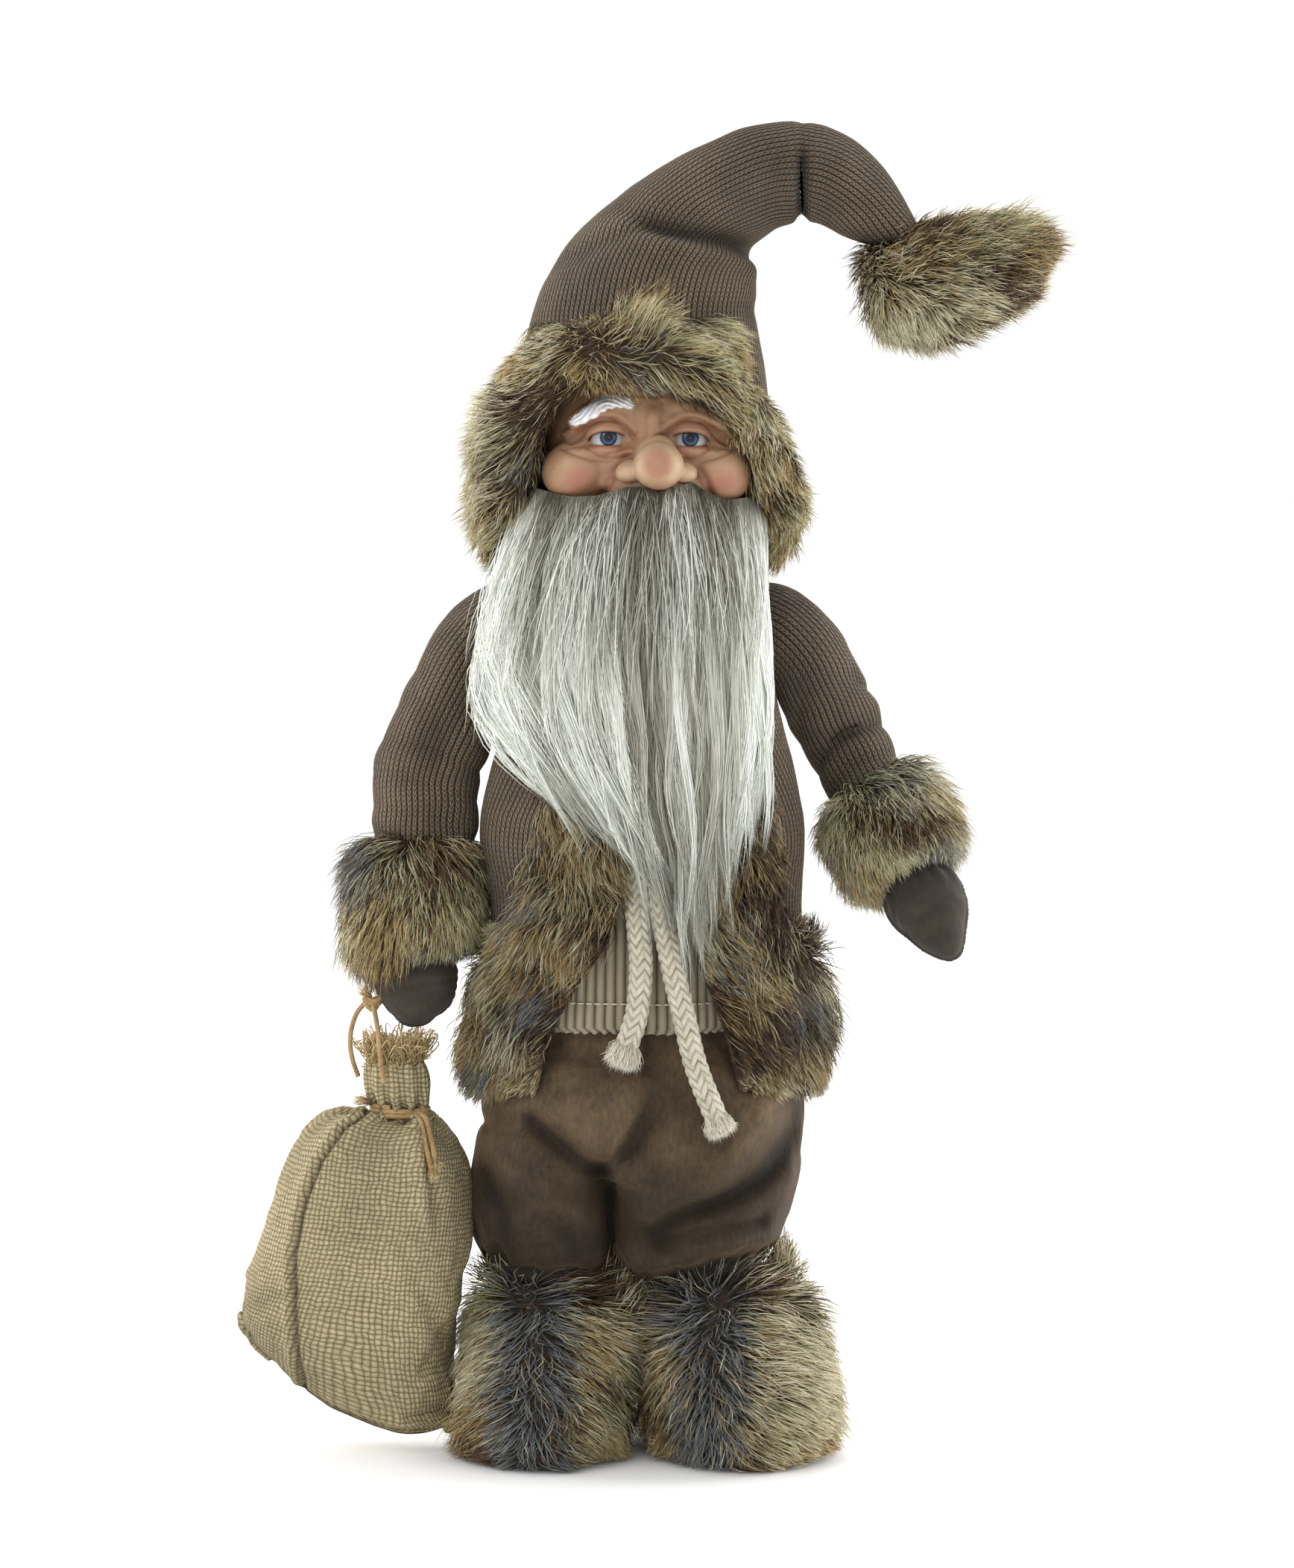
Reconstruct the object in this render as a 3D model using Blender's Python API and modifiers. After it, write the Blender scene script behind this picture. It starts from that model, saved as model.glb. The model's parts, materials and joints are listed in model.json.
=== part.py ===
"""Standing christmas gnome figurine with wired arms, an arched stocking hat and a burlap sack.

Metres, +Z up.  The figure faces -Y and its left-hand pieces, as a viewer sees them, lie at -X.
The origin is on the floor, under the middle of the whole outline.
Lengths in this file are written in millimetres and turned into metres by MM.
"""
import math

import bmesh
import bpy
from mathutils import Matrix, Vector

for item in list(bpy.data.objects):
    bpy.data.objects.remove(item, do_unlink=True)

# ---------------------------------------------------------------- driving dimensions (mm)
MM = 0.001
SHIFT_X = 0.0            # moves the whole figure so that its outline is centred on the origin
SHIFT_Y = 6.4
GAP = 0.35               # clearance between neighbouring pieces

SOLE_THICK = 4.0
BOOT_TOP = 66.0
POST_R = 4.0
POST_X = {"left": -37.0, "right": 31.0}
POST_TOP = 174.0
WIRE_R = 1.2

SHIRT_GAP, SHIRT_THICK = 1.6, 1.8
JACKET_GAP, JACKET_THICK = 2.2, 3.0
TRIM_GAP, TRIM_THICK = 2.4, 5.0

SHOULDER = {"left": (-60.0, 2.0, 303.0), "right": (55.0, 2.0, 303.0)}
ELBOW = {"left": (-85.0, 5.0, 260.0), "right": (74.0, 24.0, 270.0)}
HAND_TIP = {"left": (-87.0, -14.0, 161.5), "right": (115.5, -26.0, 187.0)}
SHOULDER_BALL = 14.6
ELBOW_BALL = 15.6
CUFF_R, CUFF_BORE = 20.0, 12.2

HAT_PIVOT = (18.0, 0.0, 458.0)
HAT_BALL = 23.4
TIP_PIVOT = (69.0, 0.0, 480.0)
TIP_BALL = 15.6

KNOT = (-102.6, -13.0, 172.0)
TWINE_R = 0.9
DRAWCORD_R = 4.25

# ---------------------------------------------------------------- collections
model = bpy.data.collections.new("christmas_gnome")
guides = bpy.data.collections.new("cutters")
bpy.context.scene.collection.children.link(model)
bpy.context.scene.collection.children.link(guides)


# ---------------------------------------------------------------- helpers
def P(x, y, z):
    """A point of the figure, from millimetres to metres."""
    return Vector(((x + SHIFT_X) * MM, (y + SHIFT_Y) * MM, z * MM))


def D(x, y, z):
    """A direction or a half axis, from millimetres to metres."""
    return Vector((x * MM, y * MM, z * MM))


def spline(rows, t):
    """Smooth value at t (0 to 1) through equally spaced rows of numbers."""
    n = len(rows) - 1
    s = min(max(t, 0.0), 1.0) * n
    i = min(int(s), n - 1)
    f = s - i
    p0, p1, p2, p3 = rows[max(i - 1, 0)], rows[i], rows[i + 1], rows[min(i + 2, n)]
    out = []
    for a, b, c, d in zip(p0, p1, p2, p3):
        m1, m2 = (c - a) / 2, (d - b) / 2
        if i == 0:
            m1 = c - b
        if i == n - 1:
            m2 = c - b
        out.append(b + f * (m1 + f * (3 * (c - b) - 2 * m1 - m2 + f * (2 * (b - c) + m1 + m2))))
    return out


def at_height(table, z):
    """Row values at a height, from a table of (z, values...)."""
    if z <= table[0][0]:
        return list(table[0][1:])
    for low, high in zip(table, table[1:]):
        if z <= high[0]:
            f = (z - low[0]) / (high[0] - low[0])
            f = f * f * (3 - 2 * f) * 0.35 + f * 0.65
            return [a + (b - a) * f for a, b in zip(low[1:], high[1:])]
    return list(table[-1][1:])


def paint(obj, colour, rough=0.9, metal=0.0):
    material = bpy.data.materials.new(obj.name)
    material.use_nodes = True
    shader = material.node_tree.nodes["Principled BSDF"]
    shader.inputs["Base Color"].default_value = (*colour, 1.0)
    shader.inputs["Roughness"].default_value = rough
    shader.inputs["Metallic"].default_value = metal
    obj.data.materials.append(material)


def place(name, data, colour, rough=0.9, metal=0.0):
    obj = bpy.data.objects.new(name, data)
    model.objects.link(obj)
    paint(obj, colour, rough, metal)
    return obj


def as_mesh(bm, name):
    mesh = bpy.data.meshes.new(name)
    bm.to_mesh(mesh)
    bm.free()
    mesh.shade_smooth()
    mesh.set_sharp_from_angle(angle=math.radians(50))
    return mesh


def surface(columns, rows, point, closed=False, caps=False, inside=None):
    """A grid laid on point(u, v).  closed joins its two sides, caps fills its ends."""
    bm = bmesh.new()
    bmesh.ops.create_grid(bm, x_segments=columns, y_segments=rows, size=1.0)
    for vert in bm.verts:
        vert.co = point((vert.co.x + 1) / 2, (vert.co.y + 1) / 2)
    if closed:
        bmesh.ops.remove_doubles(bm, verts=bm.verts[:], dist=2e-6)
    if caps:
        bmesh.ops.holes_fill(bm, edges=[e for e in bm.edges if e.is_boundary], sides=0)
        bmesh.ops.recalc_face_normals(bm, faces=bm.faces[:])
        if bm.calc_volume(signed=True) < 0:
            bmesh.ops.reverse_faces(bm, faces=bm.faces[:])
    elif inside is not None:
        bmesh.ops.recalc_face_normals(bm, faces=bm.faces[:])
        facing = sum(f.calc_area() * f.normal.dot(f.calc_center_median() - inside) for f in bm.faces)
        if facing < 0:
            bmesh.ops.reverse_faces(bm, faces=bm.faces[:])
    return bm


def tube_rings(rings, power=2.0):
    """point(u, v) on a tube through rings of (centre, half axis A, half axis B) in mm."""
    rows = [[*c, *a, *b] for c, a, b in rings]

    def point(u, v):
        x, y, z, ax, ay, az, bx, by, bz = spline(rows, v)
        turn = 2 * math.pi * u
        c, s = math.cos(turn), math.sin(turn)
        c = math.copysign(abs(c) ** (2 / power), c)
        s = math.copysign(abs(s) ** (2 / power), s)
        return P(x + ax * c + bx * s, y + ay * c + by * s, z + az * c + bz * s)

    return point


def solid_tube(name, rings, colour, columns=20, rows=8, power=2.0, **finish):
    bm = surface(columns, rows, tube_rings(rings, power), closed=True, caps=True)
    return place(name, as_mesh(bm, name), colour, **finish)


def thicken(obj, thickness, outward=False):
    shell = obj.modifiers.new("wall", "SOLIDIFY")
    shell.thickness = thickness * MM
    shell.offset = 1.0 if outward else -1.0
    shell.use_even_offset = True
    return shell


def cutter(name, bm):
    obj = bpy.data.objects.new(name, as_mesh(bm, name))
    guides.objects.link(obj)
    obj.hide_render = True
    obj.display_type = "WIRE"
    return obj


def cut(obj, tool, operation="DIFFERENCE"):
    step = obj.modifiers.new("cut_" + tool.name, "BOOLEAN")
    step.object = tool
    step.operation = operation
    step.solver = "EXACT"
    return step


def ball_cutter(name, centre, radius):
    bm = bmesh.new()
    bmesh.ops.create_uvsphere(bm, u_segments=16, v_segments=10, radius=radius * MM,
                              matrix=Matrix.Translation(P(*centre)))
    return cutter(name, bm)


def rod_matrix(start, end):
    a, b = P(*start), P(*end)
    turn = (b - a).to_track_quat("Z", "Y").to_matrix().to_4x4()
    return Matrix.Translation((a + b) / 2) @ turn, (b - a).length


def rod_bmesh(start, end, radius, sides=16):
    matrix, length = rod_matrix(start, end)
    bm = bmesh.new()
    bmesh.ops.create_cone(bm, cap_ends=True, segments=sides, radius1=radius * MM,
                          radius2=radius * MM, depth=length, matrix=matrix)
    return bm


def rod(name, start, end, radius, colour, sides=16, **finish):
    return place(name, as_mesh(rod_bmesh(start, end, radius, sides), name), colour, **finish)


def curve_data(name, points, radius, resolution=2):
    data = bpy.data.curves.new(name, "CURVE")
    data.dimensions = "3D"
    data.bevel_depth = radius * MM
    data.bevel_resolution = resolution
    data.use_fill_caps = True
    line = data.splines.new("POLY")
    line.points.add(len(points) - 1)
    for knot, xyz in zip(line.points, points):
        knot.co = (*P(*xyz), 1.0)
    return data


def along(points, spacing):
    """Points at about equal spacing on a smooth line through the given ones."""
    fine = [spline(points, i / 400) for i in range(401)]
    travelled = [0.0]
    for a, b in zip(fine, fine[1:]):
        travelled.append(travelled[-1] + math.dist(a, b))
    count = max(2, round(travelled[-1] / spacing))
    out, k = [], 0
    for i in range(count + 1):
        goal = travelled[-1] * i / count
        while k < 399 and travelled[k + 1] < goal:
            k += 1
        step = travelled[k + 1] - travelled[k]
        f = (goal - travelled[k]) / step if step else 0.0
        out.append([a + (b - a) * f for a, b in zip(fine[k], fine[k + 1])])
    return out


def cord(name, points, radius, colour, spacing, **finish):
    return place(name, curve_data(name, along(points, spacing), radius), colour, **finish)


def tube_cutter(name, points, radius, spacing):
    """A bore along a curved line: the line's tube, made a closed mesh."""
    line = bpy.data.objects.new(name + "_line", curve_data(name, along(points, spacing), radius, 3))
    guides.objects.link(line)
    bpy.context.view_layer.update()
    graph = bpy.context.evaluated_depsgraph_get()
    mesh = bpy.data.meshes.new_from_object(line.evaluated_get(graph))
    bm = bmesh.new()
    bm.from_mesh(mesh)
    bmesh.ops.remove_doubles(bm, verts=bm.verts[:], dist=1e-6)
    tool = cutter(name, bm)
    tool.matrix_world = line.matrix_world.copy()
    bpy.data.objects.remove(line, do_unlink=True)
    return tool


def across(start, end, side=(0.0, 1.0, 0.0)):
    """Two unit vectors square to the line from start to end, the second near side."""
    axis = (Vector(end) - Vector(start)).normalized()
    second = Vector(side) - axis * axis.dot(Vector(side))
    second.normalize()
    return axis, second.cross(axis).normalized(), second


def limb(start, end, stations, side=(0.0, 1.0, 0.0)):
    """Rings along a straight limb from (distance, radius, radius) stations."""
    axis, first, second = across(start, end, side)
    return [(tuple(Vector(start) + axis * d), tuple(first * a), tuple(second * b)) for d, a, b in stations]


# ---------------------------------------------------------------- colours
FUR = (0.16, 0.11, 0.06)
KNIT = (0.10, 0.065, 0.04)
PLUSH = (0.075, 0.042, 0.022)
MITT = (0.045, 0.032, 0.025)
CORDUROY = (0.36, 0.29, 0.21)
COTTON = (0.55, 0.50, 0.40)
SKIN = (0.60, 0.33, 0.20)
HAIR = (0.55, 0.53, 0.49)
BURLAP = (0.38, 0.27, 0.15)
JUTE = (0.33, 0.24, 0.14)
FOAM = (0.75, 0.73, 0.66)
WOOD = (0.52, 0.36, 0.20)
STEEL = (0.55, 0.55, 0.56)
BOARD = (0.30, 0.22, 0.15)

# ---------------------------------------------------------------- feet and legs
BOOT = {"left": dict(x=-38.0, y=-12.0, a=27.0, b=45.0, turn=-5.0),
        "right": dict(x=34.5, y=-12.0, a=30.0, b=46.0, turn=14.0)}
# height, width share, length share, how far the ring's middle lies behind the foot's middle
BOOT_ROWS = [(0.0, 0.88, 0.92, 0.0), (9.0, 1.0, 1.0, 0.0), (24.0, 1.03, 1.0, 0.0),
             (40.0, 1.0, 0.90, 4.5), (54.0, 0.93, 0.74, 11.0), (BOOT_TOP, 0.74, 0.52, 16.0)]


def boot_ring(foot, row, inset=0.0):
    z, wide, long_, back = row
    turn = math.radians(foot["turn"])
    toe = Vector((math.sin(turn), -math.cos(turn), 0.0))
    side = Vector((math.cos(turn), math.sin(turn), 0.0))
    centre = Vector((foot["x"], foot["y"], z)) - toe * back
    return (tuple(centre), tuple(side * (foot["a"] * wide - inset)), tuple(toe * (foot["b"] * long_ - inset)))


for hand in ("left", "right"):
    foot = BOOT[hand]
    boot = solid_tube(f"boot_{hand}", [boot_ring(foot, row) for row in BOOT_ROWS], FUR,
                      columns=18, rows=6, power=2.3)
    # the board fills a flat recess under the boot
    recess = surface(18, 1, tube_rings([boot_ring(foot, (-2.0, 0.88, 0.92, 0.0), 3.2),
                                        boot_ring(foot, (SOLE_THICK + GAP, 0.88, 0.92, 0.0), 3.2)], 2.3),
                     closed=True, caps=True)
    cut(boot, cutter(f"sole_recess_{hand}", recess))
    solid_tube(f"sole_{hand}", [boot_ring(foot, (0.0, 0.88, 0.92, 0.0), 3.2 + GAP),
                                boot_ring(foot, (SOLE_THICK, 0.88, 0.92, 0.0), 3.2 + GAP)], BOARD,
               columns=18, rows=1, power=2.3, rough=0.8)
    x = POST_X[hand]
    rod(f"leg_post_{hand}", (x, 4.0, SOLE_THICK + GAP), (x, 4.0, POST_TOP), POST_R, WOOD, rough=0.6)
    bore = cutter(f"post_bore_{hand}", rod_bmesh((x, 4.0, 2.0), (x, 4.0, POST_TOP + 1.0), POST_R + GAP))
    cut(boot, bore)

# ---------------------------------------------------------------- trousers and ballast
pelvis = [((0, -1, 169), (51.6, 0, 0), (0, 39.6, 0)),
          ((0, -1, 157), (52.0, 0, 0), (0, 40.0, 0)),
          ((0, -1, 147), (56.0, 0, 0), (0, 43.5, 0)),
          ((-1, -1, 132), (58.5, 0, 0), (0, 46.0, 0)),
          ((-2, -1, 116), (57.0, 0, 0), (0, 45.0, 0)),
          ((-3, -1, 106), (50.0, 0, 0), (0, 38.0, 0))]
trousers = solid_tube("trousers", pelvis, PLUSH, columns=20, rows=6)
LEGS = {"left": [((-38, -1, 122), (23, 0, 0), (0, 38, 0)), ((-39, -1, 108), (24, 0, 0), (0, 40, 0)),
                 ((-40, -1, 92), (24, 0, 0), (0, 39, 0)), ((-39, 2, 78), (22.5, 0, 0), (0, 34, 0)),
                 ((-38, 4, BOOT_TOP + GAP), (19, 0, 0), (0, 26, 0))],
        "right": [((20, -1, 122), (34, 0, 0), (0, 38, 0)), ((21, -1, 108), (35, 0, 0), (0, 40, 0)),
                  ((20.5, -1, 92), (33.5, 0, 0), (0, 39, 0)), ((21, 2, 78), (30, 0, 0), (0, 34, 0)),
                  ((24, 4, BOOT_TOP + GAP), (24, 0, 0), (0, 26, 0))]}
for hand in ("left", "right"):
    leg = surface(16, 4, tube_rings(LEGS[hand]), closed=True, caps=True)
    cut(trousers, cutter(f"trouser_leg_{hand}", leg), "UNION")
for hand in ("left", "right"):
    cut(trousers, guides.objects[f"post_bore_{hand}"])
pocket = surface(16, 4, tube_rings([((-3, 0, 175), (24, 0, 0), (0, 27, 0)), ((-3, 0, 150), (25, 0, 0), (0, 28, 0)),
                                    ((-3, 0, 133), (25, 0, 0), (0, 28, 0)), ((-3, 0, 118), (16, 0, 0), (0, 19, 0))]),
                 closed=True, caps=True)
cut(trousers, cutter("ballast_pocket", pocket))
solid_tube("ballast_bag", [((-3, 0, 148.5), (18, 0, 0), (0, 20, 0)), ((-3, 0, 144), (23, 0, 0), (0, 26, 0)),
                           ((-3, 0, 133), (23.4, 0, 0), (0, 26.4, 0)), ((-3, 0, 120.5), (14.6, 0, 0), (0, 17.6, 0))],
           (0.62, 0.60, 0.55), columns=16, rows=4)

# ---------------------------------------------------------------- torso layers
# height, middle x, middle y, half width, half depth of the foam core
CORE = [(150, 0, -1, 47, 35.5), (172, 0, -2, 49, 38.5), (200, 0, -3, 50, 41), (240, 0, -2, 47, 38),
        (280, 0, 0, 38.0, 32), (300, 0, 1, 36, 28), (314, 0, 2, 31, 23), (324, 0, 3, 21, 18)]


def torso_point(offset, z, angle):
    """On the torso at a height, offset outside the core; the angle runs from the front to +X."""
    cx, cy, a, b = at_height(CORE, z)
    return P(cx + (a + offset) * math.sin(angle), cy - (b + offset) * math.cos(angle), z)


def torso_rings(offset, heights):
    out = []
    for z in heights:
        cx, cy, a, b = at_height(CORE, z)
        out.append(((cx, cy, z), (a + offset, 0, 0), (0, b + offset, 0)))
    return out


core = solid_tube("torso_core", torso_rings(0.0, [150, 172, 200, 240, 280, 300, 314, 322]), FOAM, columns=20, rows=7)
for hand in ("left", "right"):
    cut(core, guides.objects[f"post_bore_{hand}"])

shirt_out = SHIRT_GAP + SHIRT_THICK
bm = surface(20, 6, lambda u, v: torso_point(shirt_out, 156.8 + (302 - 156.8) * v, 2 * math.pi * u),
             closed=True, inside=P(0, 0, 230))
shirt = place("shirt", as_mesh(bm, "shirt"), CORDUROY)
thicken(shirt, SHIRT_THICK)
# the trouser waist runs up inside the shirt hem
waist = surface(24, 1, tube_rings([((0, -1, 120), (53.0, 0, 0), (0, 41.0, 0)), ((0, -1, 169.6), (52.6, 0, 0), (0, 40.6, 0))]),
                closed=True, caps=True)
cut(shirt, cutter("waist_room", waist))
waist_core = surface(24, 2, tube_rings([((0, -1, 140), (54.0, 0, 0), (0, 44.0, 0)), ((0, -1, 169.4), (54.0, 0, 0), (0, 44.0, 0))]),
                     closed=True, caps=True)
# the waistband is open above the ballast, so the core starts on top of it
cut(core, cutter("core_seat", waist_core))

jacket_out = shirt_out + JACKET_GAP + JACKET_THICK
FRONT_LEFT = [(178, 34), (200, 27), (215, 24), (300, 22), (330, 20)]      # height, degrees from the front
FRONT_RIGHT = [(178, 34), (200, 27), (215, 24), (300, 22), (330, 20)]


def jacket_point(u, v):
    z = 178 + (321 - 178) * v
    left, right = at_height(FRONT_LEFT, z)[0], at_height(FRONT_RIGHT, z)[0]
    angle = math.radians(right + (360 - left - right) * u)
    return torso_point(jacket_out + max(0.0, z - 280) * 0.08, z, angle)


bm = surface(22, 6, jacket_point, inside=P(0, 0, 240))
jacket = place("jacket", as_mesh(bm, "jacket"), KNIT)
thicken(jacket, JACKET_THICK)

# ---------------------------------------------------------------- fur on the jacket's edges
# height, degrees of the edge beside the opening, degrees of the edge on the knit
TRIM = {"left": [(141, 40, 96), (160, 36, 96), (184, 22, 96), (196, 15, 62), (212, 15.5, 50), (260, 15.5, 48), (312, 19, 44)],
        "right": [(141, 33, 96), (160, 29, 96), (184, 20, 96), (196, 15, 66), (212, 15.5, 58), (260, 15.5, 54), (312, 19, 44)]}
# the hem stands off the hips: height, extra distance
HEM = [(141, 13.0), (160, 10.0), (180, 8.6), (192, 8.6), (330, 8.6)]


def trim_point(z, angle):
    """Inner face of the fur trim."""
    cx, cy, a, b = at_height(CORE, max(z, 150))
    off = at_height(HEM, z)[0] + TRIM_GAP + max(0.0, z - 280) * 0.08
    side = math.sin(angle)
    x = cx + (a + off) * side
    limit = -60.6 if side < 0 else 64.0
    if abs(x) > abs(limit):
        x = limit
    return P(x, cy - (b + off) * math.cos(angle), z)


for hand, sign in (("left", -1), ("right", 1)):
    def strip(u, v, rows=TRIM[hand], sign=sign):
        z = 141 + (312 - 141) * v
        near, far = at_height(rows, z)
        return trim_point(z, sign * math.radians(near + (far - near) * u))

    bm = surface(8, 11, strip, inside=P(0, 0, 220))
    trim = place(f"jacket_fur_{hand}", as_mesh(bm, f"jacket_fur_{hand}"), FUR)
    thicken(trim, TRIM_THICK, outward=True)


def hem_back(u, v):
    return trim_point(141 + (192 - 141) * v, math.radians(97.0 + (263.0 - 97.0) * u))


bm = surface(12, 3, hem_back, inside=P(0, 0, 165))
trim = place("jacket_fur_back", as_mesh(bm, "jacket_fur_back"), FUR)
thicken(trim, TRIM_THICK, outward=True)

# ---------------------------------------------------------------- drawcords down the chest
DRAWCORD = {"left": [(-7.6, -33.5, 306), (-6.6, -39.5, 290), (-5.8, -45.4, 265), (-5.4, -50.2, 235), (-5.6, -53.0, 205),
                     (-6.6, -53.6, 180), (-8.2, -53.4, 160), (-9.6, -53.2, 143)],
            "right": [(5.6, -33.5, 306), (4.9, -39.5, 290), (4.4, -45.4, 265), (4.4, -50.2, 235), (5.6, -53.0, 207),
                      (10.0, -53.8, 182), (17.6, -54.2, 158), (24.4, -54.2, 138), (30.4, -54.0, 118)]}
for hand in ("left", "right"):
    cord(f"drawcord_{hand}", DRAWCORD[hand], DRAWCORD_R, COTTON, spacing=10.0)

# ---------------------------------------------------------------- head
rod("neck_post", (0, 3, 300), (0, 3, 362), POST_R, WOOD, rough=0.6)
neck_bore = cutter("neck_bore", rod_bmesh((0, 3, 298.5), (0, 3, 363.5), POST_R + GAP))
cut(core, neck_bore)

bm = bmesh.new()
bmesh.ops.create_uvsphere(bm, u_segments=18, v_segments=10, radius=1.0)
for vert in bm.verts:
    vert.co = P(1 + 36 * vert.co.x, 3 + 34 * vert.co.y, 384 + 42 * vert.co.z)
head = place("head_core", as_mesh(bm, "head_core"), FOAM)
cut(head, neck_bore)

FACE = dict(x=1.0, y=0.0, z=380.0, a=41.5, b=42.0, c=45.0)


def face_point(u, v, grow=0.0):
    turn, rise = math.radians(-64 + 128 * u), math.radians(-42 + 84 * v)
    return P(FACE["x"] + (FACE["a"] + grow) * math.sin(turn) * math.cos(rise),
             FACE["y"] - (FACE["b"] + grow) * math.cos(turn) * math.cos(rise),
             FACE["z"] + (FACE["c"] + grow) * math.sin(rise))


bm = surface(12, 8, face_point, inside=P(1, 10, 380))
face = place("face_mask", as_mesh(bm, "face_mask"), SKIN, rough=0.45)
thicken(face, 3.0)
for name, centre, size in (("nose_ball", (4.5, -46.0, 371.0), (9.2, 9.5, 8.8)),
                           ("nose_wing_left", (-6.5, -42.0, 369.5), (5.5, 5.5, 4.6)),
                           ("nose_wing_right", (13.8, -41.5, 369.0), (5.5, 5.5, 4.6))):
    bm = bmesh.new()
    bmesh.ops.create_uvsphere(bm, u_segments=12, v_segments=8, radius=1.0)
    for vert in bm.verts:
        vert.co = P(*(c + s * q for c, s, q in zip(centre, size, vert.co)))
    cut(face, cutter(name, bm), "UNION")

# ---------------------------------------------------------------- beard
# height, left edge, right edge, middle depth
BEARD = [(360, -33, 34, -48.5), (340, -43, 43, -51), (312, -50, 47, -52.5), (284, -50, 48, -54.5), (262, -43, 47, -57.5),
         (240, -22, 40, -60.0), (218, -1, 29, -61.5), (196, 14, 24, -62.5)]


def beard_point(u, v):
    left, right, depth = at_height(BEARD[::-1], 196 + (360 - 196) * (1 - v))
    x = left + (right - left) * u
    return P(x, depth + 0.0078 * x * x, 196 + (360 - 196) * (1 - v))


bm = surface(8, 9, beard_point, inside=P(0, 40, 280))
beard = place("beard", as_mesh(bm, "beard"), HAIR)
thicken(beard, 6.0, outward=True)

# ---------------------------------------------------------------- fur brim round the face
BRIM = [(-49.5, -13, 338), (-54, -19, 358), (-52.5, -27, 384), (-43, -36, 406), (-23, -43.5, 417), (0, -46, 419.5),
        (21, -44, 416.5), (40, -37, 405), (50.5, -28, 384), (53, -19, 358), (48, -13, 338)]
BRIM_R = 12.0
cord("hat_fur_brim", BRIM, BRIM_R, FUR, spacing=12.0)
brim_room = tube_cutter("brim_room", [(-48, -10, 326)] + BRIM + [(46.5, -10, 326)], BRIM_R + 1.2, 10.0)
face_room = bmesh.new()
outline = [(-6, 300), (-6, 338), (-12, 358), (-20, 384), (-31, 406), (-44, 420), (-90, 424), (-90, 300)]
corners = [face_room.verts.new(P(-90, y, z)) for y, z in outline]
sheet = face_room.faces.new(corners)
pushed = bmesh.ops.extrude_face_region(face_room, geom=[sheet])
bmesh.ops.translate(face_room, vec=D(180, 0, 0), verts=[g for g in pushed["geom"] if isinstance(g, bmesh.types.BMVert)])
bmesh.ops.recalc_face_normals(face_room, faces=face_room.faces[:])
face_room = cutter("face_room", face_room)

# ---------------------------------------------------------------- hat
tilt = [0, 0, 0, 0, 0, 4, 12, 17]
crown_rows = [((0, 8, 327), 38, 31), ((0, 5, 348), 46.5, 42), ((0, 2.5, 376), 49.5, 46.5), ((0, 1, 402), 47.5, 45.5),
              ((0, 1, 424), 43.5, 42), ((2.5, 1, 438), 39.5, 38), ((9.0, 0.5, 449), 32.5, 32), ((15.4, 0, 453.6), 26.6, 26.4)]
rings = []
for (centre, a, b), lean in zip(crown_rows, tilt):
    lean = math.radians(lean)
    rings.append((centre, (a * math.cos(lean), 0, -a * math.sin(lean)), (0, b, 0)))
bm = surface(20, 9, tube_rings(rings), closed=True, inside=P(0, 0, 395))
crown = place("hat_crown", as_mesh(bm, "hat_crown"), KNIT)
thicken(crown, 3.4)
cut(crown, face_room)
cut(crown, brim_room)
cut(crown, ball_cutter("hat_socket", HAT_PIVOT, HAT_BALL + 0.6))

HAT_LINE = [(18, 0, 458), (24, 0, 466.5), (33, 0, 474.5), (45, 0, 480.4), (56, 0, 481.6), (65, 0, 481.0)]
HAT_R = [21.6, 21.0, 20.4, 19.4, 18.2, 17.2]


def plane_rings(line, radii):
    """Rings square to a line that lies in a plane of constant y."""
    out = []
    for i, (x, y, z) in enumerate(line):
        before, after = line[max(i - 1, 0)], line[min(i + 1, len(line) - 1)]
        step = Vector((after[0] - before[0], 0, after[2] - before[2])).normalized()
        first = Vector((step.z, 0, -step.x))
        out.append(((x, y, z), tuple(first * radii[i]), (0, radii[i], 0)))
    return out


middle = solid_tube("hat_middle", plane_rings(HAT_LINE, HAT_R), KNIT, columns=18, rows=7)
cut(middle, ball_cutter("hat_ball", HAT_PIVOT, HAT_BALL), "UNION")
cut(middle, ball_cutter("tip_socket", TIP_PIVOT, TIP_BALL + 0.6))
TIP_LINE = [(69, 0, 480), (78, 0, 475.6), (85.4, 0, 468.6), (90.6, 0, 461.4)]
TIP_R = [13.0, 12.4, 11.4, 10.0]
tip = solid_tube("hat_tip", plane_rings(TIP_LINE, TIP_R), KNIT, columns=16, rows=4)
cut(tip, ball_cutter("tip_ball", TIP_PIVOT, TIP_BALL), "UNION")

# the stiffening wire that holds the arch, in two lengths that meet at the bend
wire_low = [(18, 0, 440), (19, 0, 452), (24, 0, 464), (34, 0, 473), (46, 0, 478.5), (52.4, 0, 480)]
wire_high = [(58, 0, 482.2), (66, 0, 480.6), (75, 0, 477.0), (83, 0, 470.6), (87.6, 0, 464.8)]
cord("hat_wire_lower", wire_low, WIRE_R, STEEL, spacing=4.0, rough=0.35, metal=1.0)
cord("hat_wire_upper", wire_high, WIRE_R, STEEL, spacing=4.0, rough=0.35, metal=1.0)
cut(middle, tube_cutter("hat_bore_lower", [(17.6, 0, 428)] + wire_low[1:-1] + [(60, 0, 481)], WIRE_R + 0.6, 5.0))
cut(tip, tube_cutter("hat_bore_upper", [(50, 0, 483.6)] + wire_high[1:-1] + [(92, 0, 458)], WIRE_R + 0.6, 5.0))

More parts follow.
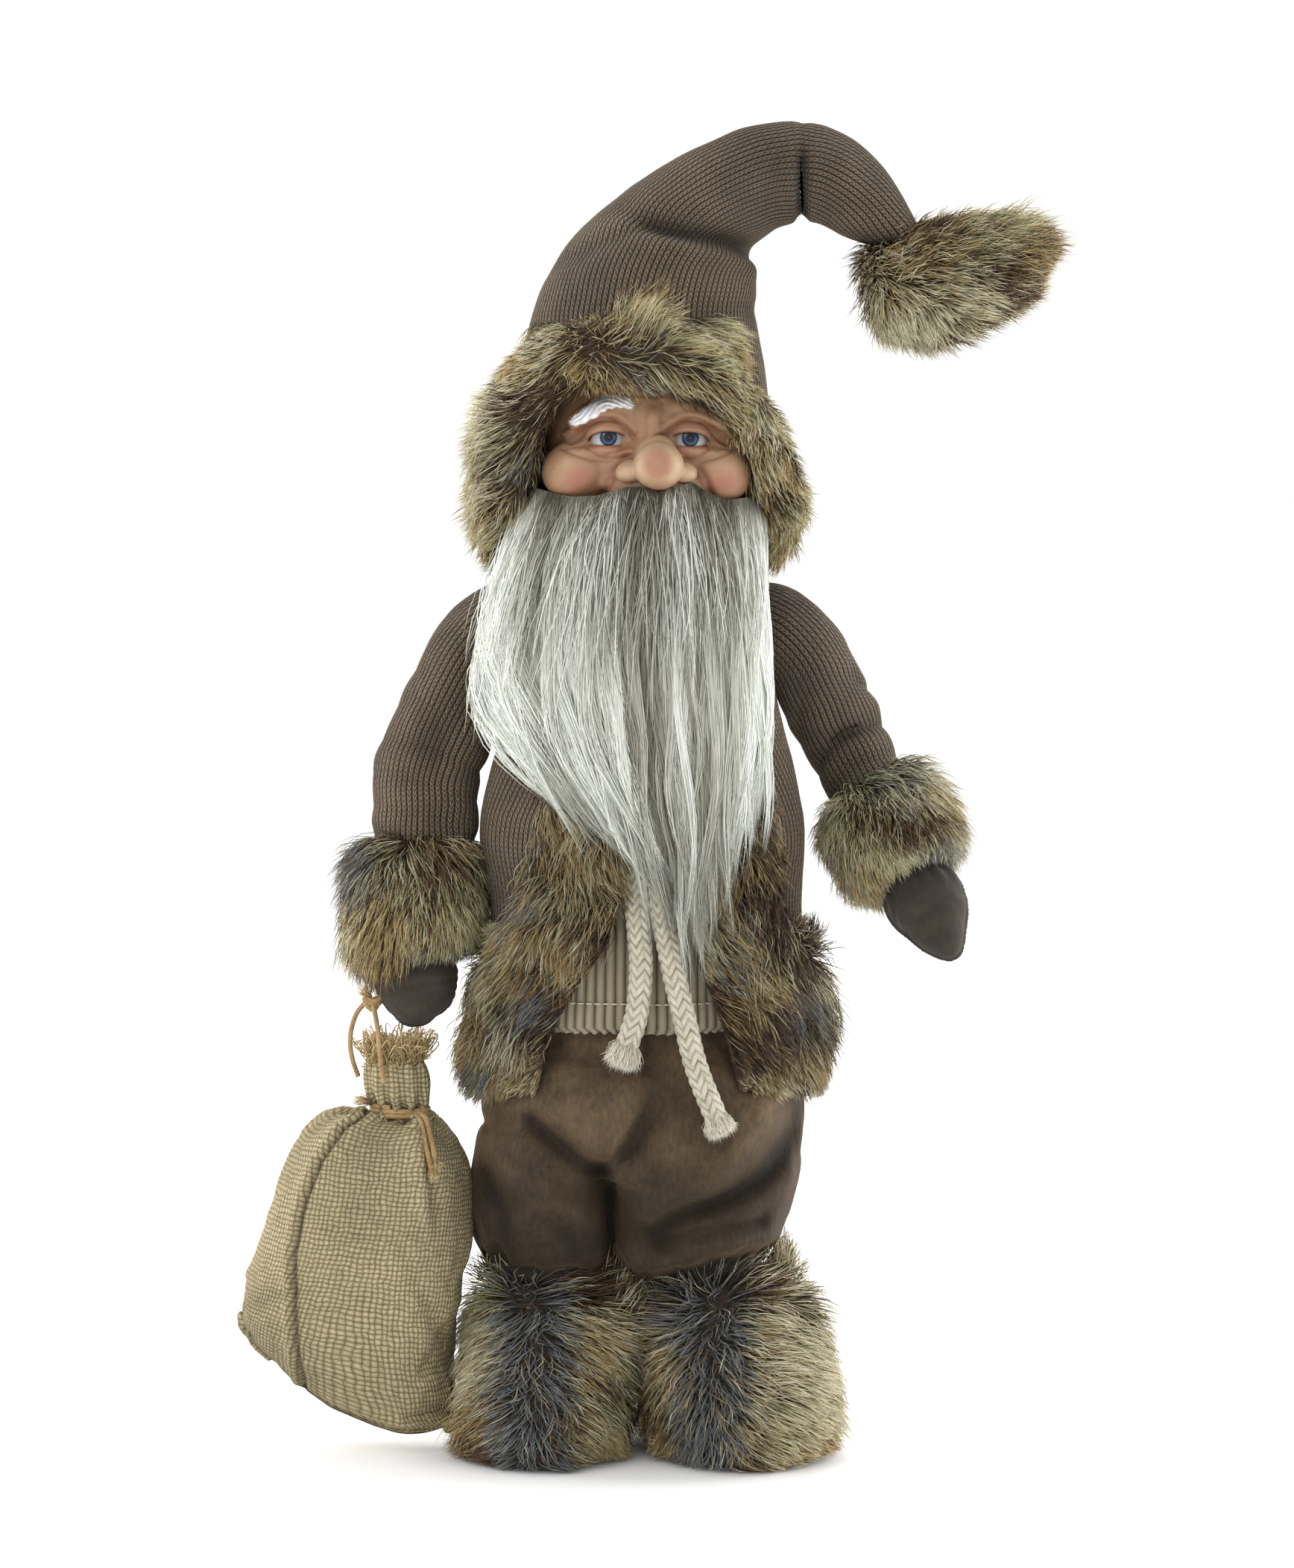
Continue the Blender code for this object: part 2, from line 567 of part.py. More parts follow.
POM = [((85, 0, 436.4), (-1.6, 0, 7), (0, 7, 0)), ((88, 0, 436.6), (-3.6, 0, 15), (0, 15, 0)),
       ((97, 0, 438.0), (-4.6, 0, 18.2), (0, 19, 0)), ((112, 0, 441.6), (-4.8, 0, 19.4), (0, 20.5, 0)),
       ((128, 0, 445.8), (-4.0, 0, 16.6), (0, 18, 0)), ((141, 0, 449.2), (-3.0, 0, 12), (0, 13, 0)),
       ((148, 0, 451.0), (-1.5, 0, 6), (0, 7, 0))]
solid_tube("hat_pom", POM, FUR, columns=16, rows=7)

# ---------------------------------------------------------------- arms
for hand in ("left", "right"):
    s, e, m = SHOULDER[hand], ELBOW[hand], HAND_TIP[hand]
    upper = math.dist(s, e)
    lower = math.dist(e, m)
    room = ball_cutter(f"armhole_{hand}", s, SHOULDER_BALL + 0.7)
    for layer in (core, shirt, jacket):
        cut(layer, room)

    sleeve = solid_tube(f"sleeve_upper_{hand}", limb(s, e, [(0, 12.0, 12.0), (12, 13.0, 13.0), (26, 14.0, 14.0), (upper - 9, 14.6, 14.6)]),
                        KNIT, columns=16, rows=3)
    cut(sleeve, ball_cutter(f"shoulder_ball_{hand}", s, SHOULDER_BALL), "UNION")
    cut(sleeve, ball_cutter(f"elbow_socket_{hand}", e, ELBOW_BALL + 0.6))
    axis = across(s, e)[0]
    start, end = Vector(s) - axis * 8, Vector(e) - axis * 17.6
    rod(f"arm_wire_upper_{hand}", start, end, WIRE_R, STEEL, sides=10, rough=0.35, metal=1.0)
    cut(sleeve, cutter(f"upper_bore_{hand}", rod_bmesh(Vector(s) - axis * 20, Vector(e), WIRE_R + 0.6, 10)))

    axis = across(e, m)[0]
    sleeve = solid_tube(f"sleeve_lower_{hand}", limb(e, m, [(0, 10.0, 10.0), (12, 11.4, 11.4), (30, 15.0, 15.0)]), KNIT,
                        columns=16, rows=2)
    cut(sleeve, ball_cutter(f"elbow_ball_{hand}", e, ELBOW_BALL), "UNION")
    cut(sleeve, cutter(f"lower_bore_{hand}", rod_bmesh(Vector(e) - axis * 20, Vector(e) + axis * 40, WIRE_R + 0.6, 10)))
    rod(f"arm_wire_lower_{hand}", Vector(e) - axis * 8, Vector(e) + axis * 68, WIRE_R, STEEL, sides=10, rough=0.35, metal=1.0)

    cuff = solid_tube(f"cuff_{hand}", limb(e, m, [(30 + GAP, 16.5, 16.5), (36, CUFF_R - 0.8, CUFF_R - 0.8), (48, CUFF_R, CUFF_R),
                                                  (60, CUFF_R, CUFF_R), (70, 17.5, 17.5)]), FUR, columns=16, rows=5)
    cut(cuff, cutter(f"cuff_bore_{hand}", rod_bmesh(Vector(e) + axis * 20, Vector(e) + axis * 80, CUFF_BORE, 16)))
    mitt = solid_tube(f"mitten_{hand}", limb(e, m, [(34, 10.6, 9.6), (50, 11.0, 9.8), (64, 11.2, 10.0), (78, 12.8, 10.4), (90, 12.8, 10.0),
                                                    (lower - 5, 9.4, 7.6), (lower, 4.0, 3.4)]), MITT, columns=14, rows=8)
    cut(mitt, cutter(f"mitten_bore_{hand}", rod_bmesh(Vector(e) + axis * 25, Vector(e) + axis * 70, WIRE_R + 0.6, 10)))

# ---------------------------------------------------------------- sack
# left point and right point of each ring in the front view, half depth
SACK_Y = -13.0
SACK = [((-107.5, 157.5), (-82.5, 156.5), 11.0), ((-103.8, 147), (-83.6, 146), 8.8), ((-102.8, 139), (-83.6, 138), 8.0),
        ((-109, 131.5), (-79.6, 128), 13.0), ((-126, 117), (-71.6, 112), 24.0), ((-138, 91), (-67.4, 86), 29.0),
        ((-146, 66), (-67.4, 58), 28.0), ((-150, 53), (-69, 30), 22.0), ((-146, 46), (-73.5, 9), 9.0)]


def sack_rings(inset=0.0, first=0, drop=0.0):
    out = []
    for (lx, lz), (rx, rz), b in SACK[first:]:
        centre = ((lx + rx) / 2, SACK_Y, (lz + rz) / 2 - drop)
        half = Vector(((rx - lx) / 2, 0, (rz - lz) / 2))
        half *= (half.length - inset) / half.length
        out.append((centre, tuple(half), (0, b - inset, 0)))
    return out


def sack_surface():
    bm = surface(18, 11, tube_rings(sack_rings()), closed=True)
    low = [e for e in bm.edges if e.is_boundary and e.verts[0].co.z < 100 * MM]
    bmesh.ops.holes_fill(bm, edges=low, sides=0)
    bmesh.ops.recalc_face_normals(bm, faces=bm.faces[:])
    middle_point = P(-108, SACK_Y, 80)
    if sum(f.calc_area() * f.normal.dot(f.calc_center_median() - middle_point) for f in bm.faces) < 0:
        bmesh.ops.reverse_faces(bm, faces=bm.faces[:])
    return bm


sack = place("sack", as_mesh(sack_surface(), "sack"), BURLAP)
thicken(sack, 1.4)
solid_tube("sack_filling", sack_rings(inset=4.0, first=4)[:-1] + [((-111, SACK_Y, 32), (31.0, 0, -15.0), (0, 9.0, 0))],
           (0.78, 0.76, 0.70), columns=14, rows=6)

def tie_point(u, v):
    turn = 2 * math.pi * u
    roll = 2 * math.pi * v
    flat_a, flat_b = 9.6 + 0.5 + 1.3, 8.0 + 0.5 + 1.3
    r = 1.3 * math.cos(roll)
    return P(-93.2 + (flat_a + r) * math.cos(turn), SACK_Y + (flat_b + r) * math.sin(turn),
             138.4 + 1.9 * math.sin(roll) - 0.05 * flat_a * math.cos(turn))


bm = surface(18, 6, tie_point, closed=True)
bmesh.ops.recalc_face_normals(bm, faces=bm.faces[:])
if bm.calc_volume(signed=True) < 0:
    bmesh.ops.reverse_faces(bm, faces=bm.faces[:])
place("sack_tie", as_mesh(bm, "sack_tie"), JUTE)

bm = bmesh.new()
bmesh.ops.create_uvsphere(bm, u_segments=10, v_segments=6, radius=2.2 * MM, matrix=Matrix.Translation(P(*KNOT)))
place("twine_knot", as_mesh(bm, "twine_knot"), JUTE)
TWINE = {"outer": [(-105.4, -13, 170.4), (-108.8, -13.2, 166), (-110.8, -13.4, 160), (-111.2, -13.4, 154), (-110.2, -13.2, 148),
                   (-108.2, -13.0, 142.2)],
         "front": [(-102.4, -15.4, 169.8), (-101.4, -19, 166), (-100.2, -24.2, 161), (-99.6, -26.0, 155), (-98.8, -25.6, 148),
                   (-98.0, -25.0, 141.4)]}
for side in ("outer", "front"):
    cord(f"sack_twine_{side}", TWINE[side], TWINE_R, JUTE, spacing=2.4)

# ---------------------------------------------------------------- moving bodies hang from empties on their axes
BODIES = {
    "axis_shoulder_left": (SHOULDER["left"], None, ["sleeve_upper_left", "arm_wire_upper_left"]),
    "axis_elbow_left": (ELBOW["left"], "axis_shoulder_left",
                        ["sleeve_lower_left", "arm_wire_lower_left", "cuff_left", "mitten_left"]),
    "axis_shoulder_right": (SHOULDER["right"], None, ["sleeve_upper_right", "arm_wire_upper_right"]),
    "axis_elbow_right": (ELBOW["right"], "axis_shoulder_right",
                         ["sleeve_lower_right", "arm_wire_lower_right", "cuff_right", "mitten_right"]),
    "axis_twine": (KNOT, "axis_elbow_left", ["twine_knot"]),
    "axis_sack": (KNOT, "axis_twine", ["sack", "sack_filling", "sack_tie", "sack_twine_outer", "sack_twine_front"]),
    "axis_hat_bend": (HAT_PIVOT, None, ["hat_middle", "hat_wire_lower"]),
    "axis_hat_tip": (TIP_PIVOT, "axis_hat_bend", ["hat_tip", "hat_wire_upper", "hat_pom"]),
}
for name, (where, above, members) in BODIES.items():
    pivot = bpy.data.objects.new(name, None)
    pivot.empty_display_size = 0.01
    model.objects.link(pivot)
    parent = bpy.data.objects[above] if above else None
    home = Matrix.Translation(P(*where))
    if parent:
        pivot.parent = parent
        bpy.context.view_layer.update()
        pivot.matrix_world = home
    else:
        pivot.matrix_world = home
    bpy.context.view_layer.update()
    for member in members:
        piece = bpy.data.objects[member]
        piece.parent = pivot
        piece.matrix_parent_inverse = home.inverted()
bpy.context.view_layer.update()
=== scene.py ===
"""Looks of the standing christmas gnome figurine: strands of fur and hair, knit, plush, corduroy, burlap,
braided cotton, jute and a painted doll face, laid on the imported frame.  Lengths are in millimetres until a
mesh is made; the figure faces -Y."""
import json
import math

import bmesh
import bpy
import numpy as np
from mathutils import Matrix, Vector

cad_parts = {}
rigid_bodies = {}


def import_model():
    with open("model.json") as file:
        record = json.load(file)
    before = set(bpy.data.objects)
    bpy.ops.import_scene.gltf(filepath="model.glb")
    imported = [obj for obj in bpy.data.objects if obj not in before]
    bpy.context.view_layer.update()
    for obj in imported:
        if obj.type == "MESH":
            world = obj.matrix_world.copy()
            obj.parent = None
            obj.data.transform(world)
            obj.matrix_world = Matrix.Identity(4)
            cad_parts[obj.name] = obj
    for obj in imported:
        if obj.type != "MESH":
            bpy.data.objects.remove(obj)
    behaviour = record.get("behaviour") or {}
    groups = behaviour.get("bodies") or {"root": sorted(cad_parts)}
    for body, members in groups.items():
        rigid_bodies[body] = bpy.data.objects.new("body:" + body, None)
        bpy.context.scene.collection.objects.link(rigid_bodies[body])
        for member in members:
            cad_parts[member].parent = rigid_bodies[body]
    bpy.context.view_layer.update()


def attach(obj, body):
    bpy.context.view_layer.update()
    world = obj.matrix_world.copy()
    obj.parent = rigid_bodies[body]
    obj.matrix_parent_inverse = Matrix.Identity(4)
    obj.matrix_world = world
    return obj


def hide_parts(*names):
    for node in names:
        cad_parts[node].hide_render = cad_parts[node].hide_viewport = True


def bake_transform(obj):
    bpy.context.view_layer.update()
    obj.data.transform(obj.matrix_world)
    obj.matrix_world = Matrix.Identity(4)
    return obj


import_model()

Y0 = 6.4                      # the frame's place of the figure's middle, in mm


# ------------------------------------------------------------------ numbers
def W(p):
    """Figure millimetres to frame metres."""
    return (np.asarray(p, float) + [0.0, Y0, 0.0]) * 0.001


def unit(v):
    return v / np.maximum(np.linalg.norm(v, axis=-1, keepdims=True), 1e-9)


def spline(rows, t):
    """Rows of numbers, smoothly interpolated at t (0 to 1, any shape)."""
    rows = np.asarray(rows, float)
    t = np.asarray(t, float)
    n = len(rows) - 1
    s = np.clip(t, 0, 1) * n
    i = np.minimum(s.astype(int), n - 1)
    f = (s - i)[..., None]
    p0, p1, p2, p3 = rows[np.maximum(i - 1, 0)], rows[i], rows[i + 1], rows[np.minimum(i + 2, n)]
    m1 = np.where((i == 0)[..., None], p2 - p1, (p2 - p0) / 2)
    m2 = np.where((i == n - 1)[..., None], p2 - p1, (p3 - p1) / 2)
    return p1 + f * (m1 + f * (3 * (p2 - p1) - 2 * m1 - m2 + f * (2 * (p1 - p2) + m1 + m2)))


def table(rows, z):
    """Values at z from rows of (z, values...)."""
    rows = np.asarray(rows, float)
    return np.stack([np.interp(z, rows[:, 0], rows[:, k]) for k in range(1, rows.shape[1])], -1)


def smooth(a, b, x):
    f = np.clip((x - a) / (b - a), 0, 1)
    return f * f * (3 - 2 * f)


def noise(p, scale, seed=0):
    """Smooth value noise, 0 to 1, with features about `scale` mm wide."""
    q = np.asarray(p, float) / scale + 1000.0 + seed * 17.31
    i = np.floor(q).astype(np.int64)
    f = q - i
    f = f * f * (3 - 2 * f)
    out = np.zeros(len(q))
    for dx in (0, 1):
        for dy in (0, 1):
            for dz in (0, 1):
                h = (i[:, 0] + dx) * 73856093 ^ (i[:, 1] + dy) * 19349663 ^ (i[:, 2] + dz) * 83492791 ^ (seed * 2654435)
                h = (h ^ (h >> 13)) * 1274126177 & 0x7FFFFFFF
                w = (f[:, 0] if dx else 1 - f[:, 0]) * (f[:, 1] if dy else 1 - f[:, 1]) * (f[:, 2] if dz else 1 - f[:, 2])
                out += w * ((h % 65521) / 65521.0)
    return out


def fbm(p, scale, seed=0, octaves=3):
    out, amp, total = 0.0, 1.0, 0.0
    for k in range(octaves):
        out = out + amp * noise(p, scale / 2 ** k, seed + 7 * k)
        total += amp
        amp *= 0.5
    return out / total


# ------------------------------------------------------------------ meshes
def raw_mesh(name, v, faces, uv=None, sharp=None):
    """A mesh from mm points, a list of face index arrays (quads and triangles) and per-corner uv arrays."""
    mesh = bpy.data.meshes.new(name)
    v = W(v)
    mesh.vertices.add(len(v))
    mesh.vertices.foreach_set("co", v.astype(np.float32).ravel())
    loops = np.concatenate([f.ravel() for f in faces]).astype(np.int32)
    sizes = np.concatenate([np.full(len(f), f.shape[1]) for f in faces]).astype(np.int32)
    mesh.loops.add(len(loops))
    mesh.loops.foreach_set("vertex_index", loops)
    mesh.polygons.add(len(sizes))
    mesh.polygons.foreach_set("loop_start", np.concatenate([[0], np.cumsum(sizes)[:-1]]).astype(np.int32))
    if uv is not None:
        uv = np.concatenate([u.reshape(-1, 2) for u in uv]).astype(np.float32)
        for layer in (["UVMap", "OFBake"] if sharp == "strands" else ["UVMap"]):
            mesh.uv_layers.new(name=layer).data.foreach_set("uv", uv.ravel())
    mesh.update(calc_edges=True)
    mesh.shade_smooth()
    return mesh


def piece(name, mesh, material, body, replaces=()):
    obj = bpy.data.objects.new(name, mesh)
    bpy.context.scene.collection.objects.link(obj)
    if material is not None:
        mesh.materials.append(material)
    if body:
        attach(obj, body)
    if replaces:
        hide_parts(*replaces)
    return obj


class Sheet:
    """A grid of points over u (round, or across) and v (along)."""

    def __init__(self, fn, nu, nv, closed=True, su=1.0, sv=1.0, keep=None):
        self.closed, self.nu, self.nv = closed, nu, nv
        cols = nu if closed else nu + 1
        u = np.arange(cols) / nu
        v = np.arange(nv + 1) / nv
        U, V = np.meshgrid(u, v)
        self.U, self.V = U.ravel(), V.ravel()
        self.co = fn(self.U, self.V)
        i, j = np.meshgrid(np.arange(nu), np.arange(nv))
        i, j = i.ravel(), j.ravel()
        a, b = j * cols + i, j * cols + (i + 1) % cols if closed else j * cols + i + 1
        self.quads = np.stack([a, b, b + cols, a + cols], 1)
        u0, u1, v0, v1 = i / nu, (i + 1) / nu, j / nv, (j + 1) / nv
        self.uv = np.stack([np.stack([u0, v0], 1), np.stack([u1, v0], 1), np.stack([u1, v1], 1), np.stack([u0, v1], 1)], 1)
        self.uv = self.uv * [su, sv]
        self.tris = np.zeros((0, 3), int)
        self.tri_uv = np.zeros((0, 3, 2))
        if keep is not None:
            good = keep(self.co)[self.quads].all(1)
            self.quads, self.uv = self.quads[good], self.uv[good]

    def cap(self, end, inset=0.0):
        """Closes an end with a fan round its middle."""
        cols = self.nu if self.closed else self.nu + 1
        row = np.arange(cols) + (0 if end == 0 else self.nv * cols)
        middle = self.co[row].mean(0) + inset
        self.co = np.vstack([self.co, middle])
        c = len(self.co) - 1
        nxt = np.roll(row, -1)
        tri = np.stack([nxt, row, np.full(cols, c)], 1) if end == 0 else np.stack([row, nxt, np.full(cols, c)], 1)
        uv = np.zeros((cols, 3, 2)) + (self.uv.reshape(-1, 2).min(0) if end == 0 else self.uv.reshape(-1, 2).max(0))
        self.tris = np.vstack([self.tris, tri])
        self.tri_uv = np.concatenate([self.tri_uv, uv])
        return self

    def normals(self):
        q = self.co[self.quads]
        n = np.cross(q[:, 2] - q[:, 0], q[:, 3] - q[:, 1])
        out = np.zeros_like(self.co)
        for k in range(4):
            np.add.at(out, self.quads[:, k], n)
        return unit(out)

    def flip(self):
        self.quads, self.uv = self.quads[:, ::-1], self.uv[:, ::-1]
        self.tris, self.tri_uv = self.tris[:, ::-1], self.tri_uv[:, ::-1]
        return self

    def outward(self, centre):
        """Turns faces away from centre(points)."""
        q = self.co[self.quads]
        n = np.cross(q[:, 2] - q[:, 0], q[:, 3] - q[:, 1])
        m = q.mean(1)
        if (n * (m - centre(m))).sum() < 0:
            self.flip()
        return self

    def displace(self, amount):
        self.co[: len(amount)] += self.normals()[: len(amount)] * np.asarray(amount)[:, None]
        return self

    def mesh(self, name):
        faces, uv = [self.quads], [self.uv]
        if len(self.tris):
            faces.append(self.tris)
            uv.append(self.tri_uv)
        return raw_mesh(name, self.co, faces, uv)

    def scatter(self, count, rng, weight=None):
        """Random points on the grid: place, outward normal, u and v."""
        q = self.co[self.quads]
        area = np.linalg.norm(np.cross(q[:, 2] - q[:, 0], q[:, 3] - q[:, 1]), axis=1) / 2
        if weight is not None:
            area = area * weight(q.mean(1))
        pick = rng.choice(len(q), count, p=area / area.sum())
        a, b = rng.random((count, 1)), rng.random((count, 1))
        w = [(1 - a) * (1 - b), a * (1 - b), a * b, (1 - a) * b]
        nn = self.normals()[self.quads[pick]]
        place = sum(w[k] * q[pick, k] for k in range(4))
        normal = unit(sum(w[k] * nn[:, k] for k in range(4)))
        uv = self.uv[pick]
        return place, normal, sum(w[k] * uv[:, k] for k in range(4))


def shade_by(mesh, value):
    """Stores the painted shade and light at each point, as a factor on the colour (1 = as dyed)."""
    full = np.ones(len(mesh.vertices))
    full[: len(value)] = value
    layer = mesh.color_attributes.new(name="shade", type="FLOAT_COLOR", domain="POINT")
    rgba = np.stack([full, full, full, np.ones(len(full))], 1)
    layer.data.foreach_set("color", rgba.astype(np.float32).ravel())
    return mesh


def around(line, rx, ry, side=(0.0, 1.0, 0.0)):
    """fn(u, v) on a tube along a smooth line; rx lies across side, ry along it.  Radii are rows along v."""
    line = np.asarray(line, float)

    def fn(U, V):
        c = spline(line, V)
        d = unit(spline(line, np.minimum(V + 0.004, 1)) - spline(line, np.maximum(V - 0.004, 0)))
        s = np.broadcast_to(np.asarray(side, float), d.shape)
        s = unit(s - d * (s * d).sum(-1, keepdims=True))
        x = np.cross(s, d)
        a = spline(np.asarray(rx, float)[:, None], V)
        b = spline(np.asarray(ry, float)[:, None], V)
        t = 2 * np.pi * U[:, None]
        return c + x * a * np.cos(t) + s * b * np.sin(t)

    return fn


# ------------------------------------------------------------------ strands
def strands(name, root, normal, flow, length, width, material, body, tone, lift=0.45, droop=0.0, wild=0.22, clumps=0, clump_pull=0.6,
            joints=3, seed=1, floor=None, ceiling=None, replaces=(), curl=0.0, end_point=None, limit=None):
    """Tapered three-sided strands.  flow is the lie of the pile; tone is each strand's place in the palette."""
    rng = np.random.default_rng(seed)
    n = len(root)
    flow = unit(flow - normal * (flow * normal).sum(1, keepdims=True) * 0.9)
    lift = np.broadcast_to(np.asarray(lift, float), (n,))[:, None]
    first = unit(normal * lift + flow * (1 - lift) + rng.normal(0, wild, (n, 3)))
    last = unit(flow + rng.normal(0, wild, (n, 3)) + normal * lift * 0.25 + np.array([0, 0, -1.0]) * droop)
    length = np.broadcast_to(np.asarray(length, float), (n,)) * rng.uniform(0.72, 1.15, n)
    t = np.linspace(0, 1, joints + 1)
    path = root[:, None] + length[:, None, None] * (first[:, None] * (t - t * t / 2)[None, :, None] + last[:, None] * (t * t / 2)[None, :, None])
    if curl:
        sway = rng.normal(0, 1, (n, 3)) * curl
        path = path + sway[:, None] * (np.sin(np.pi * t * 1.3) * t)[None, :, None]
    if clumps:
        centre = rng.choice(n, min(clumps, n), replace=False)
        near = np.empty(n, int)
        for k in range(0, n, 4000):
            d = ((root[k:k + 4000, None] - root[centre][None]) ** 2).sum(2)
            near[k:k + 4000] = d.argmin(1)
        lead = path[centre[near]]
        gap = (path - lead) * 0.22
        pull = clump_pull * (t ** 1.4)[None, :, None] * rng.uniform(0.55, 1.0, n)[:, None, None]
        path = path * (1 - pull) + (lead + gap) * pull
    if end_point is not None:
        path = end_point(path, t)
    if floor is not None:
        low = path[..., 2]
        path[..., 2] = np.where(low < floor + 3, floor + 3 * np.exp((low - floor - 3) / 3), low)
    if ceiling is not None:
        path[..., 2] = np.minimum(path[..., 2], ceiling)
    if limit is not None:
        path = limit(path)
    # nothing stands out further in front than the boots' toes allow
    front = np.minimum(path[..., 1] + 76.0, 0.0)
    path[..., 1] = np.where(front < 0, -76.0 - 4.4 * (1 - np.exp(front / 4.4)), path[..., 1])
    width = np.broadcast_to(np.asarray(width, float), (n,)) * rng.uniform(0.75, 1.2, n)
    # three-sided section that thins to a point
    step = np.gradient(path, axis=1)
    step = unit(step)
    ref = unit(rng.normal(0, 1, (n, 3)))[:, None]
    s1 = unit(np.cross(step, ref))
    s2 = np.cross(step, s1)
    thin = width[:, None] * 0.5 * np.interp(t, [0, 0.35, 0.75, 1], [0.85, 1.0, 0.7, 0.0])[None]
    rings = []
    for k in range(3):
        a = 2 * np.pi * k / 3
        rings.append(path[:, :-1] + (s1[:, :-1] * math.cos(a) + s2[:, :-1] * math.sin(a)) * thin[:, :-1, None])
    ring = np.stack(rings, 2)                                   # n, joints, 3, xyz
    verts = np.concatenate([ring.reshape(n, joints * 3, 3), path[:, -1:]], 1)
    per = joints * 3 + 1
    quads, tris = [], []
    for j in range(joints - 1):
        for k in range(3):
            a, b = j * 3 + k, j * 3 + (k + 1) % 3
            quads.append([a, b, b + 3, a + 3])
    for k in range(3):
        tris.append([(joints - 1) * 3 + k, (joints - 1) * 3 + (k + 1) % 3, per - 1])
    tris.append([2, 1, 0])
    quads, tris = np.array(quads).reshape(-1, 4), np.array(tris)
    base = (np.arange(n) * per)[:, None, None]
    level = np.concatenate([np.repeat(t[:-1], 3), [1.0]])
    tone = np.clip(tone, 0.004, 0.996)
    uq = np.stack([np.broadcast_to(tone[:, None, None], (n, len(quads), 4)), np.broadcast_to(level[quads][None], (n, len(quads), 4))], -1)
    ut = np.stack([np.broadcast_to(tone[:, None, None], (n, len(tris), 3)), np.broadcast_to(level[tris][None], (n, len(tris), 3))], -1)
    faces, uv = [], []
    if len(quads):
        faces.append((quads[None] + base).reshape(-1, 4))
        uv.append(uq)
    faces.append((tris[None] + base).reshape(-1, 3))
    uv.append(ut)
    mesh = raw_mesh(name, verts.reshape(-1, 3), faces, uv, "strands")
    return piece(name, mesh, material, body, replaces)


# ------------------------------------------------------------------ materials
def lin(r, g, b):
    out = []
    for c in (r, g, b):
        c /= 255.0
        out.append(c / 12.92 if c <= 0.04045 else ((c + 0.055) / 1.055) ** 2.4)
    return (*out, 1.0)


class Mat:
    def __init__(self, name, rough=0.8, **sockets):
        self.m = bpy.data.materials.new(name)
        self.m.use_nodes = True
        self.t = self.m.node_tree
        self.b = self.t.nodes["Principled BSDF"]
        self.b.inputs["Roughness"].default_value = rough
        for k, v in sockets.items():
            self.b.inputs[k.replace("_", " ")].default_value = v

    def node(self, kind, **props):
        n = self.t.nodes.new(kind)
        for k, v in props.items():
            setattr(n, k, v)
        return n

    def link(self, a, b):
        if hasattr(a, "is_output") or hasattr(a, "links"):
            self.t.links.new(a, b)
        else:
            b.default_value = a

    def math(self, op, a, b=0.0, c=0.0, clamp=False):
        n = self.node("ShaderNodeMath", operation=op, use_clamp=clamp)
        for s, v in zip(n.inputs, (a, b, c)):
            self.link(v, s)
        return n.outputs[0]

    def mix(self, fac, a, b, blend="MIX"):
        n = self.node("ShaderNodeMix", data_type="RGBA", blend_type=blend)
        self.link(fac, n.inputs[0])
        self.link(a, n.inputs[6])
        self.link(b, n.inputs[7])
        return n.outputs[2]

    def ramp(self, fac, stops, interpolation="LINEAR"):
        n = self.node("ShaderNodeValToRGB")
        r = n.color_ramp
        r.interpolation = interpolation
        while len(r.elements) > 1:
            r.elements.remove(r.elements[-1])
        r.elements[0].position, r.elements[0].color = stops[0]
        for p, c in stops[1:]:
            r.elements.new(p).color = c
        self.link(fac, n.inputs[0])
        return n.outputs[0]

    def uv(self, name="UVMap"):
        n = self.node("ShaderNodeUVMap", uv_map=name)
        s = self.node("ShaderNodeSeparateXYZ")
        self.link(n.outputs[0], s.inputs[0])
        self.uvv = n.outputs[0]
        return s.outputs[0], s.outputs[1]

    def shaded(self, colour):
        """Colour times the painted shade stored on the mesh: darker in the folds, lighter on the ridges."""
        n = self.node("ShaderNodeVertexColor", layer_name="shade")
        return self.mix(1.0, colour, n.outputs[0], "MULTIPLY")

    def position(self):
        return self.node("ShaderNodeTexCoord").outputs["Object"]

    def noise(self, vec, scale, detail=3.0, rough=0.55):
        n = self.node("ShaderNodeTexNoise")
        self.link(vec, n.inputs["Vector"])
        n.inputs["Scale"].default_value = scale
        n.inputs["Detail"].default_value = detail
        n.inputs["Roughness"].default_value = rough
        return n.outputs[0]

    def bump(self, height, distance, strength=1.0, after=None):
        n = self.node("ShaderNodeBump")
        n.inputs["Strength"].default_value = strength
        n.inputs["Distance"].default_value = distance
        self.link(height, n.inputs["Height"])
        if after is not None:
            self.link(after, n.inputs["Normal"])
        self.link(n.outputs[0], self.b.inputs["Normal"])
        return n.outputs[0]

    def colour(self, c):
        self.link(c, self.b.inputs["Base Color"])
        return self

    def roughness(self, r):
        self.link(r, self.b.inputs["Roughness"])
        return self


def strand_material(name, roots, tips, rough=0.55, mid=0.45, end=0.95, spec=0.35, deep=0.42):
    """Colour by the strand's tone (u) and the place from root to tip (v)."""
    m = Mat(name, rough, Specular_IOR_Level=spec)
    u, v = m.uv()
    low, high = m.ramp(u, roots), m.ramp(u, tips)
    f = m.node("ShaderNodeMapRange", interpolation_type="SMOOTHSTEP")
    m.link(v, f.inputs[0])
    f.inputs[1].default_value, f.inputs[2].default_value = mid - 0.4, end
    base = m.mix(f.outputs[0], low, high)
    # painted shade: each strand is darkened towards its root, where the pile crowds
    shade = m.ramp(v, [(0.0, (deep, deep, deep, 1)), (0.35, (deep * .35 + .65,) * 3 + (1,)), (1.0, (1, 1, 1, 1))])
    m.colour(m.mix(1.0, base, shade, "MULTIPLY"))
    m.roughness(m.ramp(v, [(0.0, (rough + .2,) * 3 + (1,)), (1.0, (rough,) * 3 + (1,))]))
    return m.m


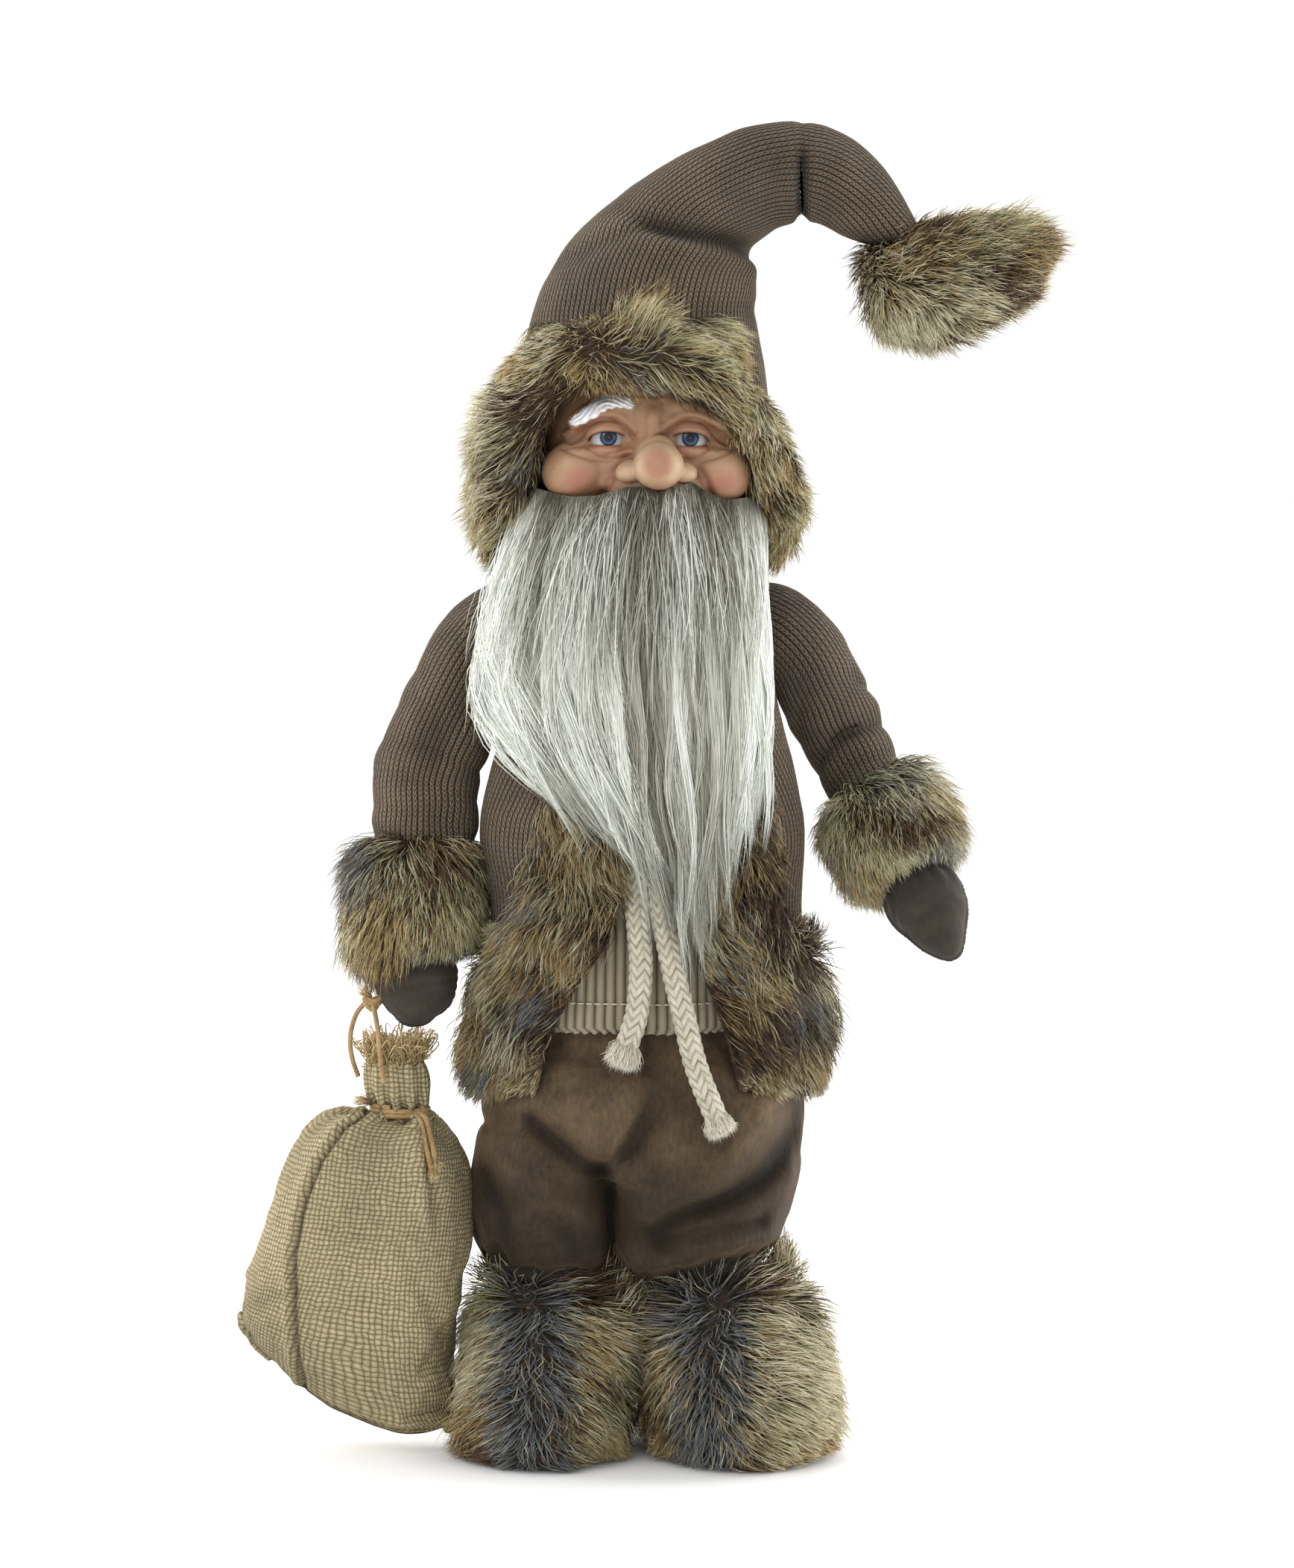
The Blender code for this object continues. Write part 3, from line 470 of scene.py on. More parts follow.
def darker(stops, k):
    """The same palette, k times as light."""
    return [(p, tuple(v * k for v in c[:3]) + (1.0,)) for p, c in stops]


# tone runs: 0-0.28 dark brown, 0.3-0.5 tan and gold, 0.5-0.66 olive, 0.66-0.8 cream, 0.84-1 blue grey
FUR_ROOT, FUR_TIP = (
    [(0.0, lin(44, 31, 22)), (0.25, lin(70, 52, 36)), (0.42, lin(116, 92, 58)), (0.58, lin(104, 102, 78)), (0.74, lin(160, 146, 112)), (0.84, lin(84, 87, 88)), (1.0, lin(70, 74, 78))],
    [(0.0, lin(62, 43, 29)), (0.2, lin(98, 74, 50)), (0.34, lin(176, 148, 96)), (0.46, lin(204, 184, 128)), (0.58, lin(176, 174, 134)), (0.72, lin(232, 224, 190)), (0.84, lin(150, 153, 150)), (1.0, lin(104, 109, 112))])
FUR = strand_material("faux_fur", FUR_ROOT, FUR_TIP)
# the jacket's pile: a darker copy of the same fur, painted shade
FUR_SHADED = strand_material("faux_fur_jacket_shaded", darker(FUR_ROOT, 0.68), darker(FUR_TIP, 0.72))
BEARD = strand_material(
    "beard_hair",
    [(0.0, lin(84, 78, 64)), (0.5, lin(126, 121, 104)), (1.0, lin(190, 190, 174))],
    [(0.0, lin(122, 118, 101)), (0.3, lin(172, 172, 156)), (0.65, lin(226, 229, 217)), (1.0, lin(247, 250, 243))], rough=0.42, mid=0.38, end=0.46, spec=0.4, deep=0.72)


# ------------------------------------------------------------------ camera, light and floor
scene = bpy.context.scene
AIM = Vector((0.0003, 0.0064, 0.2515))
ELEVATION, DISTANCE = 4.0, 1.9
camera = bpy.data.objects.new("camera", bpy.data.cameras.new("camera"))
scene.collection.objects.link(camera)
e = math.radians(ELEVATION)
camera.location = AIM + DISTANCE * Vector((0.0, -math.cos(e), math.sin(e)))
camera.rotation_euler = (math.radians(90) - e, 0.0, 0.0)
camera.data.sensor_fit = "VERTICAL"
camera.data.sensor_height = 24.0
camera.data.lens = 24.0 * DISTANCE / 0.591
camera.data.clip_start, camera.data.clip_end = 0.05, 30
scene.camera = camera

world = scene.world or bpy.data.worlds.new("studio")
scene.world = world
world.use_nodes = True
world.node_tree.nodes["Background"].inputs[0].default_value = (1.0, 1.0, 1.0, 1)
world.node_tree.nodes["Background"].inputs[1].default_value = 1.04
scene.view_settings.view_transform = "Standard"
scene.view_settings.look = "None"


def lamp(name, place, energy, size, colour=(1, 1, 1)):
    data = bpy.data.lights.new(name, "AREA")
    data.shape, data.size, data.energy, data.color = "DISK", size, energy, colour
    obj = bpy.data.objects.new(name, data)
    obj.location = place
    obj.rotation_euler = (AIM - Vector(place)).to_track_quat("-Z", "Y").to_euler()
    scene.collection.objects.link(obj)


lamp("key", (-0.9, -1.5, 1.5), 8, 0.7, (1.0, 0.985, 0.96))
lamp("fill", (1.5, -1.3, 0.8), 2.5, 0.9, (0.97, 0.985, 1.0))
lamp("side_left", (-1.5, 0.45, 0.5), 17, 0.9)
lamp("side_right", (1.5, 0.45, 0.5), 17, 0.9)
lamp("top", (0.1, 0.5, 1.8), 8, 0.7)
lamp("rear", (0.9, 1.6, 0.9), 6, 0.9)

floor_mat = Mat("studio_floor", 0.7, Specular_IOR_Level=0.2)
floor_mat.b.inputs["Base Color"].default_value = (0.99, 0.99, 0.99, 1)
bpy.ops.mesh.primitive_plane_add(size=60)
floor_plane = bpy.context.object
floor_plane.name = "studio_floor"
floor_plane.data.materials.append(floor_mat.m)


# ------------------------------------------------------------------ the figure's measures (mm)
GAP = .35
SHOULDER = {"left": (-60, 2, 303), "right": (55, 2, 303)}
ELBOW = {"left": (-85, 5, 260), "right": (74, 24, 270)}
HAND_TIP = {"left": (-87, -14, 161.5), "right": (115.5, -26, 187)}
BOOT = {"left": (-38, -12, 27, 45, -5), "right": (34.5, -12, 30, 46, 14)}
BOOT_ROWS = [(0, .88, .92, 0), (9, 1, 1, 0), (24, 1.03, 1, 0), (40, 1, .90, 4.5), (54, .93, .74, 11), (66, .74, .52, 16)]
PELVIS = [(169, 0, -1, 51.6, 39.6), (157, 0, -1, 52, 40), (147, 0, -1, 56, 43.5), (132, -1, -1, 58.5, 46), (116, -2, -1, 57, 45), (106, -3, -1, 50, 38)]
LEGS = {"left": [(122, -38, -1, 23, 38), (108, -39, -1, 24, 40), (92, -40, -1, 24, 39), (78, -39, 2, 22.5, 34), (66.35, -38, 4, 19, 26)],
        "right": [(122, 20, -1, 34, 38), (108, 21, -1, 35, 40), (92, 20.5, -1, 33.5, 39), (78, 21, 2, 30, 34), (66.35, 24, 4, 24, 26)]}
CORE = [(150, 0, -1, 47, 35.5), (172, 0, -2, 49, 38.5), (200, 0, -3, 50, 41), (240, 0, -2, 47, 38), (280, 0, 0, 38, 32), (300, 0, 1, 36, 28), (314, 0, 2, 31, 23), (324, 0, 3, 21, 18)]
OPENING = [(178, 34), (200, 27), (215, 24), (300, 22), (330, 20)]
TRIM = {"left": [(141, 40, 96), (160, 36, 96), (184, 22, 96), (196, 13, 64), (212, 9, 47), (240, 8.5, 43), (260, 9.5, 42), (312, 15, 40)],
        "right": [(141, 33, 96), (160, 29, 96), (184, 20, 96), (196, 15, 64), (212, 14.5, 54), (260, 15, 50), (312, 18, 42)]}
HEM = [(141, 13), (160, 10), (180, 8.6), (192, 8.6), (330, 8.6)]
BEARD_ROWS = [(196, 14, 24, -62.5), (218, -1, 29, -61.5), (240, -22, 37, -60), (262, -43, 44, -57.5), (284, -50, 45, -54.5), (312, -50.5, 44.5, -52.5), (336, -46.5, 44, -51), (352, -45, 43, -49.2), (366, -44, 42, -47.6)]
BRIM = [(-49.0, -13, 338), (-52.5, -20, 358), (-48.6, -29.5, 384), (-40.5, -38.5, 403), (-22.5, -45.2, 412.6), (0, -47.5, 413.4), (18.5, -46.8, 408.0), (32.6, -42, 396.4), (42.0, -32, 382), (48.6, -20.5, 358), (46.5, -13, 338)]
CROWN = [(0, 8, 327, 38, 31, 0), (0, 5, 348, 46.5, 42, 0), (0, 2.5, 376, 49.5, 46.5, 0), (0, 1, 402, 47.5, 45.5, 0), (0, 1, 424, 43.5, 42, 0), (2.5, 1, 438, 39.5, 38, 4), (9, .5, 449, 32.5, 32, 12), (15.4, 0, 453.6, 26.6, 26.4, 17)]
HOOD_FRONT = [(300, -6), (338, -6), (358, -12), (384, -20), (406, -31), (420, -44), (424, -90)]
DRAWCORD = {"left": [(-7.6, -33.5, 306), (-6.6, -39.5, 290), (-5.4, -45.4, 265), (-4.6, -50.2, 235), (-3.4, -53, 208), (-1.9, -53.8, 189), (-3.4, -53.7, 171), (-7.6, -53.5, 157.5)],
            "right": [(5.6, -33.5, 306), (4.9, -39.5, 290), (4.4, -45.4, 265), (4.4, -50.2, 235), (5.4, -53, 212), (9.4, -53.8, 189), (13.8, -54.2, 170), (18.4, -54.2, 151), (26.4, -54.1, 130.5)]}
KNOT = (-102.6, -13, 172)
TWINE = {"outer": [(-105.4, -13, 170.4), (-108.8, -13.2, 166), (-110.8, -13.4, 160), (-111.2, -13.4, 154), (-110.2, -13.2, 148), (-108.2, -13, 142.2)],
         "front": [(-102.4, -15.4, 169.8), (-101.4, -19, 166), (-100.2, -24.2, 161), (-99.6, -26, 155), (-98.8, -25.6, 148), (-98, -25, 141.4)]}


def torso(angle, z, off):
    """A point round the trunk: angle from the front, height and how far out from the stuffed core."""
    cx, cy, a, b = table(CORE, z).T
    return np.stack([cx + (a + off) * np.sin(angle), cy - (b + off) * np.cos(angle), z], 1)


def axis_of(rows):
    """Middle of a shape at each height, from rows of (z, x, y, ...)."""
    return lambda p: np.concatenate([table(rows, p[:, 2])[:, :2], p[:, 2:3]], 1)


# ------------------------------------------------------------------ fur
SKIN_UNDER = Mat("fur_backing", 0.95)
n0 = SKIN_UNDER.noise(SKIN_UNDER.position(), 260.0, 4.0)
SKIN_UNDER.colour(SKIN_UNDER.ramp(n0, [(0.3, lin(38, 28, 20)), (0.7, lin(66, 50, 34))]))
SKIN_UNDER.bump(n0, 0.0012, 0.8)


def fur_tone(root, seed, warm=0.5, rng=None, green_bias=0.0):
    """Patches of dark brown, gold, olive and cream pile."""
    patch = fbm(root, 30, seed)
    olive = fbm(root, 36, seed + 5)
    fine = noise(root, 6, seed + 3)
    light = smooth(0.40, 0.56, patch + (fine - 0.5) * 0.16 + (warm - 0.6) * 0.12)
    n = len(root)
    pick = rng.random(n)
    dark = rng.uniform(0.02, 0.26, n)
    gold = rng.uniform(0.31, 0.48, n)
    green = rng.uniform(0.50, 0.64, n)
    tone = np.where(pick < light * 0.92 + 0.05, np.where(rng.random(n) < smooth(0.44, 0.6, olive + green_bias), green, gold), dark)
    pale = rng.random(n) < 0.08 + 0.24 * light
    return np.where(pale, rng.uniform(0.66, 0.77, n), tone)


def stripe_tone(tone, amount, rng):
    """Blue-grey pile where amount is high."""
    hit = rng.random(len(tone)) < amount
    return np.where(hit, rng.uniform(0.84, 0.99, len(tone)), tone)


def spots(root, tone, places, rng):
    """Coloured patches of the pile: (x, z, radius, low tone, high tone, amount)."""
    for x, z, r, low, high, amount in places:
        near_ = np.exp(-(((root[:, 0] - x) ** 2 + (root[:, 2] - z) ** 2) / r ** 2) ** 1.5)
        hit = rng.random(len(root)) < amount * near_
        tone = np.where(hit, rng.uniform(low, high, len(root)), tone)
    return tone


DARK, GOLD, OLIVE, CREAM, SLATE = (0.02, 0.26), (0.31, 0.48), (0.50, 0.64), (0.66, 0.77), (0.84, 0.99)


def superell(c, power):
    return np.sign(c) * np.abs(c) ** (2 / power)


# boots: rounded fur feet
for hand in ("left", "right"):
    bx, by, ba, bb, deg = BOOT[hand]
    toe = np.array([math.sin(math.radians(deg)), -math.cos(math.radians(deg)), 0.0])
    side = np.array([math.cos(math.radians(deg)), math.sin(math.radians(deg)), 0.0])

    def boot_fn(U, V, inset=1.6):
        rows = np.array([(0.5, .88, .92, 0), (9, 1, 1, 0), (24, 1.03, 1, 0), (40, 1, .90, 4.5), (54, .93, .74, 11), (66, .74, .52, 16)])
        z, wide, long_, back = spline(rows, V).T
        t = 2 * np.pi * U
        c = np.stack([np.full_like(z, bx), np.full_like(z, by), z], 1) - toe * back[:, None]
        return c + side * ((ba * wide - inset) * superell(np.cos(t), 2.3))[:, None] + toe * ((bb * long_ - inset) * superell(np.sin(t), 2.3))[:, None]

    centre = lambda p: np.array([bx, by + 4, 26.0])
    skin = Sheet(boot_fn, 48, 18).cap(0).cap(1).outward(centre)
    piece(f"boot_{hand}_skin", skin.mesh(f"boot_{hand}_skin"), SKIN_UNDER.m, "figure", [f"boot_{hand}"])
    rng = np.random.default_rng(11 if hand == "left" else 12)
    root, normal, uv = skin.scatter(12400, rng, lambda m: np.where(m[:, 2] < 4, 0.5, 1.0))
    out = unit((root - [bx, by + 14, 60]) * [1, 1, 0.2])
    mid = bx + (-4.5 if hand == "left" else -10.5)
    front = smooth(-8, -26, root[:, 1])
    away_ = np.tanh((root[:, 0] - mid - rng.normal(0, 4.0, len(root))) / 7.0)
    flow = np.array([0, 0, -1.0]) * (0.46 - 0.26 * smooth(30, 60, root[:, 2]))[:, None] + out * (0.35 + 0.5 * smooth(34, 60, root[:, 2]))[:, None] + (fbm(root, 16, 5)[:, None] - 0.5) * side * 1.5
    flow = flow + side * (1.5 * away_ * (0.35 + 0.65 * front))[:, None]
    length = 16 + 8 * noise(root, 12, 4) - 7 * smooth(22, 4, root[:, 2])
    crown_ = smooth(54, 64, root[:, 2])
    flow = flow + np.array([0, -0.35, 1.5]) * crown_[:, None] - out * (0.55 * crown_)[:, None]
    length = length + 2.0 * crown_
    inward = 1.0 if hand == "left" else -1.0
    near = smooth(6, 18, inward * (root[:, 0] - bx)) * smooth(38, 52, root[:, 2])
    flow = flow * (1 - 0.6 * near)[:, None] + np.array([0.75 * inward, -0.1, 0.75]) * near[:, None]
    length = length + 5.0 * near
    stripe = np.exp(-np.abs((root[:, 0] - mid + 1.5 * np.sin(root[:, 2] / 9)) / 7.4) ** 3) * front * smooth(70, 58, root[:, 2])
    tone = fur_tone(root, 21 if hand == "left" else 29, 0.84, rng, -0.07)
    # on the right boot the wide cream patches on the outer side are partly the pile's own cream and partly painted
    # highlight where the light falls brightest
    tone = spots(root, tone, ([(bx + 20, 32, 23, *CREAM, 0.9), (bx + 12, 50, 16, *CREAM, 0.65), (bx - 24, 40, 9, *CREAM, 0.6), (bx + 12, 22, 9, *OLIVE, 0.6), (bx - 20, 14, 10, *GOLD, 0.6), (bx + 26, 12, 8, *GOLD, 0.6), (bx - 16, 36, 9, *GOLD, 0.6), (bx - 22, 24, 8, *DARK, 0.6)] if hand == "right" else [(bx - 22, 38, 14, *CREAM, 0.8), (bx + 18, 48, 9, *CREAM, 0.5), (bx - 20, 22, 10, *GOLD, 0.6), (bx + 8, 44, 9, *GOLD, 0.55), (bx + 16, 34, 9, *DARK, 0.5), (bx + 12, 18, 10, *OLIVE, 0.5), (bx - 22, 10, 8, *DARK, 0.6), (bx + 20, 12, 8, *GOLD, 0.6), (bx - 16, 56, 8, *OLIVE, 0.6)]), rng)
    tone = stripe_tone(tone, 0.93 * stripe, rng)
    strands(f"boot_{hand}_fur", root - normal * 1.0, normal, flow, length, 0.46, FUR, "figure", tone, lift=0.36, droop=0.16, wild=0.27,
            clumps=520, clump_pull=0.66, joints=3, seed=31 if hand == "left" else 37, floor=0.3)


# jacket edges: fur front strips, and the hem round the back
def trim_pt(z, angle, out=1.2):
    cx, cy, a, b = table(CORE, np.maximum(z, 150)).T
    off = np.interp(z, [r[0] for r in HEM], [r[1] for r in HEM]) + 2.4 + np.maximum(0, z - 280) * .08 + out
    x = np.clip(cx + (a + off) * np.sin(angle), -60.6, 64)
    return np.stack([x, cy - (b + off) * np.cos(angle), z], 1)


for hand, sign in (("left", -1), ("right", 1)):
    def strip_fn(U, V, sign=sign, rows=TRIM[hand]):
        z = 141 + (312 - 141) * V
        near, far = table(rows, z).T
        return trim_pt(z, sign * np.radians(near + (far - near) * U))

    skin = Sheet(strip_fn, 26, 60, closed=False).outward(lambda p: p * [0, 0, 1])
    piece(f"jacket_fur_{hand}_skin", skin.mesh(f"jacket_fur_{hand}_skin"), SKIN_UNDER.m, "figure", [f"jacket_fur_{hand}"])
    rng = np.random.default_rng(13 if hand == "left" else 14)
    root, normal, uv = skin.scatter(12300, rng, lambda m: 1.0 + 0.35 * smooth(200, 160, m[:, 2]))
    edge = uv[:, 0]
    across_ = np.stack([np.full(len(root), float(sign)), np.zeros(len(root)), np.zeros(len(root))], 1)
    # the pile parts: outer strands lean over the knit, inner strands towards the opening
    shy = smooth(0.45, 0.0, edge) * smooth(214, 196, root[:, 2])
    flow = np.array([0, 0, -1.0]) * (0.95 - 0.25 * shy)[:, None] + across_ * ((edge - 0.40) * 1.0 + 1.15 * shy)[:, None] + (fbm(root, 13, 41)[:, None] - 0.5) * across_ * (4.4 - 3.2 * shy)[:, None]
    low = smooth(215, 165, root[:, 2])
    length = (15 + 9 * noise(root, 14, 7)) * (1 + 0.10 * low) * (1 - 0.35 * smooth(290, 312, root[:, 2]))
    length = length * (1 - 0.30 * smooth(0.25, 0.0, edge)) * (1 - 0.3 * smooth(0.8, 1.0, edge) * smooth(185, 200, root[:, 2]))
    length = length - 10.5 * smooth(168, 144, root[:, 2])
    if hand == "left":
        flare = smooth(-44, -58, root[:, 0]) * smooth(141, 146, root[:, 2]) * smooth(176, 162, root[:, 2])
        length = length + 6.0 * flare
        flow = flow + np.array([-0.75, -0.15, 0.35]) * flare[:, None]
    if hand == "right":
        flare = smooth(50, 62, root[:, 0]) * smooth(148, 158, root[:, 2]) * smooth(192, 180, root[:, 2])
        length = length + 5.0 * flare
        flow = flow + np.array([0.5, 0, 0.1]) * flare[:, None]
    # along the top of the wide part the pile stands up over the knit
    rise = smooth(181, 190, root[:, 2]) * smooth(204, 197, root[:, 2]) * smooth(0.75, 0.95, edge)
    flow = flow + np.array([0, 0, 1.7]) * rise[:, None] + normal * (0.25 * rise)[:, None]
    length = length * (1 - 0.35 * rise)
    tone = fur_tone(root, 43 if hand == "left" else 47, 0.44, rng)
    places = {"left": [(-43, 240, 8, *SLATE, 0.6), (-32, 243, 8, *GOLD, 0.6), (-40, 212, 8, *SLATE, 0.65), (-27.5, 219, 8, *OLIVE, 0.7), (-34, 203, 8, *GOLD, 0.55), (-14, 206, 8, *DARK, 0.75), (-43, 185, 8, *GOLD, 0.7), (-37, 177, 8, *SLATE, 0.85),
                       (-54, 182, 8, *OLIVE, 0.6), (-48, 166, 7, *CREAM, 0.7), (-64, 162, 8, *GOLD, 0.75), (-60, 147, 9, *SLATE, 0.8), (-53, 142, 7, *GOLD, 0.6), (-26, 178, 7, *DARK, 0.7), (-70, 176, 8, *DARK, 0.6), (-36, 228, 7, *DARK, 0.6)],
              "right": [(48, 240, 9, *GOLD, 0.6), (36, 228, 9, *GOLD, 0.45), (31, 209, 8, *SLATE, 0.5), (43, 206, 9, *DARK, 0.8), (28, 191, 7, *SLATE, 0.6), (37, 188, 8, *GOLD, 0.5), (25, 172, 7, *GOLD, 0.7), (42, 168, 9, *DARK, 0.85), (54, 175, 7, *SLATE, 0.65),
                        (64, 183, 8, *CREAM, 0.6), (62, 166, 8, *DARK, 0.7), (62, 151, 9, *GOLD, 0.65), (47, 154, 8, *GOLD, 0.65), (70, 170, 6, *SLATE, 0.5), (50, 222, 8, *DARK, 0.6), (56, 144, 7, *CREAM, 0.45), (40, 256, 9, *SLATE, 0.5)]}[hand]
    tone = spots(root, tone, places, rng)
    strands(f"jacket_fur_{hand}_pile", root - normal * 0.8, normal, flow, length, 0.45, FUR_SHADED, "figure", tone, lift=0.42, droop=0.26, wild=0.28,
            clumps=460, clump_pull=0.6, joints=3, seed=53 if hand == "left" else 59, ceiling=322)


def hem_fn(U, V):
    return trim_pt(141 + (192 - 141) * V, np.radians(96 + (264 - 96) * U))


skin = Sheet(hem_fn, 48, 16, closed=False).outward(lambda p: p * [0, 0, 1])
piece("jacket_fur_back_skin", skin.mesh("jacket_fur_back_skin"), SKIN_UNDER.m, "figure", ["jacket_fur_back"])
rng = np.random.default_rng(15)
root, normal, uv = skin.scatter(10500, rng)
rise = smooth(185, 191, root[:, 2])
flow = np.array([0, 0, -1.0]) + (fbm(root, 20, 61)[:, None] - 0.5) * np.array([1.4, 0, 0]) + normal * 0.1
flow = flow + np.array([0, 0, 1.75]) * rise[:, None] + normal * (0.2 * rise)[:, None]
strands("jacket_fur_back_pile", root - normal * 0.8, normal, flow, ((17 + 8 * noise(root, 14, 8)) - 10 * smooth(168, 144, root[:, 2])) * (1 - 0.40 * rise) * (1 - 0.5 * smooth(-34, -52, root[:, 0]) * smooth(-4, 8, root[:, 1])), 0.46, FUR_SHADED, "figure", fur_tone(root, 67, 0.6, rng),
        lift=0.42, droop=0.3, wild=0.24, clumps=400, clump_pull=0.6, joints=3, seed=71)


# cuffs: fur rings on the forearms
def limb_axes(start, end, side=(0.0, 1.0, 0.0)):
    axis = unit(np.subtract(end, start).astype(float))
    second = unit(np.asarray(side) - axis * np.dot(side, axis))
    return axis, np.cross(second, axis), second


for hand in ("left", "right"):
    start = np.array(ELBOW[hand], float)
    axis, first, second = limb_axes(start, HAND_TIP[hand])

    def cuff_fn(U, V):
        d, r = spline(np.array([(31, 14.5), (35, 18.2), (44, 20), (58, 20), (66, 18.5), (70.5, 14)] if hand == "left" else [(30, 14.2), (34, 17.6), (42, 19.4), (53, 19.2), (60, 17.6), (64.5, 13.6)]), V).T
        t = 2 * np.pi * U
        return start + axis * d[:, None] + (first * np.cos(t)[:, None] + second * np.sin(t)[:, None]) * r[:, None]

    middle = start + axis * 50
    skin = Sheet(cuff_fn, 40, 14).outward(lambda p: middle + axis * ((p - middle) @ axis)[:, None])
    piece(f"cuff_{hand}_skin", skin.mesh(f"cuff_{hand}_skin"), SKIN_UNDER.m, f"forearm_{hand}", [f"cuff_{hand}"])
    rng = np.random.default_rng(16 if hand == "left" else 17)
    root, normal, uv = skin.scatter(11800, rng)
    along_ = (root - start) @ axis
    flow = axis * (0.95 - 0.75 * smooth(44, 31, along_))[:, None] + np.array([0, 0, -0.35]) + normal * 0.15 + (fbm(root, 15, 73)[:, None] - 0.5) * first * 1.7
    length = 16.5 + 8.5 * noise(root, 11, 9)
    if hand == "left":
        length = length + smooth(50, 70, along_) * np.interp(root[:, 0], [-108, -96, -88, -74], [5.0, 2.0, -7.0, -11.0])
    else:
        length = length - 10.5 * smooth(48, 64, along_) + 3.0 * smooth(46, 34, along_)
        length = length - 6.5 * smooth(92, 82, root[:, 0]) * smooth(60, 40, along_)
    tone = stripe_tone(fur_tone(root, 79 if hand == "left" else 83, 0.86, rng), 0.55 * smooth(0.52, 0.62, fbm(root, 26, 85 if hand == "right" else 87)), rng)
    places = {"left": [(-104, 226, 10, *SLATE, 0.6), (-90, 222, 9, *OLIVE, 0.6), (-98, 204, 12, *GOLD, 0.75), (-112, 208, 11, *CREAM, 0.85), (-80, 200, 9, *DARK, 0.5), (-106, 184, 9, *CREAM, 0.6), (-84, 186, 9, *OLIVE, 0.6), (-72, 216, 9, *OLIVE, 0.6)],
              "right": [(98, 254, 9, *CREAM, 0.75), (88, 256, 8, *SLATE, 0.45), (112, 250, 10, *GOLD, 0.8), (92, 240, 8, *DARK, 0.6), (84, 236, 8, *OLIVE, 0.6), (104, 238, 8, *DARK, 0.35), (106, 228, 8, *SLATE, 0.6), (82, 222, 9, *GOLD, 0.6), (118, 236, 8, *CREAM, 0.6)]}[hand]
    tone = spots(root, tone, places, rng)
    strands(f"cuff_{hand}_pile", root - normal * 0.8, normal, flow, length, 0.42, FUR, f"forearm_{hand}", tone, lift=0.50, droop=0.24, wild=0.30,
            clumps=380, clump_pull=0.6, joints=3, seed=89 if hand == "left" else 97)


# brim: fur round the face opening
def brim_fn(U, V):
    c = spline(np.array(BRIM, float), V)
    d = unit(spline(np.array(BRIM, float), np.minimum(V + .004, 1)) - spline(np.array(BRIM, float), np.maximum(V - .004, 0)))
    out = unit((c - [0, 6, 378]) * [1, 0.25, 1])
    out = unit(out - d * (out * d).sum(1, keepdims=True))
    other = np.cross(d, out)
    r = (10.6 - 2.4 * smooth(0.52, 0.72, V)) * np.sqrt(np.clip(1 - (np.abs(2 * V - 1) ** 14), 0.12, 1))
    t = 2 * np.pi * U
    return c + out * (r * np.cos(t))[:, None] * 0.92 + other * (r * np.sin(t))[:, None]


def brim_mid(p):
    line = spline(np.array(BRIM, float), np.linspace(0, 1, 120))
    return line[((p[:, None] - line[None]) ** 2).sum(2).argmin(1)]


skin = Sheet(brim_fn, 26, 90).cap(0).cap(1).outward(brim_mid)
piece("hat_brim_skin", skin.mesh("hat_brim_skin"), SKIN_UNDER.m, "figure", ["hat_fur_brim"])
rng = np.random.default_rng(18)


def brim_weight(m):
    away = unit((m - [0, 0, 378]) * [1, 0.0, 1])
    n = unit(m - brim_mid(m))
    return np.where((n * away).sum(1) < -0.55, 0.35, 1.0)


root, normal, uv = skin.scatter(12300, rng, brim_weight)
away = unit((root - [0, 0, 374]) * [1, 0.0, 1])
inner = smooth(0.2, -0.7, (normal * away).sum(1))
top = smooth(392, 408, root[:, 2])
turn_ = np.where(root[:, 0] > -21 + rng.normal(0, 7.0, len(root)), 1.0, -1.0)
comb = np.stack([away[:, 2] * turn_, np.zeros(len(root)), -away[:, 0] * turn_], 1)
right = smooth(10, 40, root[:, 0])
outer = away * (0.78 - 0.42 * top - 0.30 * right)[:, None] + comb * (0.30 + 0.45 * top + 0.2 * right)[:, None] + np.array([0, -0.32, 0])
hang = np.stack([0.5 * turn_, np.full(len(root), -0.30), np.full(len(root), -1.0)], 1)
side_in = away * 0.15 + comb * 0.7 + np.array([0, -0.3, 0])
into = hang * top[:, None] + side_in * (1 - top)[:, None]
flow = outer * (1 - inner)[:, None] + into * inner[:, None] + (fbm(root, 14, 91)[:, None] - 0.5) * np.array([1.5, 0.4, 1.5])
low_front = smooth(0.3, -0.5, (normal * [0, 0, 1]).sum(1)) * top
flow = flow + hang * (0.9 * low_front)[:, None]
length = (12 + 7.5 * noise(root, 9, 10)) * (1 - 0.30 * inner * (1 - top)) * (1 - 0.22 * right * (1 - inner)) * (1 - 0.25 * top * (1 - inner) * smooth(0.2, 0.8, (normal * away).sum(1)))
corner = np.exp(-(((root[:, 0] + 46) / 9.0) ** 2)) * smooth(388, 400, root[:, 2]) * (1 - inner)
flow = flow + np.array([-0.5, 0.0, 0.7]) * corner[:, None]
length = length * (1 - 0.42 * smooth(24, 36, root[:, 0]) * smooth(388, 400, root[:, 2]) * (1 - inner)) * (1 - 0.15 * corner)
tuft_ = np.exp(-(((root[:, 0] + 6) / 5.5) ** 2)) * top * (1 - inner)
flow = flow + np.array([0, -0.1, 1.6]) * tuft_[:, None]
length = length * (1 + 0.45 * tuft_) * (1 + 0.42 * low_front * smooth(2, 16, root[:, 0])) * (1 - 0.25 * low_front * smooth(-4, -16, root[:, 0]))
tone = fur_tone(root, 101, 0.84, rng)
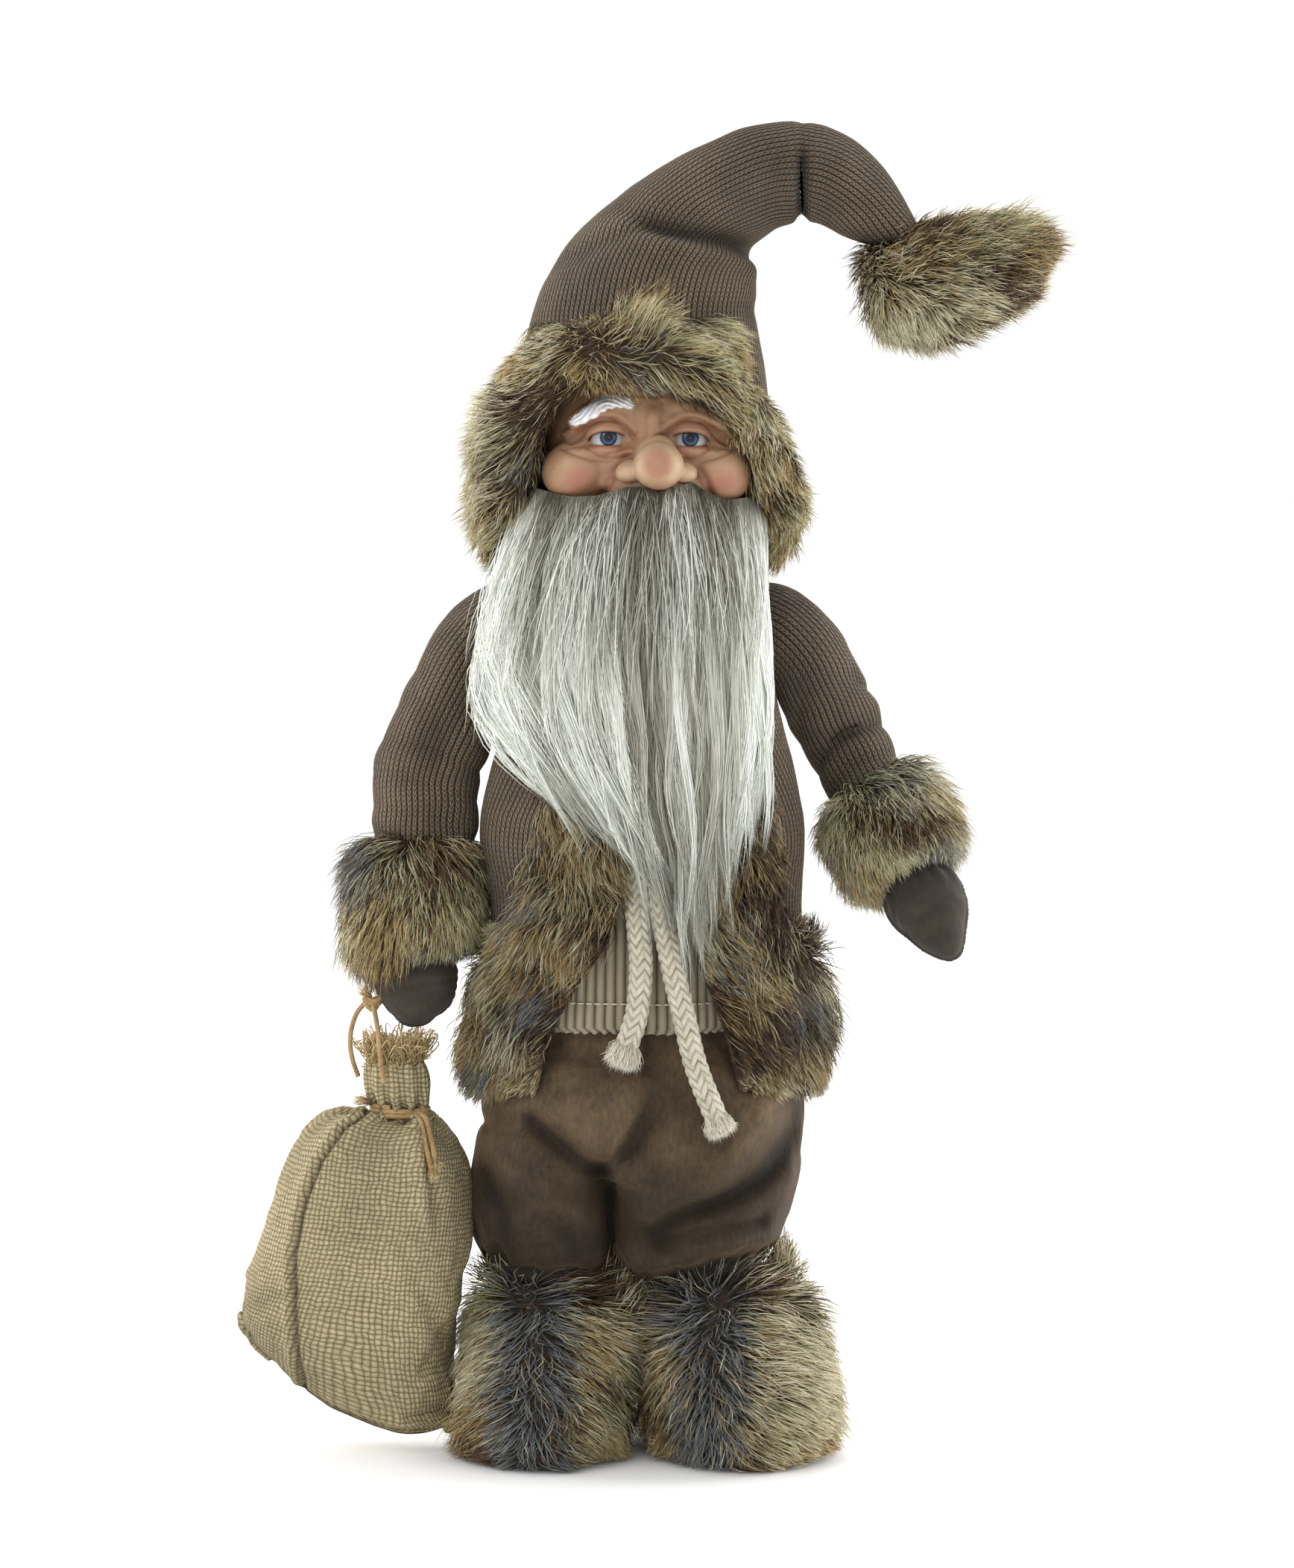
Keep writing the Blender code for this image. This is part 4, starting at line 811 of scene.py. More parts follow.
tone = spots(root, tone, [(-43, 410, 9, *CREAM, 0.8), (-32, 417, 7, *CREAM, 0.7), (-3, 430, 8, *GOLD, 0.7), (-20, 418, 7, *DARK, 0.8), (-29, 405, 6, *DARK, 0.8), (-20, 408, 6, *GOLD, 0.85), (-46, 410, 8, *GOLD, 0.8),
                          (-7, 404, 8, *SLATE, 0.45), (3, 416, 9, *OLIVE, 0.7), (18, 412, 10, *OLIVE, 0.7), (22, 421, 8, *CREAM, 0.6), (33, 404, 9, *OLIVE, 0.6), (12, 403, 7, *DARK, 0.35), (36, 419, 7, *GOLD, 0.6), (48, 402, 7, *DARK, 0.75),
                          (44, 388, 8, *CREAM, 0.5), (56, 376, 7, *DARK, 0.7), (52, 356, 9, *OLIVE, 0.7), (56, 342, 8, *GOLD, 0.7), (44, 360, 7, *DARK, 0.5), (-58, 394, 12, *CREAM, 0.9), (-54, 404, 8, *CREAM, 0.6), (-50, 380, 9, *OLIVE, 0.7), (-64, 366, 11, *CREAM, 0.85), (-64, 350, 10, *CREAM, 0.8), (-56, 384, 8, *CREAM, 0.6),
                          (-44, 372, 7, *SLATE, 0.4), (-52, 350, 8, *OLIVE, 0.6), (-50, 338, 9, *DARK, 0.75), (-62, 344, 8, *GOLD, 0.6)], rng)
strands("hat_brim_pile", root - normal * 0.8, normal, flow, length, 0.40, FUR, "figure", tone, lift=0.34, droop=0.10, wild=0.30,
        clumps=430, clump_pull=0.6, joints=3, seed=103)

# pom at the hat's tip
POM = np.array([(85, 0, 436.4, 7), (88, 0, 436.6, 14), (97, 0, 438, 17), (112, 0, 441.6, 18), (128, 0, 445.8, 15), (141, 0, 449.2, 10), (147, 0, 450.8, 5)], float)


def pom_fn(U, V):
    row = spline(POM, V)
    d = unit(np.array([63.0, 0, 14.6]))
    up = unit(np.array([-14.6, 0, 63.0]))
    t = 2 * np.pi * U
    return row[:, :3] + up * (row[:, 3] * np.cos(t))[:, None] + np.array([0, 1.0, 0]) * (row[:, 3] * np.sin(t))[:, None]


skin = Sheet(pom_fn, 30, 20).cap(0).cap(1).outward(lambda p: np.stack([np.clip(p[:, 0], 95, 135), 0 * p[:, 0], 442 + 0 * p[:, 0]], 1))
piece("hat_pom_skin", skin.mesh("hat_pom_skin"), SKIN_UNDER.m, "hat_tip", ["hat_pom"])
rng = np.random.default_rng(19)
root, normal, uv = skin.scatter(12400, rng)
hub = np.array([92.0, 0, 452.0])
lower = smooth(444, 428, root[:, 2]) * smooth(122, 96, root[:, 0])
flow = unit(root - hub) * 0.75 + np.array([0.55, 0, 0.28]) * (1 - lower)[:, None] + np.array([0.15, 0, -1.1]) * lower[:, None] + (fbm(root, 13, 107)[:, None] - 0.5) * np.array([0.9, 1.2, 1.6])
length = 12.5 + 8 * noise(root, 10, 12) - 6 * smooth(132, 150, root[:, 0]) - 1.0 * lower + 4 * smooth(446, 456, root[:, 2]) * smooth(112, 128, root[:, 0])
strands("hat_pom_pile", root - normal * 0.8, normal, flow, length, 0.42, FUR, "hat_tip", spots(root, fur_tone(root, 109, 0.88, rng), [(100, 448, 9, *DARK, 0.5), (120, 452, 10, *OLIVE, 0.6), (98, 428, 11, *CREAM, 0.8), (118, 436, 9, *CREAM, 0.55), (138, 450, 9, *GOLD, 0.5)], rng), lift=0.42, droop=0.18, wild=0.36,
        clumps=400, clump_pull=0.62, joints=3, seed=113)


# ------------------------------------------------------------------ knit
def mm_uv(sheet, scale=0.1, seam=0.5):
    """Lays the uv out in real cloth distance (1 = 10 mm), widths measured from the seam opposite."""
    cols = sheet.nu if sheet.closed else sheet.nu + 1
    grid = sheet.co[: cols * (sheet.nv + 1)].reshape(sheet.nv + 1, cols, 3)
    ring = np.concatenate([grid, grid[:, :1]], 1) if sheet.closed else grid
    girth = np.linalg.norm(np.diff(ring, axis=1), axis=2).sum(1)
    down = np.concatenate([[0], np.cumsum(np.linalg.norm(np.diff(grid, axis=0), axis=2).mean(1))])
    rows = np.arange(sheet.nv + 1) / sheet.nv
    v = sheet.uv[..., 1].copy()
    sheet.uv[..., 0] = (sheet.uv[..., 0] - seam) * np.interp(v, rows, girth) * scale
    sheet.uv[..., 1] = np.interp(v, rows, down) * scale
    sheet.um = (sheet.U - seam) * np.interp(sheet.V, rows, girth)
    sheet.vm = np.interp(sheet.V, rows, down)
    return sheet


def ribs(sheet, pitch=2.3, depth=0.7):
    """Raised wales as real ridges."""
    f = np.abs(np.sin(np.pi * sheet.um / pitch))
    return depth * (f ** 0.7 - 0.6)


def knit_material(name, dark, base, light, wale=0.23, course=0.19):
    m = Mat(name, 0.92, Specular_IOR_Level=0.25)
    m.b.inputs["Sheen Weight"].default_value = 0.12
    m.b.inputs["Sheen Roughness"].default_value = 0.5
    u, v = m.uv()
    wob = m.noise(m.uvv, 2.2, 2.0)
    v = m.math("ADD", v, m.math("MULTIPLY", wob, 0.05))
    x = m.math("MULTIPLY", u, 1 / wale)
    fx = m.math("ABSOLUTE", m.math("SUBTRACT", m.math("FRACT", x), 0.5))          # 0 mid wale, .5 between
    y = m.math("ADD", m.math("MULTIPLY", v, 1 / course), m.math("MULTIPLY", fx, 2.3))
    loop = m.math("SINE", m.math("MULTIPLY", m.math("FRACT", y), math.pi))
    loop = m.math("POWER", loop, 0.7)
    wall = m.math("SUBTRACT", 1.0, m.math("POWER", m.math("MULTIPLY", fx, 2.0), 3.0), clamp=True)
    mid = m.math("MULTIPLY", m.math("SUBTRACT", 0.16, fx, clamp=True), 1.8)
    h = m.math("SUBTRACT", m.math("MULTIPLY", wall, m.math("ADD", 0.40, m.math("MULTIPLY", loop, 0.60))), mid)
    fuzz = m.noise(m.position(), 1500.0, 3.0)
    tone = m.noise(m.position(), 42.0, 4.0)
    h2 = m.math("ADD", h, m.math("MULTIPLY", m.math("SUBTRACT", fuzz, 0.5), 0.5))
    # painted shade in the gaps between the loops and wales, lighter on the loops' tops
    c = m.ramp(h2, [(0.18, dark), (0.6, base), (1.0, light)])
    shade = m.ramp(tone, [(0.3, (0.72, 0.70, 0.68, 1)), (0.7, (1.12, 1.10, 1.06, 1))])
    m.colour(m.shaded(m.mix(1.0, c, shade, "MULTIPLY")))
    m.bump(h2, 0.0009, 0.95)
    m.roughness(m.ramp(fuzz, [(0.2, (0.8, 0.8, 0.8, 1)), (0.8, (0.98, 0.98, 0.98, 1))]))
    return m.m


KNIT = knit_material("rib_knit", lin(24, 19, 13), lin(72, 60, 46), lin(140, 123, 98))

# the stocking hat: outer silhouette point, inner silhouette point, half depth and middle in y
HAT_A = np.array([
    (-41.5, 316, 41.5, 316, 35, 7), (-46.5, 340, 46.5, 340, 40, 6), (-50, 358, 49, 358, 44.5, 4), (-50.0, 378, 48, 378, 46.5, 2.5), (-47.8, 398, 45, 400, 46, 1),
    (-45, 415, 41.8, 416, 43.8, 1), (-42.6, 427, 39.8, 429, 41.5, 1), (-38.2, 439, 38.8, 439, 38.4, 1), (-31.5, 450, 38.8, 446, 35, .8),
    (-21, 462, 39.8, 452, 31.5, .4), (-8.5, 473, 42.6, 456.8, 28, 0), (5.5, 482.6, 47.0, 460, 24.6, 0), (22, 491.4, 52.6, 462.4, 21.6, 0), (39, 497.4, 56.2, 463.8, 19, 0), (57.4, 499.4, 58.4, 464, 17.4, 0)], float)
HAT_B = np.array([
    (57.4, 499.4, 58.4, 464, 17.4, 0), (68, 497.8, 63, 463.4, 17.2, 0), (79, 492, 69, 460.8, 16, 0), (89, 482, 76.6, 457.2, 13.6, 0),
    (96.4, 470, 83, 454, 11, 0), (100.6, 459.4, 88.6, 452.4, 8, 0), (101.4, 451, 92, 448.6, 5.4, 0)], float)


def hat_fn(rows):
    def fn(U, V):
        ox, oz, ix, iz, depth, cy = spline(rows, V).T
        t = 2 * np.pi * U
        c, s = np.cos(t), np.sin(t)
        return np.stack([(ox + ix) / 2 + (ix - ox) / 2 * s, cy + depth * c, (oz + iz) / 2 + (iz - oz) / 2 * s], 1)
    return fn


def hat_folds(co):
    """Soft folds, the crease that runs across the front, and the pinch beside the seam."""
    x, y, z = co.T
    d = (fbm(co, 34, 131) - 0.5) * 3.4
    # crease across the front: the roll below it bulges over the part above
    s = z - np.interp(x, [-12, -5.7, 5.3, 17, 30.3, 37.6, 44], [464, 460.8, 456.8, 454.2, 452, 449.4, 447.6])
    inside = smooth(-13, 10, x) * smooth(12, -12, y)
    d = d + inside * (-5.4 * np.exp(-((s - 2.2) / 3.4) ** 2) + 2.6 * np.exp(-((s + 4.4) / 4.4) ** 2) + 1.4 * np.exp(-((s - 12) / 5.0) ** 2))
    # a second slack fold at the outer side
    t = np.clip((x + 36) / 40, 0, 1)
    s = z - (446 + 17 * t ** 0.8)
    side = smooth(-44, -34, x) * smooth(10, -6, x) * smooth(16, -4, y)
    d = d + side * (0.9 * np.exp(-((s - 3) / 4.5) ** 2) - 1.1 * np.exp(-((s + 2.2) / 3.0) ** 2)) * smooth(8, -14, y)
    # slack over the brim
    d = d + 1.5 * np.sin(z / 4.6 + 2.2 * noise(co, 30, 135)) * smooth(424, 434, z) * smooth(452, 440, z) * smooth(-6, 26, x)
    # pinch at the seam
    pull = np.exp(-((x - 58.2) / 2.1) ** 2)
    low = smooth(492, 484, z)
    fan = 0.9 * np.sin((np.abs(x - 58.2)) / 2.3) * np.exp(-np.abs(x - 58.2) / 9) * low
    d = d - 3.3 * pull * low * smooth(8, -2, y) - 0.7 * pull + fan
    return d


def knit_piece(name, sheet, body, replaces=(), folds=None, depth=0.42, material=None):
    shade = np.ones(1)
    if folds is not None:
        d = folds(sheet.co)
        sheet.displace(d)
        # painted shade in the folds' hollows and painted light on their ridges, kept for the knit's colour
        shade = np.clip(1.0 + 0.13 * (d - 0.2), 0.42, 1.16)
    mm_uv(sheet)
    sheet.displace(ribs(sheet, depth=depth))
    return piece(name, shade_by(sheet.mesh(name), shade), material or KNIT, body, replaces)


def hood_keep(co):
    z = np.array([r[0] for r in HOOD_FRONT[:-1]], float)
    y = np.array([r[1] for r in HOOD_FRONT[:-1]], float)
    limit = np.interp(co[:, 2], z, y)
    return (co[:, 1] > limit - 3.0) | (co[:, 2] > 419)


hat_a = Sheet(hat_fn(HAT_A), 520, 156, keep=hood_keep)
hat_a.outward(lambda p: np.stack([np.interp(p[:, 2], [325, 440, 470, 500], [0, 0, 20, 40]), 0 * p[:, 0], np.interp(p[:, 2], [325, 440, 500], [325, 440, 478])], 1))
hat_a = knit_piece("hat_knit", hat_a, None, folds=hat_folds)
tuple(W((2, 0, 447)))
tuple(W((36, 0, 470)))
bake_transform(hat_a)
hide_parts("hat_crown")
hat_b = Sheet(hat_fn(HAT_B), 200, 76)
hat_b.outward(lambda p: np.stack([np.interp(p[:, 0], [58, 80, 96], [58, 78, 94]), 0 * p[:, 0], np.interp(p[:, 0], [58, 80, 96], [481.6, 474, 455])], 1))
hat_b.cap(1)
hat_b = knit_piece("hat_knit_tip", hat_b, None, folds=hat_folds)
tuple(W((59.4, 0, 481.5)))
tuple(W((80, 0, 474)))
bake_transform(hat_b)
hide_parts("hat_middle", "hat_tip")
# sewn pinch: points down the fold where the dark thread runs; nothing is made from them
seam_line = np.array([(58.0, -16.4, 487.8), (58.3, -17.6, 484), (58.4, -17.2, 478), (58.4, -14.6, 471), (58.3, -9.4, 465.6)], float)


# sleeves: one line from the shoulder to the cuff, in two pieces that meet half way down the upper arm
def sleeve_line(hand):
    e = np.array(ELBOW[hand], float)
    axis = limb_axes(e, HAND_TIP[hand])[0]
    if hand == "left":
        upper = [(-40, 3, 315), (-52, 2, 311.5), (-63, 2, 302), (-73, 3, 285), (-81, 4.6, 268)]
    else:
        upper = [(36, 3, 315), (47, 3, 311.5), (57, 5, 302.5), (65, 13, 289), (70.6, 20.6, 277)]
    return np.array(upper + [tuple(e + axis * 5), tuple(e + axis * 19), tuple(e + axis * 34), tuple(e + axis * 44)], float)


SLEEVE_R = {"left": [13, 17.2, 17.4, 16.8, 16.8, 17.2, 17.0, 16.6, 15.2], "right": [13, 16.6, 16.6, 16.2, 15.6, 15.0, 14.8, 14.8, 14.4]}


def sleeve_folds(hand):
    e = np.array(ELBOW[hand], float)

    def fn(co):
        d = (fbm(co, 26, 141 if hand == "left" else 145) - 0.5) * 4.2
        inner = np.array([0.75, -0.55, 0.2]) if hand == "left" else np.array([0.25, -0.9, 0.3])
        rel = co - e
        dist = np.linalg.norm(rel, axis=1)
        facing = smooth(-0.3, 0.7, (unit(rel) * unit(inner)).sum(1))
        a = limb_axes(e, HAND_TIP[hand])[0]
        s = rel @ unit(a + np.array([0.25, 0.0, 0.0]) * (1 if hand == "right" else -1))
        amount = 2.6 if hand == "right" else 1.5
        d = d + amount * (np.abs(np.sin(s / 4.2 + 2.4 * noise(co, 24, 149))) - 0.45) * np.exp(-(dist / 24) ** 2) * (0.45 + facing)
        if hand == "left":
            d = d + 3.7 * smooth(0.3, 0.9, unit((co - np.stack([np.interp(co[:, 2], [225, 260, 302], [-86, -85, -63]), co[:, 1] * 0 + 3, co[:, 2]], 1)) * [1, 1, 0])[:, 0]) * smooth(222, 236, co[:, 2]) * smooth(288, 272, co[:, 2])
        # cloth pushed up over the cuff
        d = d + 1.5 * np.sin(s / 3.1) * smooth(20, 30, s) * smooth(48, 34, s) * 0.5
        return d
    return fn


for hand in ("left", "right"):
    line = sleeve_line(hand)
    radii = np.array(SLEEVE_R[hand], float)[:, None]
    cut_at = 3.2 / 8

    def part_fn(v0, v1, line=line, radii=radii):
        base = around(line, radii[:, 0], radii[:, 0] * 0.98)
        return lambda U, V: base(U + 0.25, v0 + (v1 - v0) * V)

    mid = lambda p, line=line: spline(line, np.linspace(0, 1, 160))[((p[:, None] - spline(line, np.linspace(0, 1, 160))[None]) ** 2).sum(2).argmin(1)]
    top = Sheet(part_fn(0.0, cut_at), 184, 76).outward(mid)
    low = Sheet(part_fn(cut_at, 1.0), 184, 120).outward(mid)
    top = knit_piece(f"sleeve_{hand}_upper_knit", top, None, folds=sleeve_folds(hand))
    low = knit_piece(f"sleeve_{hand}_lower_knit", low, None, folds=sleeve_folds(hand))
    s, e = SHOULDER[hand], ELBOW[hand]
    way = np.array(line[3] - line[1])
    tuple(W(line[1] * 0.75 + line[2] * 0.25))
    tuple(W(line[2] * 0.35 + line[3] * 0.65))
    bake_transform(top)
    tuple(W(line[4] * 0.8 + line[3] * 0.2))
    tuple(W(line[6]))
    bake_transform(low)
    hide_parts(f"sleeve_upper_{hand}")
    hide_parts(f"sleeve_lower_{hand}")


# the open jacket
def jacket_fn(U, V):
    z = 176 + (325 - 176) * V
    half = table(OPENING, z)[:, 0]
    angle = np.radians(half + (360 - 2 * half) * U)
    p = torso(angle, z, 8.4 + np.maximum(0, z - 280) * 0.08)
    return p


def jacket_folds(co):
    d = (fbm(co, 34, 151) - 0.5) * 3.0
    ang = np.arctan2(co[:, 0], -co[:, 1])
    d = d + 0.9 * np.sin(ang * 9 + 2 * noise(co, 60, 155)) * smooth(300, 250, co[:, 2]) * smooth(0.6, 1.2, np.abs(ang))
    # the cloth stands away from the trunk under the arms
    d = d + np.where(ang < 0, 5.9, 3.9) * smooth(0.75, 1.35, np.abs(ang)) * smooth(2.5, 1.9, np.abs(ang)) * smooth(200, 236, co[:, 2]) * smooth(300, 278, co[:, 2])
    return d


jacket = Sheet(jacket_fn, 470, 76, closed=False).outward(lambda p: p * [0, 0, 1])
jacket = knit_piece("jacket_knit", jacket, "figure", ["jacket"], folds=jacket_folds)


# the wide front band of the brim, which lies over the knit
def band_fn(U, V):
    return hat_fn(HAT_A)(0.745 - 0.49 * U, (4.5 + 1.25 * V) / 14)


band = Sheet(band_fn, 44, 8, closed=False).outward(lambda p: p * [0, 0, 1])
band.displace(np.full(len(band.U), 1.6))
rng = np.random.default_rng(511)
root, normal, uv = band.scatter(7400, rng)
ends = np.maximum(smooth(0.20, 0.07, uv[:, 0]), smooth(0.72, 0.85, uv[:, 0]))
held = (root[:, 2] < np.interp(root[:, 0], [8, 24, 34, 42], [445, 426, 419, 411])) & (rng.random(len(root)) > ends ** 2)
root, normal, uv, ends = root[held], normal[held], uv[held], ends[held]
to_right = np.where(root[:, 0] > -24 + rng.normal(0, 5.0, len(root)), 1.0, -1.0)
steep = smooth(14, 40, root[:, 0])
flow = np.stack([to_right * (0.95 - 0.83 * steep), np.full(len(root), -0.12), -0.42 - 0.7 * steep - 0.5 * (to_right < 0)], 1)
flow = flow + (fbm(root, 12, 513)[:, None] - 0.5) * np.array([1.6, 0.3, 2.4])
up_ = np.exp(-(((root[:, 0] + 5) / 6.0) ** 2)) * smooth(414, 421, root[:, 2]) 
flow = flow + np.array([0.1, -0.1, 2.0]) * up_[:, None]
length = (13 + 6 * noise(root, 9, 515) + 5 * up_) * (1 - 0.5 * ends)
tone = spots(root, fur_tone(root, 517, 0.84, rng), [(-38, 416, 9, *CREAM, 0.85), (-28, 420, 7, *CREAM, 0.8), (-20, 414, 7, *DARK, 0.9), (-24, 409, 6, *DARK, 0.8), (-12, 410, 6, *GOLD, 0.8), (-5, 419, 7, *GOLD, 0.75), (4, 412, 8, *OLIVE, 0.7),
                    (14, 420, 7, *CREAM, 0.6), (20, 411, 8, *OLIVE, 0.7), (29, 418, 7, *GOLD, 0.6), (34, 410, 7, *DARK, 0.5), (38, 418, 6, *DARK, 0.45)], rng)
strands("hat_brim_band_pile", root - normal * 0.6, normal, flow, length, 0.40, FUR, "figure", tone, lift=0.26, droop=0.05, wild=0.26,
        clumps=240, clump_pull=0.6, joints=3, seed=519)


# ------------------------------------------------------------------ beard
HAIR_LINE = ([-46, -40, -34, -27.7, -18, -7, -2, 4.5, 11, 17.3, 23.4, 29.5, 38, 44], [362.6, 363.2, 361.6, 360.4, 360.8, 364.0, 364.2, 362, 364.4, 365.6, 361.7, 359.0, 360.0, 357])


def cheek_round(z):
    return np.interp(z, [300, 345, 362], [0.0078, 0.0088, 0.0128])


def beard_surface(U, V, out=0.0):
    """Across u (0 at the left edge) and down v."""
    z = 366 - (366 - 192) * V
    rows = np.array(BEARD_ROWS, float)
    left, right, depth = table(rows, z).T
    x = left + (right - left) * U
    return np.stack([x, depth + cheek_round(z) * x * x - out, z], 1)


HAIR_UNDER = Mat("beard_backing", 0.85)
nn = HAIR_UNDER.noise(HAIR_UNDER.position(), 300.0, 3.0)
HAIR_UNDER.colour(HAIR_UNDER.ramp(nn, [(0.3, lin(66, 62, 52)), (0.7, lin(104, 100, 88))]))
HAIR_UNDER.bump(nn, 0.001, 0.6)
under = Sheet(lambda U, V: beard_surface(0.05 + 0.90 * U, 0.10 + 0.74 * V, 1.0), 30, 40, closed=False).outward(lambda p: p * [0, 0, 1])
piece("beard_backing", under.mesh("beard_backing"), HAIR_UNDER.m, "figure", ["beard"])

BEARD_TIP = np.array([17.0, -64.0, 194.0])


def beard_layer(name, count, z_lo, z_hi, out, reach, seed, spread=1.0, edge=None):
    """Long locks rooted across the chin: each heads for the point and stops at its own length."""
    rng = np.random.default_rng(seed)
    U = rng.random(count) if edge is None else edge(rng, count)
    zr = rng.uniform(z_lo, z_hi, count)
    V = (366 - zr) / (366 - 192)
    root = beard_surface(U, V, 0.0)
    # nothing grows above the line of the cheeks and nose
    over = np.maximum(0, root[:, 2] - np.interp(root[:, 0], *HAIR_LINE) + 0.3)
    root[:, 2] -= over
    zr = zr - over
    # where the lock ends: outline spot on the beard's lower edge
    lanes = 64
    lane = np.clip((U * lanes).astype(int) + rng.integers(-1, 2, count), 0, lanes - 1)
    lane_rng = np.random.default_rng(seed + 5)
    lane_u = (np.arange(lanes) + 0.5) / lanes + lane_rng.normal(0, 0.02, lanes)
    end_z = np.interp(lane_u, [0.0, 0.10, 0.2, 0.35, 0.5, 0.62, 0.74, 0.86, 0.95, 1.0], [252, 244, 235, 217, 203, 195, 198, 216, 236, 246]) + lane_rng.normal(0, 7, lanes)
    end_x = np.interp(lane_u, [0.0, 0.10, 0.2, 0.35, 0.5, 0.62, 0.74, 0.86, 0.95, 1.0], [-26, -18, -8, 7, 14.5, 18, 21, 28, 38, 43]) + lane_rng.normal(0, 2.2, lanes)
    frac = rng.uniform(reach[0], reach[1], count)
    zt = zr + (end_z[lane] - zr) * frac
    tx_full = end_x[lane] + rng.normal(0, 2.2 * spread, count)
    x0 = root[:, 0]
    n = 8
    t = np.linspace(0, 1, n + 1)[None]
    z = zr[:, None] + (zt - zr)[:, None] * t
    progress = (zr[:, None] - z) / np.maximum(zr - end_z[lane], 20)[:, None]
    # locks swell outward first, then gather
    belly = np.sin(np.pi * np.clip(progress, 0, 1)) * (np.where(x0 < 0, 0.42, 0.05) * x0)[:, None]
    late = np.where(x0 < 8, 2.3, 1.7)[:, None]
    x = x0[:, None] + (tx_full - x0)[:, None] * np.clip(progress, 0, 1) ** late + belly
    lane_phase = lane_rng.uniform(0, 6.28, lanes)[lane]
    lane_amp = lane_rng.uniform(1.2, 4.0, lanes)[lane]
    wave = lane_rng.uniform(0.05, 0.11, lanes)[lane]
    x = x + (lane_amp * (np.clip(progress, 0, 1.1) ** 0.55).T).T * np.sin(wave[:, None] * (z - 300) + lane_phase[:, None])
    x = x + rng.normal(0, 1.0, (count, 1)) * np.sin(z / 17 + rng.uniform(0, 6.28, (count, 1))) * 0.8
    # gather strands of a lock towards its line
    pull = 0.74 * np.clip(progress, 0, 1) ** 1.1
    lane_x = np.zeros(lanes)
    np.add.at(lane_x, lane, x0)
    lane_x /= np.maximum(np.bincount(lane, minlength=lanes), 1)
    core_x = lane_x[lane][:, None] + (end_x[lane] - lane_x[lane])[:, None] * np.clip(progress, 0, 1) ** late + np.sin(np.pi * np.clip(progress, 0, 1)) * (np.where(lane_x < 0, 0.42, 0.05) * lane_x)[lane][:, None]
    core_x = core_x + (lane_amp * (np.clip(progress, 0, 1.1) ** 0.55).T).T * np.sin(wave[:, None] * (z - 300) + lane_phase[:, None])
    x = x * (1 - pull) + core_x * pull
    depth = np.interp(z, [r[0] for r in BEARD_ROWS], [r[3] for r in BEARD_ROWS])
    lane_out = lane_rng.uniform(0, 3.4, lanes)[lane][:, None]
    sway = rng.uniform(-1, 1, (count, 1)) * 1.5
    y = depth + cheek_round(z) * np.minimum(x * x, 3600) - out * np.sin(np.pi * np.clip(0.08 + progress * 0.75, 0, 1)) - lane_out * np.sin(np.pi * np.clip(progress, 0, 1)) - 1.0 + sway * np.clip(progress, 0, 1)
    path = np.stack([x, y, z], 2)
    path[:, 0] = root + np.array([0, -0.2, 0])
    return path, lane, rng


def laid(name, path, width, tone, seed, material, body, profile=(0.8, 1.0, 0.85, 0.0)):
    """Ready paths made into tapered strands."""
    n, m = path.shape[:2]
    holder = {}
    root = path[:, 0]
    up = np.tile([0.0, -1.0, 0.0], (n, 1))
    return strands(name, root, up, np.tile([0, 0, -1.0], (n, 1)), 1.0, width, material, body, tone, joints=m - 1, seed=seed,
                   end_point=lambda p, t, path=path: path)


for k, (label, count, z_lo, z_hi, out, reach, spread) in enumerate([
        ("back", 4100, 300, 356, 1.0, (0.55, 1.02), 1.6),
        ("middle", 4300, 324, 364, 3.6, (0.62, 1.04), 1.2),
        ("front", 4300, 342, 366, 6.4, (0.45, 1.06), 1.0)]):
    path, lane, rng = beard_layer(label, count, z_lo, z_hi, out, reach, 201 + k, spread)
    lane_tone = 0.45 * np.random.default_rng(230 + k).uniform(0.0, 1.0, 64)[lane] + 0.55 * np.interp(lane / 64 * 17, np.arange(18), [0.9, 0.8, 0.2, 0.75, 0.9, 0.55, 0.85, 0.35, 0.1, 0.2, 0.8, 0.9, 0.25, 0.7, 0.3, 0.85, 0.95, 0.9])
    edge_u = np.abs(path[:, 0, 0]) / 45
    middle_ = np.exp(-((path[:, 0, 0] - 2) / 20) ** 2)
    # painted shade: the back layer and the beard's middle darker; strands also lighter towards the outer edges
    tone = np.clip(0.03 + 0.60 * smooth(0.30, 0.76, lane_tone) + 0.30 * rng.random(len(path)) + 0.34 * smooth(0.45, 1.0, edge_u) - 0.10 * middle_ + (-0.16, -0.02, 0.03)[k], 0.02, 0.98)
    laid(f"beard_{label}", path, 0.52, tone, 240 + k, BEARD, "figure")

